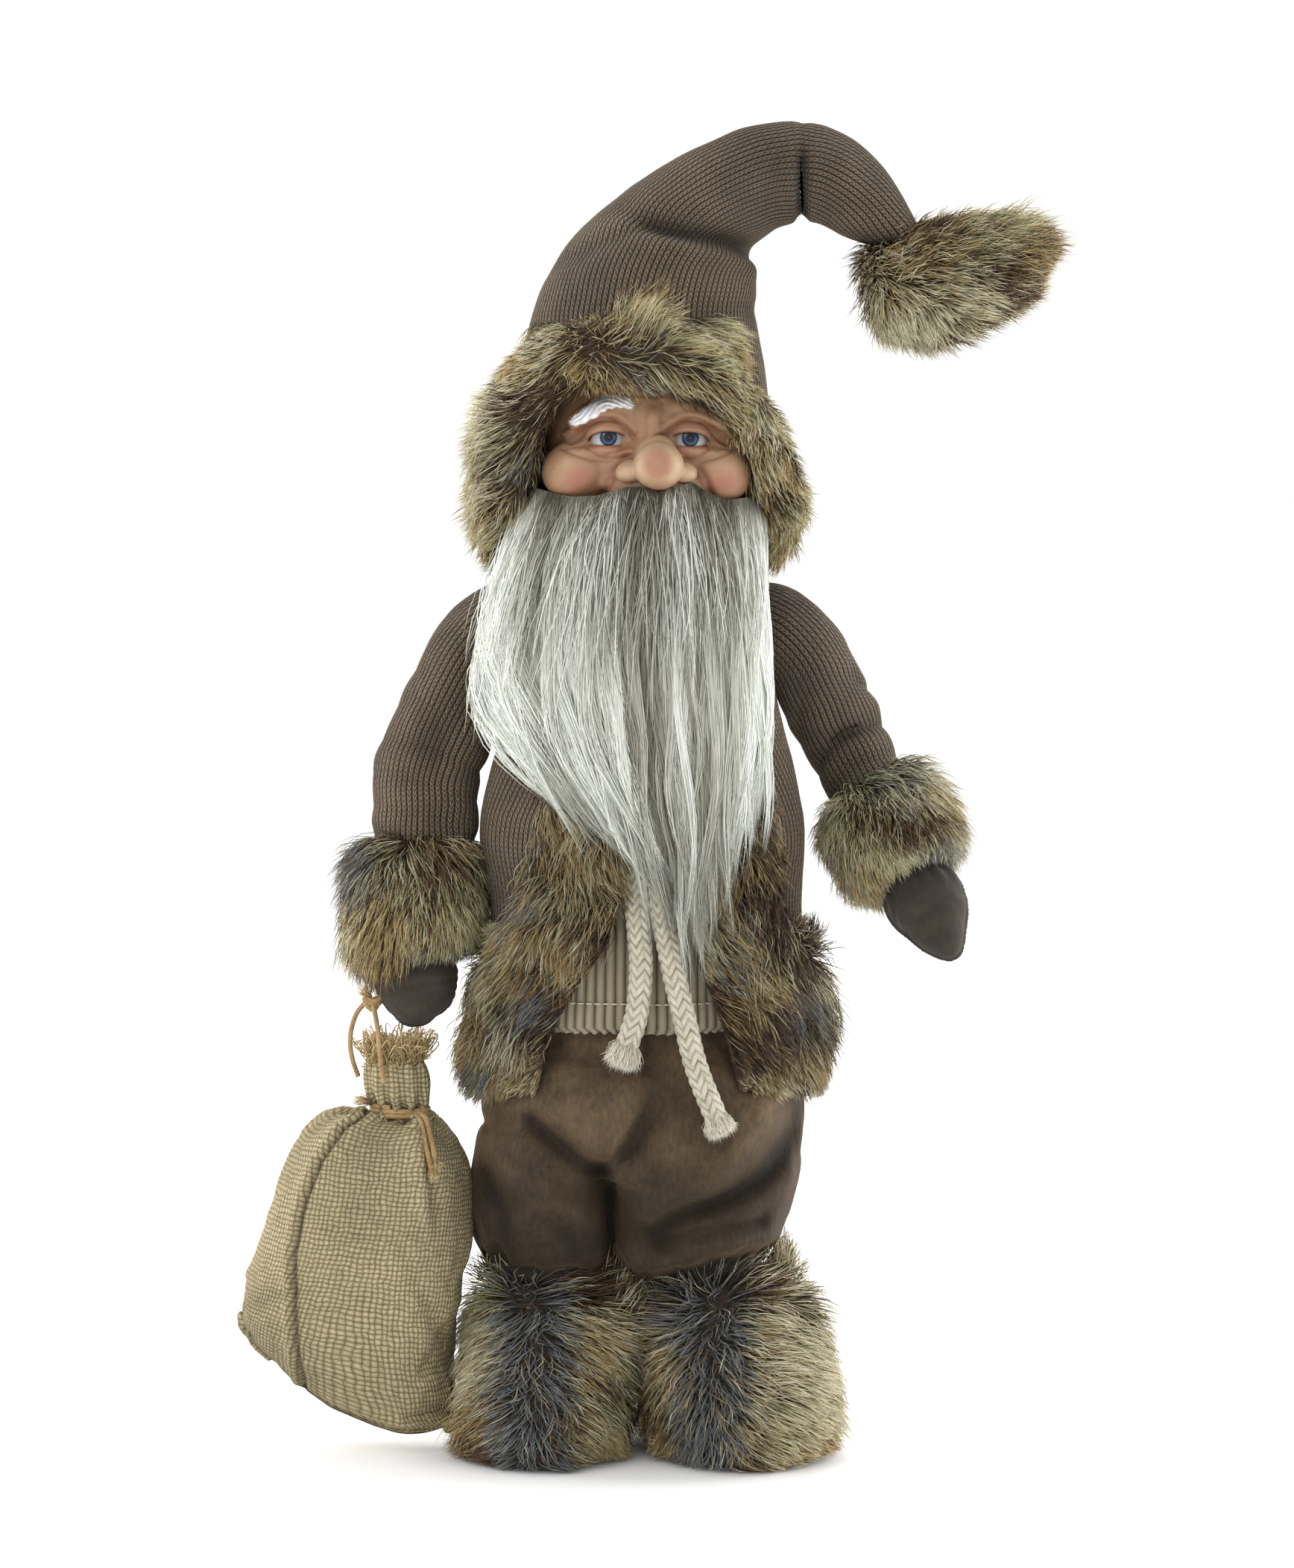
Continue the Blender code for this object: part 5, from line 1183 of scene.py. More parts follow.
# moustache: short hair over the lip, and wisps at the jaw
rng = np.random.default_rng(260)
count = 5400
a = rng.uniform(-1, 1, count)
x0 = 0.8 + a * 42.5
z0 = np.interp(x0, *HAIR_LINE) - 0.2 - 7 * rng.random(count) ** 1.6
root = np.stack([x0, -48.2 + 0.0129 * x0 * x0 - 1.2 * np.exp(-(x0 / 14) ** 2), z0], 1)
flow = np.stack([np.where(a < 0, a * 0.26, a * 0.03) + rng.normal(0, .07, count), np.full(count, -0.10), np.full(count, -1.0)], 1)
strands("moustache", root, unit(np.stack([a * 0.4, np.full(count, -1.0), np.full(count, 0.1)], 1)), flow, (12 + 84 * rng.random(count) ** 1.7) * (1 - 0.45 * smooth(30, 42, x0)), 0.44, BEARD, "figure",
        np.clip(0.02 + 0.50 * smooth(0.35, 0.75, np.interp((x0 + 42) / 86 * 17, np.arange(18), [0.9, 0.8, 0.2, 0.75, 0.9, 0.55, 0.85, 0.35, 0.1, 0.2, 0.8, 0.9, 0.25, 0.7, 0.3, 0.85, 0.95, 0.9])) + 0.50 * rng.random(count) ** 1.5 + 0.15 * smooth(24, 40, np.abs(x0)), 0, 1), lift=0.24, droop=0.6, wild=0.15, clumps=170, clump_pull=0.62, joints=5, seed=261, curl=1.8,
        limit=lambda path: np.where(np.arange(3) == 0, np.where(path > 43.5, 43.5 + (path - 43.5) * 0.2, path), path))


# ------------------------------------------------------------------ cloth solids worked from closed forms
def bm_tube(rings, sides, power=2.0):
    """A capped tube through (centre, half width x, half depth y) rings, in mm."""
    bm = bmesh.new()
    rows = []
    for cx, cy, z, a, b in rings:
        row = []
        for k in range(sides):
            t = 2 * math.pi * k / sides
            c, s = math.cos(t), math.sin(t)
            c = math.copysign(abs(c) ** (2 / power), c)
            s = math.copysign(abs(s) ** (2 / power), s)
            row.append(bm.verts.new(W((cx + a * c, cy + b * s, z))))
        rows.append(row)
    for low, high in zip(rows, rows[1:]):
        for k in range(sides):
            bm.faces.new((low[k], low[(k + 1) % sides], high[(k + 1) % sides], high[k]))
    bm.faces.new(rows[0][::-1])
    bm.faces.new(rows[-1])
    bmesh.ops.recalc_face_normals(bm, faces=bm.faces[:])
    return bm


def fine_rings(rows, count, extra=()):
    """rows of (z, cx, cy, a, b) resampled smoothly as (cx, cy, z, a, b)."""
    t = np.linspace(0, 1, count)
    out = spline(np.array(rows, float), t)
    return [(r[1], r[2], r[0], r[3], r[4]) for r in out]


def temp_object(bm, name):
    mesh = bpy.data.meshes.new(name)
    bm.to_mesh(mesh)
    bm.free()
    obj = bpy.data.objects.new(name, mesh)
    scene.collection.objects.link(obj)
    return obj


def applied(obj, name):
    """The object's mesh with its modifiers worked in."""
    bpy.context.view_layer.update()
    graph = bpy.context.evaluated_depsgraph_get()
    mesh = bpy.data.meshes.new_from_object(obj.evaluated_get(graph))
    mesh.name = name
    bpy.data.objects.remove(obj, do_unlink=True)
    return mesh


def coords(mesh):
    co = np.empty(len(mesh.vertices) * 3, np.float32)
    mesh.vertices.foreach_get("co", co)
    return co.reshape(-1, 3).astype(float) * 1000 - [0, Y0, 0]


def normals_of(mesh):
    n = np.empty(len(mesh.vertices) * 3, np.float32)
    mesh.vertex_normals.foreach_get("vector", n)
    return n.reshape(-1, 3).astype(float)


def set_coords(mesh, co):
    mesh.vertices.foreach_set("co", W(co).astype(np.float32).ravel())
    mesh.update()


def push(mesh, amount):
    co = coords(mesh)
    set_coords(mesh, co + normals_of(mesh) * np.asarray(amount)[:, None])
    return mesh


def union_remesh(parts, name, voxel, smooth_steps=6):
    """Joined closed forms as one even skin."""
    base = parts[0]
    for tool in parts[1:]:
        step = base.modifiers.new("join", "BOOLEAN")
        step.operation, step.object, step.solver = "UNION", tool, "EXACT"
    even = base.modifiers.new("even", "REMESH")
    even.mode, even.voxel_size, even.use_smooth_shade = "VOXEL", voxel * 0.001, True
    soft = base.modifiers.new("soft", "SMOOTH")
    soft.factor, soft.iterations = 0.5, smooth_steps
    mesh = applied(base, name)
    for tool in parts[1:]:
        bpy.data.objects.remove(tool, do_unlink=True)
    return mesh


def inflate(mesh, name, pin, pressure=4.0, frames=18, shrink=0.0, stiff=12.0, reach=3.0, seed=0):
    """Fills a closed cloth form with air while pin(points) holds it; the move of each point is capped."""
    start = coords(mesh)
    obj = bpy.data.objects.new(name + "_sim", mesh)
    scene.collection.objects.link(obj)
    group = obj.vertex_groups.new(name="pin")
    weight = np.clip(pin(start), 0, 1)
    for level in range(1, 11):
        who = np.nonzero(np.round(weight * 10).astype(int) == level)[0]
        if len(who):
            group.add([int(i) for i in who], level / 10, "REPLACE")
    cloth = obj.modifiers.new("cloth", "CLOTH")
    s = cloth.settings
    s.quality, s.mass, s.air_damping = 6, 0.15, 2.0
    s.tension_stiffness = s.compression_stiffness = stiff
    s.shear_stiffness, s.bending_stiffness = stiff * 0.6, 0.25
    s.use_pressure, s.uniform_pressure_force = True, pressure
    s.shrink_min = -shrink
    s.vertex_group_mass = "pin"
    s.effector_weights.gravity = 0.0
    cloth.collision_settings.use_collision = False
    cloth.point_cache.frame_start, cloth.point_cache.frame_end = 1, frames
    for f in range(1, frames + 1):
        scene.frame_set(f)
        bpy.context.view_layer.update()
    graph = bpy.context.evaluated_depsgraph_get()
    done = bpy.data.meshes.new_from_object(obj.evaluated_get(graph))
    bpy.data.objects.remove(obj, do_unlink=True)
    scene.frame_set(1)
    end = coords(done)
    move = end - start
    size = np.linalg.norm(move, axis=1, keepdims=True)
    if not np.isfinite(size).all():
        return mesh
    cap = reach * np.tanh(size / reach) / np.maximum(size, 1e-6)
    set_coords(done, start + move * cap)
    return done


# ------------------------------------------------------------------ trousers
def _mapping(self, vec, scale=(1, 1, 1), turn=(0, 0, 0)):
    n = self.node("ShaderNodeMapping")
    n.inputs["Scale"].default_value = scale
    n.inputs["Rotation"].default_value = turn
    self.link(vec, n.inputs["Vector"])
    return n.outputs[0]


Mat.mapping = _mapping


def plush_material():
    m = Mat("plush", 0.88, Specular_IOR_Level=0.3)
    m.b.inputs["Sheen Weight"].default_value = 0.30
    m.b.inputs["Sheen Roughness"].default_value = 0.38
    m.b.inputs["Sheen Tint"].default_value = lin(164, 138, 108)
    p = m.position()
    nap = m.noise(p, 55.0, 5.0, 0.62)
    fine = m.noise(p, 900.0, 4.0, 0.7)
    stroke = m.noise(m.mapping(p, (620.0, 620.0, 240.0)), 1.0, 3.0)
    c = m.ramp(nap, [(0.3, lin(50, 40, 28)), (0.5, lin(72, 58, 41)), (0.72, lin(100, 83, 61))])
    c = m.mix(0.25, c, m.ramp(stroke, [(0.3, lin(38, 29, 20)), (0.7, lin(110, 92, 69))]))
    m.colour(m.shaded(c))
    h = m.math("ADD", m.math("MULTIPLY", fine, 0.6), m.math("MULTIPLY", stroke, 0.6))
    m.bump(h, 0.0006, 0.75)
    m.roughness(m.ramp(nap, [(0.3, (0.75, 0.75, 0.75, 1)), (0.7, (0.95, 0.95, 0.95, 1))]))
    return m.m



PLUSH = plush_material()
LEGS_WORN = {"left": [(122, -38, -1, 23, 38), (108, -38.6, -1, 24.4, 40), (92, -38.6, -1, 25.2, 39.5), (78, -37.0, 2, 25.4, 35), (66.0, -34.5, 4, 24.6, 28)],
             "right": [(122, 20, -1, 34, 38), (108, 20.6, -1, 33.8, 40), (92, 18.8, -1, 31.8, 39.5), (78, 16.8, 2, 28.6, 35), (66.0, 16.6, 4, 25.6, 28)]}
parts = [temp_object(bm_tube(fine_rings([r for r in PELVIS][::-1], 16), 64), "pelvis")]
for hand in ("left", "right"):
    rows = LEGS_WORN[hand][::-1]
    rows = [(63.5, *rows[0][1:3], rows[0][3] - 1.0, rows[0][4] - 1.0)] + rows
    parts.append(temp_object(bm_tube(fine_rings(rows, 20), 56), f"leg_{hand}"))
trousers = union_remesh(parts, "trousers_cloth", 4.2, 4)
# the cloth is cut a little larger than its filling, held at the waist and at the boots
trousers = inflate(trousers, "trousers", lambda c: np.maximum(smooth(148, 160, c[:, 2]), smooth(76, 68, c[:, 2])), pressure=4.0, frames=20, shrink=0.12, stiff=10.0, reach=4.2)
fine = bpy.data.objects.new("trousers_fine", trousers)
scene.collection.objects.link(fine)
step = fine.modifiers.new("fine", "SUBSURF")
step.levels = step.render_levels = 2
trousers = applied(fine, "trousers_plush")


def trouser_folds(co):
    """Move along y over the front and back, the round of the cloth, and the painted shade of each point."""
    x, y, z = co.T
    front = smooth(10, -12, y)
    back = smooth(-6, 14, y)
    d = (fbm(co, 40, 301) - 0.5) * 4.0 + (fbm(co, 15, 305) - 0.5) * 1.4
    # gathers at the boot tops and under the jacket
    ang = np.arctan2(y - 2, x - np.where(x < -8, -36.5, 20))
    d = d + 1.2 * np.abs(np.sin(ang * 8 + 3 * noise(co, 20, 309))) * smooth(88, 70, z) - 1.6 * smooth(75, 66, z)
    ang = np.arctan2(y, x)
    d = d + 0.8 * np.sin(ang * 15 + 4 * noise(co, 30, 311)) * smooth(140, 164, z)

    def bell(pts, width, high):
        line = spline(np.array(pts, float), np.linspace(0, 1, 40))
        gap = ((x[:, None] - line[None, :, 0]) ** 2 + (z[:, None] - line[None, :, 1]) ** 2).min(1)
        return high * np.exp(-gap / width ** 2)

    # seam: the left panel lies over a pocket of shade on its right
    sx = x - np.interp(z, [104, 111, 121, 134, 155, 170], [-16.5, -16.5, -10, -3, 0, 0])
    over = smooth(112, 120, z) * smooth(150, 134, z)
    f = -1.8 * np.exp(-(sx / 1.4) ** 2) * smooth(110, 118, z) + over * np.where(sx < 0, 3.6 * np.exp(-(sx / 11.0) ** 2), -5.2 * np.exp(-((sx - 5) / 6.0) ** 2) * smooth(0, 2.5, sx))
    f = f + bell([(-6, 146), (-12, 134), (-16, 122), (-17, 113)], 7.0, 2.6)
    # left leg
    f = f + bell([(-42, 128), (-32, 120), (-24, 114), (-17, 111)], 4.0, -6.6) + bell([(-66, 121), (-48, 110), (-34, 101), (-21, 92)], 5.6, 4.6)
    f = f + bell([(-60, 108), (-54, 94), (-51, 78)], 5.0, -5.4) + bell([(-30, 88), (-25, 78), (-22, 72)], 3.4, -2.6) + bell([(-62, 76), (-44, 71), (-26, 70)], 3.0, -4.2)
    f = f + bell([(-46, 92), (-40, 80), (-38, 72)], 5.0, 2.6) + bell([(-62, 140), (-50, 132), (-40, 134)], 6.0, 2.0)
    # between the legs
    f = f + bell([(-16.5, 110), (-15.5, 98), (-14.5, 84), (-13, 72)], 4.2, -10.0)
    # right leg
    f = f + bell([(50, 143), (37, 124), (22, 108), (2, 95)], 6.4, 5.6) + bell([(58, 131), (46, 110), (30, 100), (14, 95), (3, 88)], 5.6, -8.4)
    f = f + bell([(58, 110), (40, 99), (24, 91), (12, 86)], 5.0, 2.6) + bell([(-6, 110), (-3, 100), (0, 90)], 4.6, 2.0)
    f = f + bell([(-11, 80), (-2, 73.5), (8, 75), (24, 81), (46, 84)], 4.0, 4.6) + bell([(6, 82), (22, 88), (42, 90)], 3.2, -4.6) + bell([(6, 66), (24, 72), (46, 76)], 3.4, -4.8)
    f = f + bell([(12, 140), (22, 128), (30, 118)], 6.0, -1.8) + bell([(24, 150), (36, 138), (50, 126)], 6.0, 1.8)
    g = bell([(-2, 113), (-20, 121), (-40, 127)], 4.4, -5.0) + bell([(0, 113), (22, 121), (44, 128)], 4.4, -5.0) + bell([(10, 98), (30, 92), (52, 92)], 4.6, -4.6) + bell([(-20, 94), (-38, 90), (-58, 91)], 4.6, -4.6)
    g = g + bell([(-6, 104), (-20, 110), (-44, 114)], 5.0, 3.0) + bell([(8, 104), (26, 110), (48, 114)], 5.0, 3.0) + bell([(-14, 108), (-13, 92), (-12, 74)], 4.2, -8.0)
    g = g - 1.6 * np.exp(-((x + 2) / 1.3) ** 2) * smooth(108, 116, z) + bell([(6, 80), (26, 77), (46, 80)], 4.0, 3.0) + bell([(-20, 80), (-38, 76), (-56, 80)], 4.0, 3.0)
    move = f * front - g * back
    deep = f * front + g * back + d * 0.5
    # painted shade and light: darker in the folds' valleys, lighter on their ridges, darker at the sides towards the
    # back and where the cloth meets the boots; the cloth is also darker towards the bottom
    dark = np.clip(1.0 + np.where(deep < 0, 0.098 * deep, 0.045 * deep), 0.34, 1.2)
    dark = dark * (0.43 + 0.57 * smooth(96, 134, z)) * (1 - 0.45 * smooth(30, 44, np.abs(x + 3)) * smooth(0.5, -0.3, (co @ [0.0, -1.0, 0.0]) / 40) * 0.5)
    dark = dark * (1 - 0.4 * smooth(70, 64, z))
    return move, d, dark


away, out_by, dark = trouser_folds(coords(trousers))
push(trousers, out_by)
set_coords(trousers, coords(trousers) - away[:, None] * [0, 1, 0])
shade_by(trousers, dark)
trousers.shade_smooth()
obj = piece("trousers_plush", trousers, PLUSH, "figure", ["trousers"])

# ------------------------------------------------------------------ corduroy shirt
def cord_material():
    m = Mat("corduroy", 0.85, Specular_IOR_Level=0.25)
    m.b.inputs["Sheen Weight"].default_value = 0.35
    m.b.inputs["Sheen Roughness"].default_value = 0.45
    u, v = m.uv()
    x = m.math("MULTIPLY", u, 1 / 0.35)
    rib = m.math("ABSOLUTE", m.math("SINE", m.math("MULTIPLY", x, math.pi)))
    rib = m.math("POWER", rib, 0.55)
    nap = m.noise(m.mapping(m.position(), (300, 300, 1400)), 1.0, 4.0, 0.7)
    h = m.math("ADD", rib, m.math("MULTIPLY", m.math("SUBTRACT", nap, 0.5), 0.35))
    # painted shade in the grooves between the wales, lighter on their crowns
    c = m.ramp(h, [(0.1, lin(62, 56, 44)), (0.55, lin(124, 115, 94)), (1.0, lin(156, 147, 124))])
    tone = m.noise(m.position(), 40.0, 3.0)
    m.colour(m.mix(1.0, c, m.ramp(tone, [(0.3, (0.86, 0.85, 0.84, 1)), (0.7, (1.06, 1.05, 1.04, 1))]), "MULTIPLY"))
    m.bump(h, 0.0008, 0.8)
    m.roughness(m.ramp(nap, [(0.2, (0.72, 0.72, 0.72, 1)), (0.8, (0.95, 0.95, 0.95, 1))]))
    return m.m


CORDUROY = cord_material()


def shirt_fn(U, V):
    z = 161.5 + (302 - 161.5) * V
    ang = 2 * np.pi * (U + 0.5)
    p = torso(ang, z, 3.6 + 1.4 * smooth(190, 164, z))
    p[:, 2] += np.where(V < 0.001, 0.9 * np.abs(np.sin(ang * 43)), 0.0)
    return p


shirt = Sheet(shirt_fn, 680, 56).outward(lambda p: p * [0, 0, 1])
mm_uv(shirt)
wave = 0.9 * np.sin(np.arctan2(shirt.co[:, 0], -shirt.co[:, 1]) * 7) * smooth(210, 165, shirt.co[:, 2])
hem_line = -0.75 * np.exp(-((shirt.co[:, 2] - 173) / 0.9) ** 2) + 0.5 * smooth(173, 170.5, shirt.co[:, 2])
shirt.displace(0.95 * (np.abs(np.sin(np.pi * shirt.um / 3.5)) ** 0.6 - 0.5) + wave + hem_line)
# the cloth turns under at the hem
shirt_mesh = shirt.mesh("shirt_corduroy")
obj = piece("shirt_corduroy", shirt_mesh, CORDUROY, "figure", ["shirt"])
turn_in = obj.modifiers.new("cloth", "SOLIDIFY")
turn_in.thickness, turn_in.offset = 0.0014, -1.0

# stitches along the hem
THREAD = Mat("stitch_thread", 0.7)
tn = THREAD.noise(THREAD.position(), 900.0, 2.0)
THREAD.colour(THREAD.ramp(tn, [(0.3, lin(196, 186, 168)), (0.7, lin(226, 218, 202))]))
THREAD.bump(tn, 0.0002, 0.6)
stitch_v, stitch_f = [], []
for k in range(104):
    a0 = 2 * math.pi * k / 104
    pts = []
    for a1, lift in ((a0, -0.25), (a0 + 0.015, 0.42), (a0 + 0.032, 0.42), (a0 + 0.043, -0.25)):
        base = torso(np.array([a1]), np.array([173.1]), 3.6 + 1.4 * smooth(190, 164, 173.1) + 0.55 + lift)[0]
        ang = math.atan2(base[0], -base[1])
        base += np.array([math.sin(ang), -math.cos(ang), 0]) * (0.9 * math.sin(ang * 7) * smooth(210, 165, 173.1) + 0.1)
        pts.append(base)
    ring0 = len(stitch_v)
    for p in pts:
        for j in range(5):
            t = 2 * math.pi * j / 5
            n = np.array([math.sin(a0), -math.cos(a0), 0])
            stitch_v.append(p + n * 0.28 * math.cos(t) + np.array([0, 0, 0.28 * math.sin(t)]))
    for r in range(3):
        for j in range(5):
            stitch_f.append([ring0 + r * 5 + j, ring0 + r * 5 + (j + 1) % 5, ring0 + (r + 1) * 5 + (j + 1) % 5, ring0 + (r + 1) * 5 + j])
piece("shirt_stitches", raw_mesh("shirt_stitches", np.array(stitch_v), [np.array(stitch_f)], [np.zeros((len(stitch_f), 4, 2))]), THREAD.m, "figure")


# ------------------------------------------------------------------ painted doll face
def ellipsoid(name, centre, size, turn=0.0, seg=64):
    bm = bmesh.new()
    m = Matrix.Translation(Vector(W(centre))) @ Matrix.Rotation(math.radians(turn), 4, "Y") @ Matrix.Diagonal((*[s * 0.001 for s in size], 1.0))
    bmesh.ops.create_uvsphere(bm, u_segments=seg, v_segments=seg // 2, radius=1.0, matrix=m)
    return temp_object(bm, name)


EYE = {"left": np.array([-14.2, -31.9, 381.2]), "right": np.array([15.9, -31.9, 380.9])}
EYE_R = 6.3
face = union_remesh([ellipsoid("head", (1, 0, 380), (40.6, 41.5, 45)),
                     ellipsoid("cheek_l", (-25.0, -26.8, 369.2), (13.9, 12.3, 12.2)), ellipsoid("cheek_r", (26.2, -26.8, 368.6), (12.8, 12.3, 12.2)),
                     ellipsoid("muzzle", (3, -35, 364), (20, 10, 9)), ellipsoid("bridge", (2.6, -38.5, 382), (4.6, 5.4, 12)),
                     ellipsoid("brow_l", (-16, -34.5, 391), (14, 6.2, 5.0), -16), ellipsoid("brow_r", (18, -34.5, 391), (14, 6.2, 5.0), 16)],
                    "face_skin", 0.62, 30)
nose = union_remesh([ellipsoid("nose", (4.5, -47.6, 371.6), (9.3, 8.6, 9.0)), ellipsoid("wing_l", (-5.6, -42.4, 369.4), (5.8, 5.8, 4.4), -10),
                     ellipsoid("wing_r", (13.6, -42.2, 369.0), (5.2, 5.6, 4.2), 10), ellipsoid("stem", (4, -40, 375), (7.6, 6, 8))], "nose_skin", 0.5, 5)


def near(co, c, r):
    """Gaussian bell about a point (x, z) with half widths r."""
    return np.exp(-(((co[:, 0] - c[0]) / r[0]) ** 2 + ((co[:, 2] - c[1]) / r[1]) ** 2))


def arc(co, pts, width):
    """Bell about a curved line of (x, z) points."""
    line = spline(np.array(pts, float), np.linspace(0, 1, 60))
    d2 = ((co[:, None, 0] - line[None, :, 0]) ** 2 + (co[:, None, 2] - line[None, :, 1]) ** 2).min(1)
    return np.exp(-d2 / width ** 2)


def face_shape(mesh):
    co = coords(mesh)
    front = smooth(-8, -20, co[:, 1])
    d = np.zeros(len(co))
    for hand, s in (("left", -1), ("right", 1)):
        ex, _, ez = EYE[hand]
        # socket with the lids drawn over the eyeball
        d -= 4.9 * near(co, (ex, ez + 0.3), (8.6, 6.0)) * front
        d -= 2.4 * near(co, (ex - s * 8.2, ez + 0.6), (4.2, 5.0)) * front
        # fold over the eye and the bag under it
        d -= 1.5 * arc(co, [(ex - s * 9.0, ez + 0.6), (ex - s * 4.5, ez + 5.4), (ex + s * 2, ez + 6.4), (ex + s * 8.4, ez + 3.4), (ex + s * 14, ez - .8)], 0.85) * front
        d += 1.3 * arc(co, [(ex - s * 9.6, ez + 3.6), (ex - s * 4.5, ez + 8.2), (ex + s * 2.4, ez + 9.0), (ex + s * 9.4, ez + 6.0), (ex + s * 15.5, ez + 1.6)], 1.5) * front
        d += 1.15 * arc(co, [(ex - s * 8.4, ez - 4.0), (ex, ez - 5.4), (ex + s * 8.6, ez - 3.6)], 1.25) * front
        d -= 0.85 * arc(co, [(ex - s * 8.8, ez - 6.4), (ex, ez - 7.8), (ex + s * 9.6, ez - 5.8), (ex + s * 16.5, ez - 3.4)], 0.9) * front
        # lines at the outer corner
        d -= 0.55 * arc(co, [(ex + s * 9, ez + .4), (ex + s * 13, ez + .2), (ex + s * 18, ez + 1.2)], 0.6) * front
        d -= 0.5 * arc(co, [(ex + s * 9, ez - 1.0), (ex + s * 13, ez - 2.4), (ex + s * 17.5, ez - 3.0)], 0.6) * front
        # crease from the nose round the cheek
        d -= 1.5 * arc(co, [(4 + s * 11.5, 374), (4 + s * 16.5, 368), (4 + s * 20, 360)], 1.5) * front
    d -= 0.7 * arc(co, [(-3.4, 388), (-3.9, 391.6), (-3.0, 395)], 0.8) * front + 0.7 * arc(co, [(6.4, 388), (7.0, 391.6), (6.0, 395)], 0.8) * front
    d -= 0.6 * arc(co, [(-8, 398.4), (2, 397.2), (12, 398.4)], 0.9) * front
    d += (noise(co, 9, 321) - 0.5) * 0.5
    push(mesh, d)


face_shape(face)


def painted(mesh, colour):
    layer = mesh.color_attributes.new(name="paint", type="FLOAT_COLOR", domain="POINT")
    layer.data.foreach_set("color", np.concatenate([colour, np.ones((len(colour), 1))], 1).astype(np.float32).ravel())
    mesh.color_attributes.active_color = layer
    mesh.shade_smooth()


def blend_to(base, colour, amount):
    a = np.clip(np.broadcast_to(amount, (len(base),)), 0, 1)[:, None]
    return base * (1 - a) + np.array(lin(*colour)[:3]) * a


def paint_face(mesh, nose_part=False):
    co = coords(mesh)
    c = np.tile(np.array(lin(198, 150, 112)[:3]), (len(co), 1))
    c = blend_to(c, (184, 130, 96), 0.8 * smooth(0.42, 0.75, fbm(co, 14, 331)))
    c = blend_to(c, (216, 172, 130), 0.6 * smooth(0.5, 0.8, fbm(co, 19, 337)))
    if not nose_part:
        for hand, s in (("left", -1), ("right", 1)):
            ex, _, ez = EYE[hand]
            # painted shade in each eye socket, in the fold over the eye, in the crease under it and in the crease from
            # the nose round the cheek
            c = blend_to(c, (160, 108, 74), 0.85 * near(co, (ex, ez + 1.4), (11, 7.4)))
            c = blend_to(c, (176, 112, 84), 0.75 * arc(co, [(ex - s * 9.6, ez + 1.4), (ex - s * 4, ez + 6.0), (ex + s * 3, ez + 6.8), (ex + s * 10, ez + 3.6), (ex + s * 15, ez - .6)], 1.0))
            c = blend_to(c, (170, 116, 88), 0.7 * arc(co, [(ex - s * 8.8, ez - 6.4), (ex, ez - 7.8), (ex + s * 9.6, ez - 5.8), (ex + s * 16.5, ez - 3.4)], 1.0))
            c = blend_to(c, (180, 112, 84), 0.7 * arc(co, [(ex - s * 6.4, ez - 3.6), (ex, ez - 4.6), (ex + s * 6.4, ez - 3.6)], 0.9))
            c = blend_to(c, (168, 112, 82), 0.75 * arc(co, [(4 + s * 11.5, 374), (4 + s * 16.5, 368), (4 + s * 20, 360)], 2.0))
        # painted highlight on the tops of the cheeks; below it the cheeks' blush
        c = blend_to(c, (216, 174, 134), 0.6 * near(co, (-26, 374), (9, 6)) + 0.6 * near(co, (29, 374), (9, 6)))
        c = blend_to(c, (200, 112, 94), 0.70 * near(co, (-25.3, 366.4), (5.0, 4.2)) + 0.70 * near(co, (28.9, 365.4), (5.2, 4.2)))
        # painted shade down the sides of the face and along the top under the brim
        c = blend_to(c, (164, 106, 76), 0.85 * smooth(28, 39, np.abs(co[:, 0] - 1)) * (1 - near(co, (-28, 368), (12, 10)) - near(co, (31, 368), (12, 10))).clip(0, 1))
        c = blend_to(c, (150, 98, 72), 0.7 * smooth(394, 402, co[:, 2]))
    else:
        # the nose lighter than the face, a darker round patch on its front, and painted shade underneath
        c = blend_to(c, (228, 186, 148), 0.75)
        d = np.sqrt((co[:, 0] - 4.3) ** 2 + (co[:, 2] - 372.2) ** 2 * 0.8)
        c = blend_to(c, (190, 132, 100), 0.95 * smooth(7.0, 3.2, d) * smooth(-49, -52, co[:, 1]))
        c = blend_to(c, (190, 132, 100), 0.55 * smooth(368, 363, co[:, 2]))
    c = c * (0.96 + 0.08 * noise(co, 3, 341))[:, None] * [0.66, 0.72, 0.76]
    painted(mesh, c)


paint_face(face)
paint_face(nose, True)

skin = Mat("painted_resin", 0.42, Specular_IOR_Level=0.45)
attr = skin.node("ShaderNodeVertexColor", layer_name="paint")
speck = skin.noise(skin.position(), 500.0, 3.0)
pore = skin.noise(skin.position(), 2600.0, 2.0)
skin.colour(skin.mix(1.0, attr.outputs[0], skin.ramp(speck, [(0.25, (0.93, 0.92, 0.91, 1)), (0.75, (1.04, 1.04, 1.04, 1))]), "MULTIPLY"))
skin.roughness(skin.ramp(speck, [(0.3, (0.36, 0.36, 0.36, 1)), (0.7, (0.52, 0.52, 0.52, 1))]))
skin.bump(skin.math("ADD", skin.math("MULTIPLY", speck, 0.5), skin.math("MULTIPLY", pore, 0.2)), 0.00018, 0.5)
skin.b.inputs["Subsurface Weight"].default_value = 0.05
skin.b.inputs["Subsurface Radius"].default_value = (0.003, 0.0012, 0.0006)
skin.b.inputs["Subsurface Scale"].default_value = 1.0


def trim_back(mesh, keep):
    bm = bmesh.new()
    bm.from_mesh(mesh)
    gone = [v for v in bm.verts if not keep(v.co * 1000)]
    bmesh.ops.delete(bm, geom=gone, context="VERTS")
    bm.to_mesh(mesh)
    bm.free()
    return mesh


trim_back(face, lambda p: p.y - Y0 < -4)
face.shade_smooth()
nose.shade_smooth()
piece("face_resin", face, skin.m, "figure", ["face_mask"])
piece("face_nose", nose, skin.m, "figure")

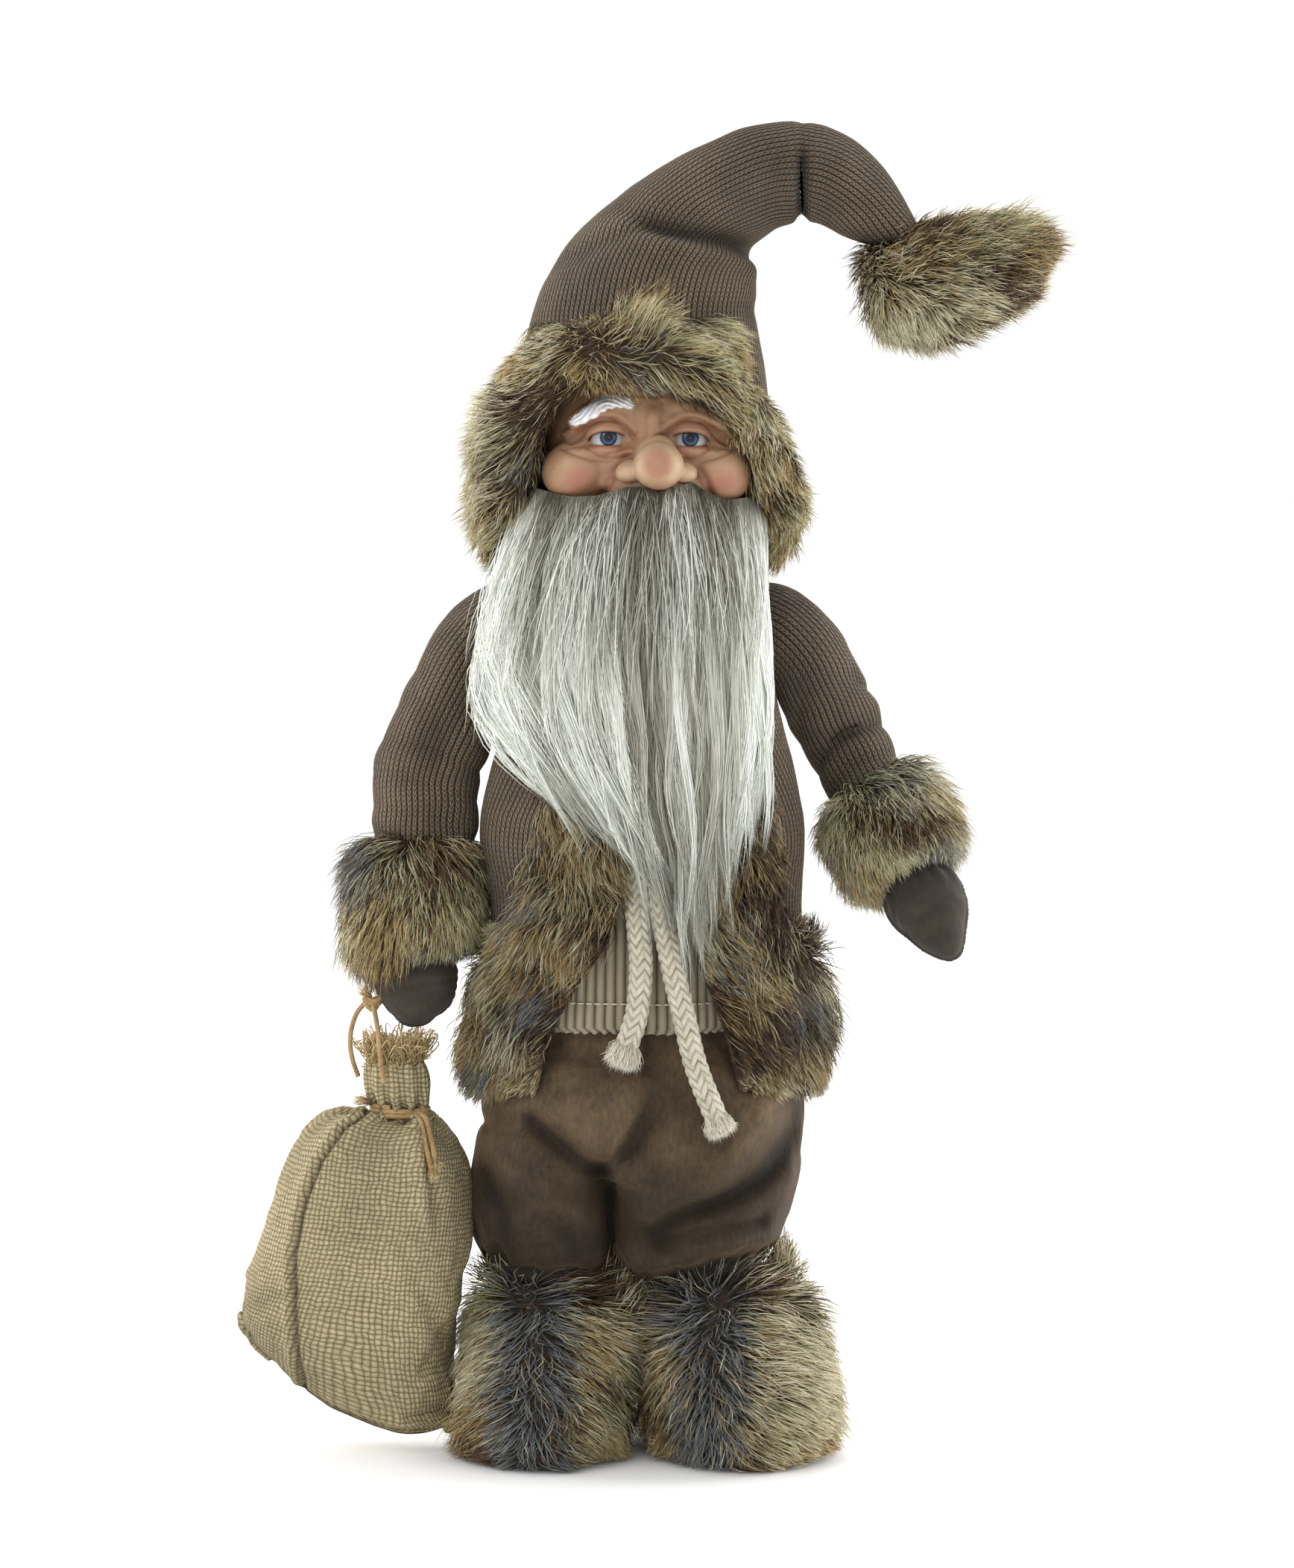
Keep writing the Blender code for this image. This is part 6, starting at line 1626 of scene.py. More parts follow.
# eyeballs with painted irises, looking up and a little to the viewer's right
look = unit(np.array([0.06, -1.0, 0.12]))
for hand in ("left", "right"):
    c = EYE[hand]

    def eye_fn(U, V, c=c):
        e1 = unit(np.cross([0, 0, 1.0], look))
        e2 = np.cross(look, e1)
        th = np.pi * V * 0.62
        t = 2 * np.pi * U
        d = look[None] * np.cos(th)[:, None] + (e1[None] * np.cos(t)[:, None] + e2[None] * np.sin(t)[:, None]) * np.sin(th)[:, None]
        return c + d * EYE_R

    ball = Sheet(eye_fn, 48, 60).outward(lambda p, c=c: np.tile(c, (len(p), 1)))
    eye = Mat(f"eye_{hand}", 0.12, Specular_IOR_Level=0.18)
    u, v = eye.uv()
    vein = eye.noise(eye.position(), 700.0, 3.0)
    ang = eye.math("MULTIPLY", v, 0.62 * math.pi * EYE_R)              # mm from the middle of the iris
    fibre = eye.node("ShaderNodeTexNoise", noise_dimensions="2D")
    fibre.inputs["Scale"].default_value = 46.0
    comb = eye.node("ShaderNodeCombineXYZ")
    eye.link(u, comb.inputs[0])
    eye.link(comb.outputs[0], fibre.inputs["Vector"])
    wob = eye.math("ADD", ang, eye.math("MULTIPLY", eye.math("SUBTRACT", fibre.outputs[0], 0.5), 0.5))
    # the ramp starts with a painted highlight, a small pale glint in the middle of the pupil
    rings = eye.ramp(eye.math("MULTIPLY", wob, 0.1), [(0.0, lin(190, 198, 206)), (0.010, lin(150, 158, 166)), (0.018, (0.003, 0.004, 0.006, 1)), (0.135, (0.003, 0.004, 0.006, 1)), (0.155, lin(14, 32, 56)), (0.215, lin(36, 84, 128)), (0.262, lin(22, 52, 88)), (0.288, lin(6, 10, 20)), (0.315, lin(12, 18, 30)), (0.335, lin(140, 146, 148)), (0.40, lin(178, 183, 184)), (0.8, lin(176, 160, 146))])
    # the upper half lies in the lid's shade
    upper = eye.math("SINE", eye.math("MULTIPLY", u, 2 * math.pi))
    rings = eye.mix(1.0, rings, eye.ramp(eye.math("MULTIPLY_ADD", upper, 0.5, 0.5), [(0.3, (1.05, 1.05, 1.05, 1)), (0.75, (0.6, 0.58, 0.58, 1)), (1.0, (0.5, 0.48, 0.48, 1))]), "MULTIPLY")
    eye.colour(eye.mix(eye.math("MULTIPLY", vein, 0.10), rings, lin(150, 120, 110)))
    eye.b.inputs["Coat Weight"].default_value = 0.12
    eye.b.inputs["Coat Roughness"].default_value = 0.06
    eye.roughness(eye.ramp(vein, [(0.2, (0.10, 0.10, 0.10, 1)), (0.8, (0.18, 0.18, 0.18, 1))]))
    piece(f"eye_{hand}", ball.mesh(f"eye_{hand}"), eye.m, "figure")
    # painted glint
    s = -1 if hand == "left" else 1
    # lids: thick spherical shells over and under the ball
    for part in ("upper", "lower"):
        def lid_fn(U, V, c=c, part=part, s=s):
            az = np.radians(-88 + 176 * U)                           # across the eye
            mid = np.cos(np.clip(az, -1.45, 1.45)) ** 0.75
            if part == "upper":
                edge = -15 + 38.5 * mid
                el = np.radians(edge + (95 - edge) * V)
            else:
                edge = -16 - 3.5 * mid
                el = np.radians(edge + (-88 - edge) * V)
            r = EYE_R + 0.55 + 0.75 * np.sin(np.clip(V * 5.0, 0, 1) * np.pi / 2) + (0.5 if part == "lower" else 0.35) * np.sin(np.clip(V * 1.6, 0, 1) * np.pi)
            d = np.stack([np.sin(az) * np.cos(el), -np.cos(az) * np.cos(el), np.sin(el)], 1)
            return c + d * r[:, None] * [1.06, 1.0, 1.0]

        lid = Sheet(lid_fn, 56, 24, closed=False).outward(lambda p, c=c: np.tile(c, (len(p), 1)))
        mesh = lid.mesh(f"lid_{part}_{hand}")
        co = coords(mesh)
        V = np.tile(np.linspace(0, 1, 25)[:, None], (1, 57)).ravel()
        # the lids' colours: a dark edge on the upper lid and a reddish rim on the lower; painted highlight along the
        # upper lid's roll and painted shade where it runs up into the fold; the lower lid lighter away from its rim
        colour = np.tile(np.array(lin(200, 146, 112)[:3]), (len(co), 1))
        if part == "upper":
            colour = blend_to(colour, (92, 52, 38), smooth(0.07, 0.0, V))
            colour = blend_to(colour, (214, 166, 130), 0.7 * smooth(0.1, 0.3, V) * smooth(0.6, 0.35, V))
            colour = blend_to(colour, (164, 106, 78), smooth(0.45, 0.7, V))
        else:
            colour = blend_to(colour, (176, 110, 84), smooth(0.16, 0.03, V))
            colour = blend_to(colour, (206, 150, 118), 0.6 * smooth(0.25, 0.5, V))
        painted(mesh, colour * [0.66, 0.72, 0.76])
        obj = piece(f"lid_{part}_{hand}", mesh, skin.m, "figure")
        rim = obj.modifiers.new("rim", "SOLIDIFY")
        rim.thickness, rim.offset = 0.0006, -1.0

# brow: one thick stroke of white paint, ridged by the brush
brow_line = np.array([(-28.2, 386.8, 1.0), (-25.4, 388.2, 2.2), (-21.0, 390.8, 2.9), (-16.8, 393.9, 3.1), (-12.3, 395.2, 2.8), (-7.8, 394.7, 2.3), (-4.5, 392.8, 1.3)], float)
from mathutils.bvhtree import BVHTree
face_probe = bmesh.new()
face_probe.from_mesh(face)
face_tree = BVHTree.FromBMesh(face_probe)


def face_y(x, z):
    """Front of the face at (x, z)."""
    out = np.empty(len(x))
    for k, (a_, b_) in enumerate(zip(x, z)):
        hit = face_tree.ray_cast(Vector(W((a_, -90, b_))), Vector((0, 1, 0)), 0.2)[0]
        out[k] = hit.y * 1000 - Y0 if hit else -30
    return out


def brow_fn(U, V):
    row = spline(brow_line, V)
    d = spline(brow_line, np.minimum(V + .01, 1)) - spline(brow_line, np.maximum(V - .01, 0))
    d = unit(d[:, :2])
    n = np.stack([-d[:, 1], d[:, 0]], 1)
    w = (U - 0.5) * 2
    comb_ = 1 + 0.10 * np.sin(V * 46) * np.sign(w)
    x = row[:, 0] + n[:, 0] * row[:, 2] * w * comb_
    z = row[:, 1] + n[:, 1] * row[:, 2] * w * comb_
    ends = np.sin(np.pi * np.clip(V, 0.0, 1.0)) ** 0.35
    lift = (1 - w ** 4) * 1.15 * ends + 0.26 * np.sin(w * 11 + 5 * np.sin(V * 9)) * (1 - w ** 4)
    return np.stack([x, face_y(x, z) + 0.35 - lift * 1.2, z], 1)


brow = Sheet(brow_fn, 30, 70, closed=False).outward(lambda p: p * [1, 0, 1] + [0, 10, 0])
BROW = Mat("brow_paint", 0.45, Specular_IOR_Level=0.4)
bn = BROW.noise(BROW.mapping(BROW.position(), (900, 900, 350), (0, 0.6, 0)), 1.0, 4.0)
BROW.colour(BROW.ramp(bn, [(0.25, lin(196, 198, 202)), (0.5, lin(232, 232, 234)), (0.8, lin(246, 246, 246))]))
BROW.bump(bn, 0.0005, 0.8)
BROW.roughness(BROW.ramp(bn, [(0.2, (0.36, 0.36, 0.36, 1)), (0.8, (0.6, 0.6, 0.6, 1))]))
piece("brow_left", brow.mesh("brow_left"), BROW.m, "figure")


# ------------------------------------------------------------------ mittens
MITT = Mat("brushed_mitten", 0.9, Specular_IOR_Level=0.25)
mp = MITT.position()
m1 = MITT.noise(mp, 120.0, 5.0, 0.65)
m2 = MITT.noise(mp, 1400.0, 3.0, 0.7)
MITT.colour(MITT.mix(MITT.math("MULTIPLY", m2, 0.45), MITT.ramp(m1, [(0.3, lin(32, 27, 23)), (0.5, lin(46, 40, 34)), (0.75, lin(64, 57, 49))]), lin(78, 71, 62)))
MITT.bump(MITT.math("ADD", MITT.math("MULTIPLY", m1, 0.4), MITT.math("MULTIPLY", m2, 0.8)), 0.0005, 0.8)
MITT.roughness(MITT.ramp(m1, [(0.2, (0.8, 0.8, 0.8, 1)), (0.8, (0.97, 0.97, 0.97, 1))]))
MITT.b.inputs["Sheen Weight"].default_value = 0.12
MITT.b.inputs["Sheen Roughness"].default_value = 0.5

for hand in ("left", "right"):
    start, tip = np.array(ELBOW[hand], float), np.array(HAND_TIP[hand], float)
    axis, first, second = limb_axes(start, tip)
    total = float(np.linalg.norm(tip - start))
    sgn = 1 if hand == "left" else -1

    def palm_fn(U, V):
        d = 44 + (total - 44) * (1 - (1 - V) ** 1.25)
        f = (total - d) / 46
        round_ = np.sqrt(np.clip(1 - np.clip((d - (total - 20)) / 20.2, 0, 1) ** 2.2, 0, 1))
        a = (11.8 + 3.6 * smooth(58, 74, d) - (3.0 * smooth(90, total, d) if hand == "left" else 6.4 * smooth(76, total, d))) * round_
        b = (9.6 + 1.2 * smooth(60, 86, d)) * round_
        gather = 1 - 0.14 * np.exp(-((d - (70 if hand == "left" else 67)) / 4.5) ** 2)
        t = 2 * np.pi * U
        bend = second * (-2.2 * smooth(70, total, d))[:, None]
        return start + axis * d[:, None] + bend + first * (a * gather * np.cos(t))[:, None] + second * (b * gather * np.sin(t))[:, None]

    def thumb_fn(U, V):
        base_ = start + axis * 70 - first * (5.0 * sgn) - second * 3.0
        way = unit(axis * 0.95 - first * 0.16 * sgn - second * 0.20)
        e1 = unit(np.cross(way, axis))
        e2 = np.cross(way, e1)
        d = 21.0 * (1 - (1 - V) ** 1.3)
        r = (5.4 + 0.7 * np.sin(np.pi * V)) * np.sqrt(np.clip(1 - np.clip((d - 14.5) / 6.6, 0, 1) ** 2.2, 0, 1))
        t = 2 * np.pi * U
        return base_ + way * d[:, None] + e1 * (r * np.cos(t))[:, None] + e2 * (r * 0.9 * np.sin(t))[:, None]

    shapes = []
    for fn, tag in ((palm_fn, "palm"), (thumb_fn, "thumb")):
        s_ = Sheet(fn, 48, 40).cap(0).cap(1)
        mid_ = s_.co.mean(0)
        s_.outward(lambda p, mid_=mid_: mid_ + axis * ((p - mid_) @ axis)[:, None] * 0.9)
        tmp = bpy.data.objects.new(f"{tag}_{hand}", s_.mesh(f"{tag}_{hand}"))
        scene.collection.objects.link(tmp)
        bmm = bmesh.new()
        bmm.from_mesh(tmp.data)
        bmesh.ops.remove_doubles(bmm, verts=bmm.verts[:], dist=1e-6)
        bmesh.ops.recalc_face_normals(bmm, faces=bmm.faces[:])
        bmm.to_mesh(tmp.data)
        bmm.free()
        shapes.append(tmp)
    mitt = union_remesh(shapes, f"mitten_{hand}_cloth", 0.9, 4)
    co = coords(mitt)
    rel = co - start
    along_ = rel @ axis
    side_ = rel @ first
    depth_ = rel @ second
    d = (fbm(co, 13, 351) - 0.5) * 1.9
    d = d + 0.7 * np.sin(np.arctan2(depth_, side_) * 13 + 3 * noise(co, 9, 353)) * np.exp(-((along_ - 71) / 6) ** 2)
    # sewn edge round the mitt
    d = d + 0.55 * np.exp(-((depth_ + 2.2 * smooth(70, total, along_)) / 0.55) ** 2) * smooth(72, 80, along_) - 0.45 * np.exp(-((np.abs(depth_ + 2.2 * smooth(70, total, along_)) - 1.4) / 0.6) ** 2) * smooth(72, 80, along_)
    # soft creases across the palm
    d = d - 0.7 * np.exp(-((along_ - 86 - 0.2 * side_) / 1.4) ** 2) * smooth(0, -6, depth_)
    push(mitt, d)
    mitt.shade_smooth()
    obj = piece(f"mitten_{hand}_cloth", mitt, MITT.m, f"forearm_{hand}", [f"mitten_{hand}"])

# ------------------------------------------------------------------ burlap sack
SACK_Y = -13
SACK = np.array([
    (-102.8, 150.6, -85.6, 149.6, 8.2), (-105.8, 146.4, -82.6, 145.4, 9.9), (-106.4, 141, -81.2, 140, 10.5), (-104.8, 135, -82.2, 134, 9.2), (-101.8, 130.4, -83.4, 129, 7.4),
    (-104.5, 126.8, -81.2, 125, 9.5), (-117.5, 125.2, -77.2, 120, 14), (-126, 119.3, -73.2, 114.4, 19.5), (-131.5, 111, -69.4, 107, 24), (-135.8, 101, -67.2, 96.4, 27), (-139.6, 88, -67.0, 84, 29),
    (-143.2, 76, -68.2, 71, 29), (-147.5, 65, -68.8, 57, 27.6), (-151, 54.8, -69.4, 42, 24.6), (-151, 48.6, -70.0, 28, 19.6), (-148.6, 44.2, -70.6, 16, 13.6), (-146.2, 42.6, -72.4, 9.4, 8.4)], float)
SACK_SEAM = ([27.4, 42.3, 59.3, 79.1, 97.5, 113.1, 124.4, 129], [-128.9, -130.3, -131, -131, -127.4, -121.1, -112.6, -104])


def sack_fn(U, V, out=0.0):
    lx, lz, rx, rz, depth = spline(SACK, V).T
    t = 2 * np.pi * U
    c, s = np.cos(t), np.sin(t)
    low = smooth(0.62, 1.0, V)
    power = 2.0 + 0.9 * low
    depth = depth * (1 - 0.88 * smooth(0.955, 1.0, V))
    sag = 9.5 * smooth(0.74, 1.0, V)
    c2, s2 = np.sign(c) * np.abs(c) ** (2 / power), np.sign(s) * np.abs(s) ** (2 / power)
    return np.stack([(lx + rx) / 2 + (rx - lx) / 2 * s2, SACK_Y + (depth + out) * c2, (lz + rz) / 2 + (rz - lz) / 2 * s2 - sag * (1 - s2 * s2)], 1)


def sack_folds(co, U, V):
    ang = 2 * np.pi * U
    d = (fbm(co, 30, 361) - 0.5) * 3.6 * smooth(0.30, 0.5, V)
    # gathers that run from the tie, up into the mouth and down over the shoulders
    g = np.sin(ang * 10 + 2.5 * noise(co * [1, 1, 0.15], 16, 363))
    d = d + g * (1.5 * np.exp(-((V - 0.25) / 0.10) ** 2) + 0.7 * smooth(0.16, 0.0, V)) + 1.3 * np.sin(ang * 5 + 1.2) * np.exp(-((V - 0.40) / 0.11) ** 2)
    # drag lines towards the lower corners and the fold below the tie's ends
    x, y, z = co.T
    front = smooth(-13, -25, y)
    d = d - 1.3 * np.exp(-((x + 82 + 0.42 * (z - 60)) / 3.4) ** 2) * smooth(96, 60, z) * smooth(14, 40, z) * front
    d = d - 1.1 * np.exp(-((z - 62 - 0.35 * (x + 140)) / 2.8) ** 2) * smooth(-118, -134, x)
    d = d - 2.4 * np.exp(-((x - np.interp(z, [92, 122], [-77.5, -81.5])) / 1.8) ** 2) * smooth(84, 98, z) * smooth(128, 120, z) * front
    d = d + 1.4 * np.exp(-((x - np.interp(z, [92, 122], [-82.5, -86.5])) / 2.4) ** 2) * smooth(84, 98, z) * smooth(128, 120, z) * front
    return d


def sack_middle(p):
    return np.stack([np.interp(p[:, 2], [10, 130, 160], [-108, -93, -94]), np.full(len(p), SACK_Y), p[:, 2] * 0.55 + 0.45 * 80], 1)


def grid_fn(grid):
    """fn(u, v) through a closed grid of points, smooth both ways."""
    rows, cols = grid.shape[:2]

    def weights(f):
        f2, f3 = f * f, f * f * f
        return [-0.5 * f + f2 - 0.5 * f3, 1 - 2.5 * f2 + 1.5 * f3, 0.5 * f + 2 * f2 - 1.5 * f3, -0.5 * f2 + 0.5 * f3]

    def fn(U, V):
        s, r = (U % 1.0) * cols, np.clip(V, 0, 1) * (rows - 1)
        i, j = np.floor(s).astype(int), np.minimum(r.astype(int), rows - 2)
        wu, wv = weights(s - i), weights(r - j)
        out = 0
        for a_ in range(4):
            for b_ in range(4):
                out = out + (wv[a_] * wu[b_])[:, None] * grid[np.clip(j + a_ - 1, 0, rows - 1), (i + b_ - 1) % cols]
        return out
    return fn


coarse = Sheet(sack_fn, 76, 58)
coarse.cap(0).cap(1).outward(sack_middle)
grid = coarse.co[: 76 * 59].reshape(59, 76, 3)
def sack_pin(c):
    return np.maximum(smooth(124, 134, c[:, 2]), np.maximum(smooth(9, 4, np.linalg.norm(c - [-150, SACK_Y, 48], axis=1)), smooth(9, 4, np.linalg.norm(c - [-73, SACK_Y, 11], axis=1))))

blown = inflate(coarse.mesh("sack_coarse"), "sack", sack_pin, pressure=4.0, frames=20, shrink=0.09, stiff=12.0, reach=4.0)
grid = coords(blown)[: 76 * 59].reshape(59, 76, 3)
sack = Sheet(grid_fn(grid), 300, 200).outward(sack_middle)
sack.cap(1)
mm_uv(sack, seam=0.5)
body_ = len(sack.U)
fold_ = np.maximum(sack_folds(sack.co[:body_], sack.U, sack.V), -1.6)
# shallower folds on the back, where the wadding lies close under the cloth
behind_ = smooth(SACK_Y - 8, SACK_Y + 2, sack.co[:body_, 1]) * smooth(0.32, 0.45, sack.V)
fold_ = fold_ + (np.maximum(fold_, -0.2) + 0.7 - fold_) * behind_
# the side seam: a ridge with a valley beside it
dxs = sack.co[:body_, 0] - np.interp(sack.co[:body_, 2], *SACK_SEAM)
frontside = smooth(SACK_Y + 6, SACK_Y - 3, sack.co[:body_, 1]) * smooth(0.27, 0.33, sack.V)
seam_ = (1.5 * np.exp(-((dxs + 2.6) / 1.9) ** 2) - 1.9 * np.exp(-(dxs / 0.95) ** 2)) * frontside
sack.displace(fold_)
sack.displace(seam_)
# the bottom is sewn shut
shut_ = smooth(0.945, 1.0, sack.V)
sack.co[:body_, 1] = SACK_Y + (sack.co[:body_, 1] - SACK_Y) * (1 - shut_)
# painted shade and light: darker in the folds, in the side seam's groove and in the gathers under the tie, lighter on
# the fold ridges; the cloth is also darker towards the lower outer corner
sack_shade = np.clip(1.0 + 0.13 * np.minimum(fold_, 1.0), 0.6, 1.08) * (1 - 0.55 * np.exp(-(dxs / 0.9) ** 2) * frontside)
sack_shade = sack_shade * (1 - 0.34 * np.exp(-((sack.V - 0.25) / 0.035) ** 2)) * (1 - 0.22 * smooth(-100, -150, sack.co[:body_, 0]) * smooth(60, 30, sack.co[:body_, 2]))


def weave_material(name, pitch=0.185):
    m = Mat(name, 0.9, Specular_IOR_Level=0.2)
    u, v = m.uv()
    wob = m.noise(m.uvv, 1.3, 3.0)
    wob2 = m.noise(m.mapping(m.uvv, (1, 1, 1), (0, 0, 1.2)), 1.7, 3.0)
    x = m.math("ADD", m.math("MULTIPLY", u, 1 / pitch), m.math("MULTIPLY", wob, 1.5))
    y = m.math("ADD", m.math("MULTIPLY", v, 1 / pitch), m.math("MULTIPLY", wob2, 1.5))
    fx, fy = m.math("FRACT", x), m.math("FRACT", y)
    # which thread lies on top at this crossing
    parity = m.math("FRACT", m.math("MULTIPLY", m.math("ADD", m.math("FLOOR", x), m.math("FLOOR", y)), 0.5))
    over = m.math("GREATER_THAN", parity, 0.25)
    sx_, sy_ = m.math("SINE", m.math("MULTIPLY", fx, math.pi)), m.math("SINE", m.math("MULTIPLY", fy, math.pi))
    warp = m.math("MULTIPLY", m.math("POWER", sx_, 0.55), m.math("ADD", 0.35, m.math("MULTIPLY", sy_, 0.65)))
    weft = m.math("MULTIPLY", m.math("POWER", sy_, 0.55), m.math("ADD", 0.35, m.math("MULTIPLY", sx_, 0.65)))
    pick = m.node("ShaderNodeMix", data_type="FLOAT")
    m.link(over, pick.inputs[0])
    m.link(weft, pick.inputs[2])
    m.link(warp, pick.inputs[3])
    h = pick.outputs[0]
    fibre = m.noise(m.position(), 1700.0, 3.0, 0.7)
    slub = m.noise(m.mapping(m.uvv, (9, 1.2, 1)), 1.0, 3.0)
    slub2 = m.noise(m.mapping(m.uvv, (1.2, 9, 1)), 1.0, 3.0)
    hh = m.math("ADD", h, m.math("MULTIPLY", m.math("SUBTRACT", fibre, 0.5), 0.45))
    # each thread's colour follows its height: painted shade where it dips under the crossing thread, lighter on its
    # crown
    c = m.ramp(hh, [(0.05, lin(100, 88, 63)), (0.38, lin(142, 130, 99)), (0.95, lin(180, 168, 135))])
    thread = m.math("MULTIPLY", m.math("ADD", slub, slub2), 0.5)
    c = m.mix(1.0, c, m.ramp(thread, [(0.36, (0.78, 0.77, 0.74, 1)), (0.5, (1, 1, 1, 1)), (0.64, (1.14, 1.13, 1.10, 1))]), "MULTIPLY")
    m.colour(m.shaded(c))
    m.bump(hh, 0.0009, 0.9)
    m.roughness(m.ramp(fibre, [(0.2, (0.78, 0.78, 0.78, 1)), (0.8, (0.97, 0.97, 0.97, 1))]))
    return m.m


BURLAP = weave_material("burlap")
obj = piece("sack_burlap", shade_by(sack.mesh("sack_burlap"), sack_shade), BURLAP, "sack", ["sack"])
wall = obj.modifiers.new("cloth", "SOLIDIFY")
wall.thickness, wall.offset = 0.0011, -1.0

# ears at the two lower corners
for tag, c, r, way in (("outer", (-149.6, SACK_Y, 48.6), (4.6, 3.0, 5.2), -35), ("inner", (-73.6, SACK_Y - 1, 11.6), (3.4, 3.4, 4.6), 20)):
    bm = bmesh.new()
    bmesh.ops.create_uvsphere(bm, u_segments=32, v_segments=20, radius=1.0, matrix=Matrix.Translation(Vector(W(c))) @ Matrix.Rotation(math.radians(way), 4, "Y") @ Matrix.Diagonal((r[0] * .001, r[1] * .001, r[2] * .001, 1)))
    lay = bm.loops.layers.uv.new("UVMap")
    for f in bm.faces:
        for lp in f.loops:
            p = lp.vert.co * 100
            lp[lay].uv = (p.x + p.y * 0.6, p.z)
    mesh = bpy.data.meshes.new(f"sack_ear_{tag}")
    bm.to_mesh(mesh)
    bm.free()
    mesh.shade_smooth()
    lump = noise(coords(mesh), 2.6, 371) - 0.5
    push(mesh, lump * 1.8)
    # painted shade in the dents of the lumpy corner, lighter on its lumps
    shade_by(mesh, 0.86 + 0.4 * lump)
    piece(f"sack_ear_{tag}", mesh, BURLAP, "sack")


# ------------------------------------------------------------------ jute and cotton cords
def cord_mat(name, dark, base, light, fuzz_scale=1600.0, bump=0.0003):
    m = Mat(name, 0.88, Specular_IOR_Level=0.22)
    p = m.position()
    a, b = m.noise(p, fuzz_scale, 3.0, 0.7), m.noise(p, 180.0, 4.0)
    f = m.math("ADD", m.math("MULTIPLY", a, 0.6), m.math("MULTIPLY", b, 0.4))
    m.colour(m.ramp(f, [(0.3, dark), (0.5, base), (0.72, light)]))
    m.bump(a, bump, 0.8)
    m.roughness(m.ramp(b, [(0.2, (0.78, 0.78, 0.78, 1)), (0.8, (0.96, 0.96, 0.96, 1))]))
    return m.m


JUTE = cord_mat("jute_twine", lin(104, 80, 50), lin(160, 132, 92), lin(196, 172, 130))
COTTON = cord_mat("cotton_braid", lin(140, 134, 117), lin(190, 184, 166), lin(212, 207, 191), 1900.0, 0.0004)
braid_tree = COTTON.node_tree
nodes_ = braid_tree.nodes
principled = nodes_["Principled BSDF"]
ramp_out = principled.inputs["Base Color"].links[0].from_socket
# the braid's colour times its painted shade from the mesh
braid_groove_shade = nodes_.new("ShaderNodeVertexColor")
braid_groove_shade.layer_name = "shade"
times = nodes_.new("ShaderNodeMix")
times.data_type, times.blend_type = "RGBA", "MULTIPLY"
times.inputs[0].default_value = 1.0
braid_tree.links.new(ramp_out, times.inputs[6])
braid_tree.links.new(braid_groove_shade.outputs[0], times.inputs[7])
braid_tree.links.new(times.outputs[2], principled.inputs["Base Color"])


def even_line(points, step=None, count=None):
    fine = spline(np.array(points, float), np.linspace(0, 1, 600))
    s = np.concatenate([[0], np.cumsum(np.linalg.norm(np.diff(fine, axis=0), axis=1))])
    n = count or max(8, int(round(s[-1] / step)))
    q = np.linspace(0, s[-1], n + 1)
    return np.stack([np.interp(q, s, fine[:, k]) for k in range(3)], 1), s[-1]


def frames(line):
    d = unit(np.gradient(line, axis=0))
    ref = np.array([0.0, 1.0, 0.0])
    s = unit(ref - d * (d @ ref)[:, None] + 1e-9)
    return d, np.cross(d, s), s


def tube_of(line, radius_fn, sides):
    """Rings of radius_fn(angle, distance) round a line."""
    d, x, s = frames(line)
    dist = np.concatenate([[0], np.cumsum(np.linalg.norm(np.diff(line, axis=0), axis=1))])
    a = 2 * np.pi * np.arange(sides) / sides
    A, Dd = np.meshgrid(a, dist)
    r = radius_fn(A, Dd)
    co = line[:, None] + x[:, None] * (r * np.cos(A))[..., None] + s[:, None] * (r * np.sin(A))[..., None]
    n = len(line)
    i, j = np.meshgrid(np.arange(sides), np.arange(n - 1))
    i, j = i.ravel(), j.ravel()
    q = np.stack([j * sides + i, j * sides + (i + 1) % sides, (j + 1) * sides + (i + 1) % sides, (j + 1) * sides + i], 1)
    co = co.reshape(-1, 3)
    ends = np.vstack([co, line[0], line[-1]])
    t0 = np.stack([np.roll(np.arange(sides), -1), np.arange(sides), np.full(sides, len(co))], 1)
    base = (n - 1) * sides
    t1 = np.stack([base + np.arange(sides), base + np.roll(np.arange(sides), -1), np.full(sides, len(co) + 1)], 1)
    uvq = np.stack([np.stack([i / sides, dist[j] / 10], 1)] * 4, 1)
    tris = np.vstack([t0, t1])
    return ends, [q, tris], [uvq, np.zeros((len(tris), 3, 2))]


def twist(strands_, pitch, depth, radius):
    return lambda A, Dd: radius - depth + depth * np.abs(np.cos((A * strands_ + 2 * np.pi * Dd * strands_ / pitch) / 2))


def fray(name, ends, way, count, length, width, body, material, seed, spread=0.5, droop=0.3, source_r=3.0):
    """Loose fibres at a cut end."""
    rng = np.random.default_rng(seed)
    way = unit(np.array(way, float))
    e1 = unit(np.cross(way, [0.3, 1.0, 0.2]))
    e2 = np.cross(way, e1)
    a, r = rng.uniform(0, 2 * np.pi, count), source_r * np.sqrt(rng.random(count))
    off = e1 * (r * np.cos(a))[:, None] + e2 * (r * np.sin(a))[:, None]
    root = np.array(ends) + off - way * 1.5
    flow = way + off / source_r * spread
    normal = unit(off + way * 0.1)
    return strands(name, root, normal, flow, length, width, material, body, rng.random(count), lift=0.12, droop=droop, wild=0.24, joints=4, seed=seed, curl=1.0)


FRAY_COTTON = strand_material("cotton_fray", [(0, lin(196, 188, 168)), (1, lin(216, 209, 190))], [(0, lin(216, 210, 192)), (1, lin(234, 229, 214))], rough=0.8, spec=0.2, deep=0.85)
FRAY_JUTE = strand_material("jute_fray", [(0, lin(146, 120, 80)), (1, lin(186, 160, 114))], [(0, lin(190, 164, 116)), (1, lin(226, 206, 162))], rough=0.8, spec=0.2, deep=0.72)

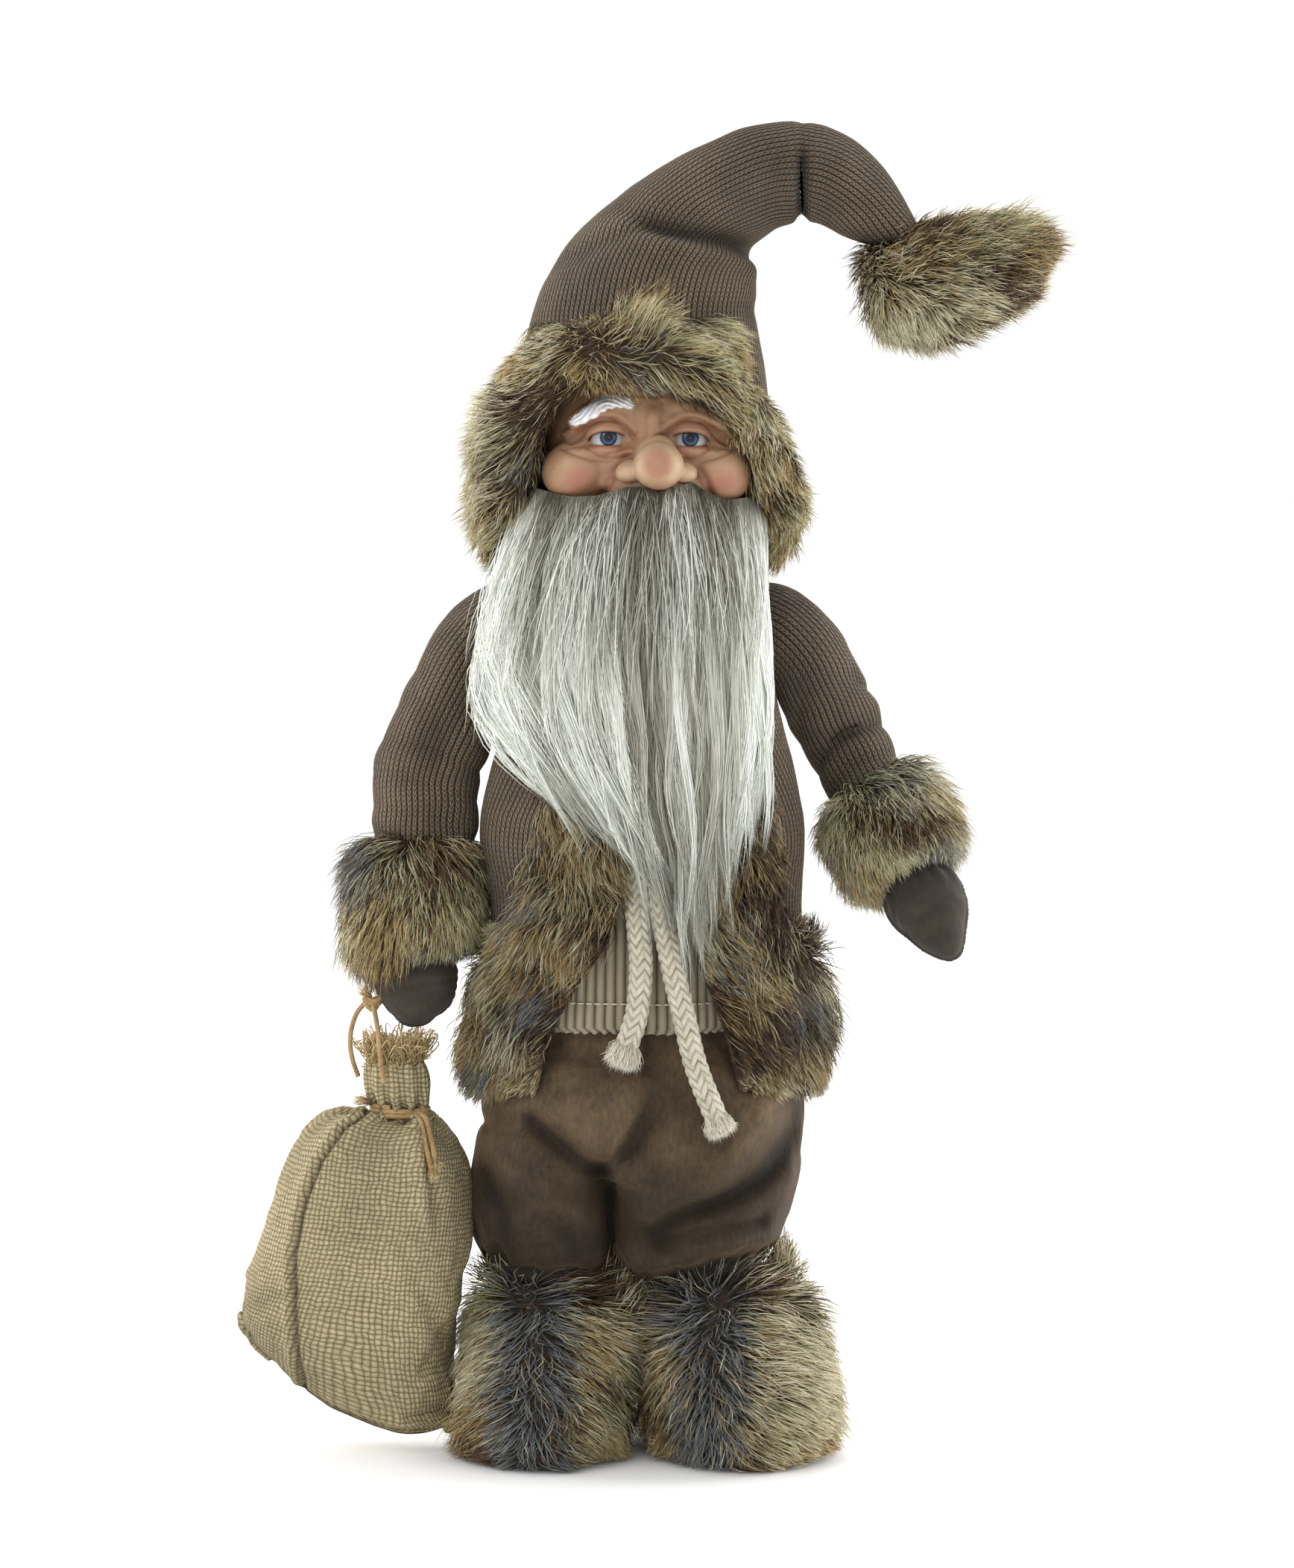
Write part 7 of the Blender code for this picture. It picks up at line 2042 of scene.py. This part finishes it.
# drawcords: round braids 8.5 mm thick, the strands meeting in chevrons
for hand in ("left", "right"):
    line, length = even_line(DRAWCORD[hand], step=0.45)
    R = 4.25

    def braid(A, Dd, R=R):
        col = (A / (2 * np.pi) * 8 + 0.5) % 8
        k = np.floor(col)
        u = col - k - 0.5
        lean = np.where(k % 2 < 1, 1.0, -1.0) * u
        h = np.abs(np.cos(np.pi * (Dd / 3.9 + 0.95 * lean))) ** 0.55
        return R - 1.35 + 1.55 * h * (1 - 0.30 * np.abs(2 * u) ** 3)

    co, faces, uvs = tube_of(line, braid, 64)
    mesh = raw_mesh(f"drawcord_{hand}_braid", co, faces, uvs)
    A_, D_ = np.meshgrid(2 * np.pi * np.arange(64) / 64, np.concatenate([[0], np.cumsum(np.linalg.norm(np.diff(line, axis=0), axis=1))]))
    # painted shade in the grooves between the braid's strands, lighter on their crowns
    shade_by(mesh, 0.60 + 0.44 * smooth(R - 1.3, R - 0.1, braid(A_, D_).ravel()))
    obj = piece(f"drawcord_{hand}_braid", mesh, COTTON, "figure", [f"drawcord_{hand}"])
    way = line[-1] - line[-8]
    wide = hand == "left"
    tuft = fray(f"drawcord_{hand}_fray", line[-1] - unit(way) * 1.0, way, 1500, 9.5 if wide else 7.5, 0.36, "figure", FRAY_COTTON, 381 if wide else 383, spread=0.85 if wide else 0.42, source_r=3.9)
    tuple(W(line[0]))
    [tuple(p) for p in W(line)]

# sack twines
for side in ("outer", "front"):
    line, length = even_line(TWINE[side], step=0.28)
    co, faces, uvs = tube_of(line, twist(3, 3.4, 0.30, 1.02), 18)
    obj = piece(f"sack_twine_{side}_jute", raw_mesh(f"sack_twine_{side}_jute", co, faces, uvs), JUTE, "sack", [f"sack_twine_{side}"])
    tuple(W(line[0]))
    [tuple(p) for p in W(line)]

# knot at the mitten: three turns of the twine
knot_bits = []
for k, (r, tilt, off) in enumerate([(2.7, 0.2, (0, 0, 0.5)), (2.5, 0.9, (-0.6, -0.2, -0.4)), (2.6, -0.6, (0.6, -0.4, 0.0)), (2.2, 1.5, (0, -0.8, -0.8))]):
    t = np.linspace(0, 2 * np.pi, 61)
    ring = np.stack([r * np.cos(t), r * 0.55 * np.sin(t) * math.cos(tilt) - 0.6, r * 0.8 * np.sin(t) * math.sin(tilt) + r * 0.35 * np.cos(2 * t)], 1)
    line = np.array(KNOT) + np.array(off) + ring + [0, -0.4, -1.0]
    co, faces, uvs = tube_of(line, twist(3, 3.2, 0.28, 1.0), 16)
    knot_bits.append(raw_mesh(f"knot_{k}", co, faces, uvs))
for k, mesh in enumerate(knot_bits):
    piece(f"twine_knot_turn_{k}", mesh, JUTE, "twine_knot", ["twine_knot"] if k == 0 else ())
fray("twine_knot_end", np.array(KNOT) + [-1.5, -2.4, 1.5], (-0.5, -0.4, 0.8), 60, 7.0, 0.24, "twine_knot", FRAY_JUTE, 391, spread=0.5, source_r=0.9)

# tie: the twine wound twice round the sack's neck, with its two short ends
t = np.linspace(0, 2.35 * 2 * np.pi, 420)
neck = np.stack([-92.6 + 10.4 * np.cos(t + 2.2), SACK_Y + 8.6 * np.sin(t + 2.2), 129.4 + 0.95 * (t / (2 * np.pi) - 1.1) * 1.7 - 0.05 * 11 * np.cos(t + 2.2) * 0.6], 1)
co, faces, uvs = tube_of(neck, twist(3, 3.6, 0.34, 1.15), 18)
piece("sack_tie_jute", raw_mesh("sack_tie_jute", co, faces, uvs), JUTE, "sack", ["sack_tie"])
for k, pts in enumerate([[(-85.6, -20.6, 129.8), (-82.2, -25.0, 127.4), (-80.2, -30.2, 121), (-78.2, -35.6, 113)], [(-86.6, -20.8, 129.2), (-84.0, -25.6, 126), (-82.0, -31.8, 118), (-79.6, -37.4, 109.5)]]):
    line, length = even_line(pts, step=0.3)
    co, faces, uvs = tube_of(line, twist(3, 3.4, 0.32, 1.1), 16)
    piece(f"sack_tie_end_{k}", raw_mesh(f"sack_tie_end_{k}", co, faces, uvs), JUTE, "sack")
    fray(f"sack_tie_fray_{k}", line[-1], line[-1] - line[-5], 110, 5.5, 0.22, "sack", FRAY_JUTE, 395 + k, spread=0.7, source_r=0.9)
fray("sack_tie_stray", (-104.5, -17.5, 133.5), (-1.0, -0.25, 0.35), 70, 8.0, 0.24, "sack", FRAY_JUTE, 398, spread=0.6, droop=0.4, source_r=1.4)
# frayed mouth of the sack: ravelled loops of jute
rng = np.random.default_rng(401)
a = rng.uniform(0, 2 * np.pi, 2300)
mouth = np.stack([-94.2 + 9.6 * np.sin(a) * np.sqrt(rng.uniform(0.35, 1, 2300)), SACK_Y + 8.6 * np.cos(a) * np.sqrt(rng.uniform(0.35, 1, 2300)), rng.uniform(146.5, 151.5, 2300)], 1)
out_ = np.stack([np.sin(a), np.cos(a), np.zeros(2300)], 1)
strands("sack_mouth_fray", mouth, out_, np.array([0, 0, 1.0]) + out_ * rng.uniform(-1.0, 0.9, (2300, 1)), rng.uniform(4, 10.5, 2300), 0.50, FRAY_JUTE, "sack", rng.random(2300),
        lift=0.25, droop=0.15, wild=0.45, clumps=60, clump_pull=0.5, joints=6, seed=403, curl=2.6)


# longer threads that ravel out of the mouth and loop back
rng = np.random.default_rng(409)
n_ = 150
a = rng.uniform(0, 2 * np.pi, n_)
foot = np.stack([-94.2 + 10.0 * np.sin(a), SACK_Y + 9.0 * np.cos(a), rng.uniform(147, 150.5, n_)], 1)
turn = a + rng.normal(0, 0.9, n_)
reach_ = np.stack([np.sin(turn), np.cos(turn), np.zeros(n_)], 1) * rng.uniform(-2.0, 5.5, n_)[:, None]
tall = rng.uniform(5.0, 12.5, n_)
s_ = np.linspace(0, 1, 10)
arch = foot[:, None] + reach_[:, None] * (np.sin(np.pi * s_) * 1.2)[None, :, None] + (np.stack([np.cos(turn), -np.sin(turn), 0 * turn], 1) * rng.uniform(1.5, 5.0, n_)[:, None])[:, None] * (s_ * 1.4)[None, :, None]
arch[..., 2] += tall[:, None] * np.sin(np.pi * np.minimum(s_ * rng.uniform(0.6, 1.0, (n_, 1)), 1))
laid("sack_mouth_loops", arch, 0.62, rng.random(n_), 411, FRAY_JUTE, "sack")


# ------------------------------------------------------------------ inner and hard pieces
def finish_node(name, material):
    obj = bpy.data.objects.get(name)
    if obj is not None:
        obj.data.materials.clear()
        obj.data.materials.append(material)


def plain(name, dark, base, light, scale, rough, bump=0.0004, **kw):
    m = Mat(name, rough, **kw)
    p = m.position()
    a = m.noise(m.mapping(p, kw.pop("stretch", (1, 1, 1)) if "stretch" in kw else (1, 1, 1)), scale, 5.0)
    m.colour(m.ramp(a, [(0.3, dark), (0.5, base), (0.7, light)]))
    m.bump(a, bump, 0.6)
    m.roughness(m.ramp(a, [(0.2, (rough - .1,) * 3 + (1,)), (0.8, (min(1, rough + .08),) * 3 + (1,))]))
    return m.m


FOAM = plain("foam_core", lin(205, 200, 185), lin(228, 224, 210), lin(240, 238, 228), 900, 0.9, 0.0008)
WOODM = Mat("post_wood", 0.6)
wn = WOODM.noise(WOODM.mapping(WOODM.position(), (500, 500, 14)), 1.0, 5.0)
WOODM.colour(WOODM.ramp(wn, [(0.3, lin(150, 108, 64)), (0.5, lin(190, 148, 96)), (0.7, lin(214, 178, 126))]))
WOODM.bump(wn, 0.0003, 0.6)
WOODM.roughness(WOODM.ramp(wn, [(0.2, (0.5, 0.5, 0.5, 1)), (0.8, (0.7, 0.7, 0.7, 1))]))
STEEL = plain("arm_wire", lin(120, 120, 122), lin(160, 160, 162), lin(190, 190, 192), 1500, 0.35, 0.0001, Metallic=0.9)
BOARD = plain("sole_board", lin(84, 64, 44), lin(112, 88, 62), lin(136, 110, 80), 500, 0.85, 0.0003)
BALLAST = plain("ballast_cloth", lin(130, 124, 110), lin(160, 154, 140), lin(184, 178, 164), 700, 0.9, 0.0005)
WAD = plain("jute_wad", lin(98, 82, 58), lin(140, 122, 92), lin(172, 154, 122), 700, 0.9, 0.0005)
LINING = plain("brown_lining", lin(34, 27, 20), lin(56, 45, 33), lin(78, 64, 48), 700, 0.9, 0.0006)
for obj in list(bpy.data.objects):
    base = obj.name
    if obj.type != "MESH":
        continue
    if base == "torso_core":
        finish_node(base, LINING)
    elif base == "head_core":
        finish_node(base, FOAM)
    elif base.startswith("leg_post") or base == "neck_post":
        finish_node(base, WOODM.m)
    elif base.startswith(("arm_wire", "hat_wire")):
        finish_node(base, STEEL)
    elif base in ("sole_left", "sole_right"):
        finish_node(base, BOARD)
    elif base == "sack_filling":
        finish_node(base, WAD)
    elif base == "ballast_bag":
        finish_node(base, BALLAST)
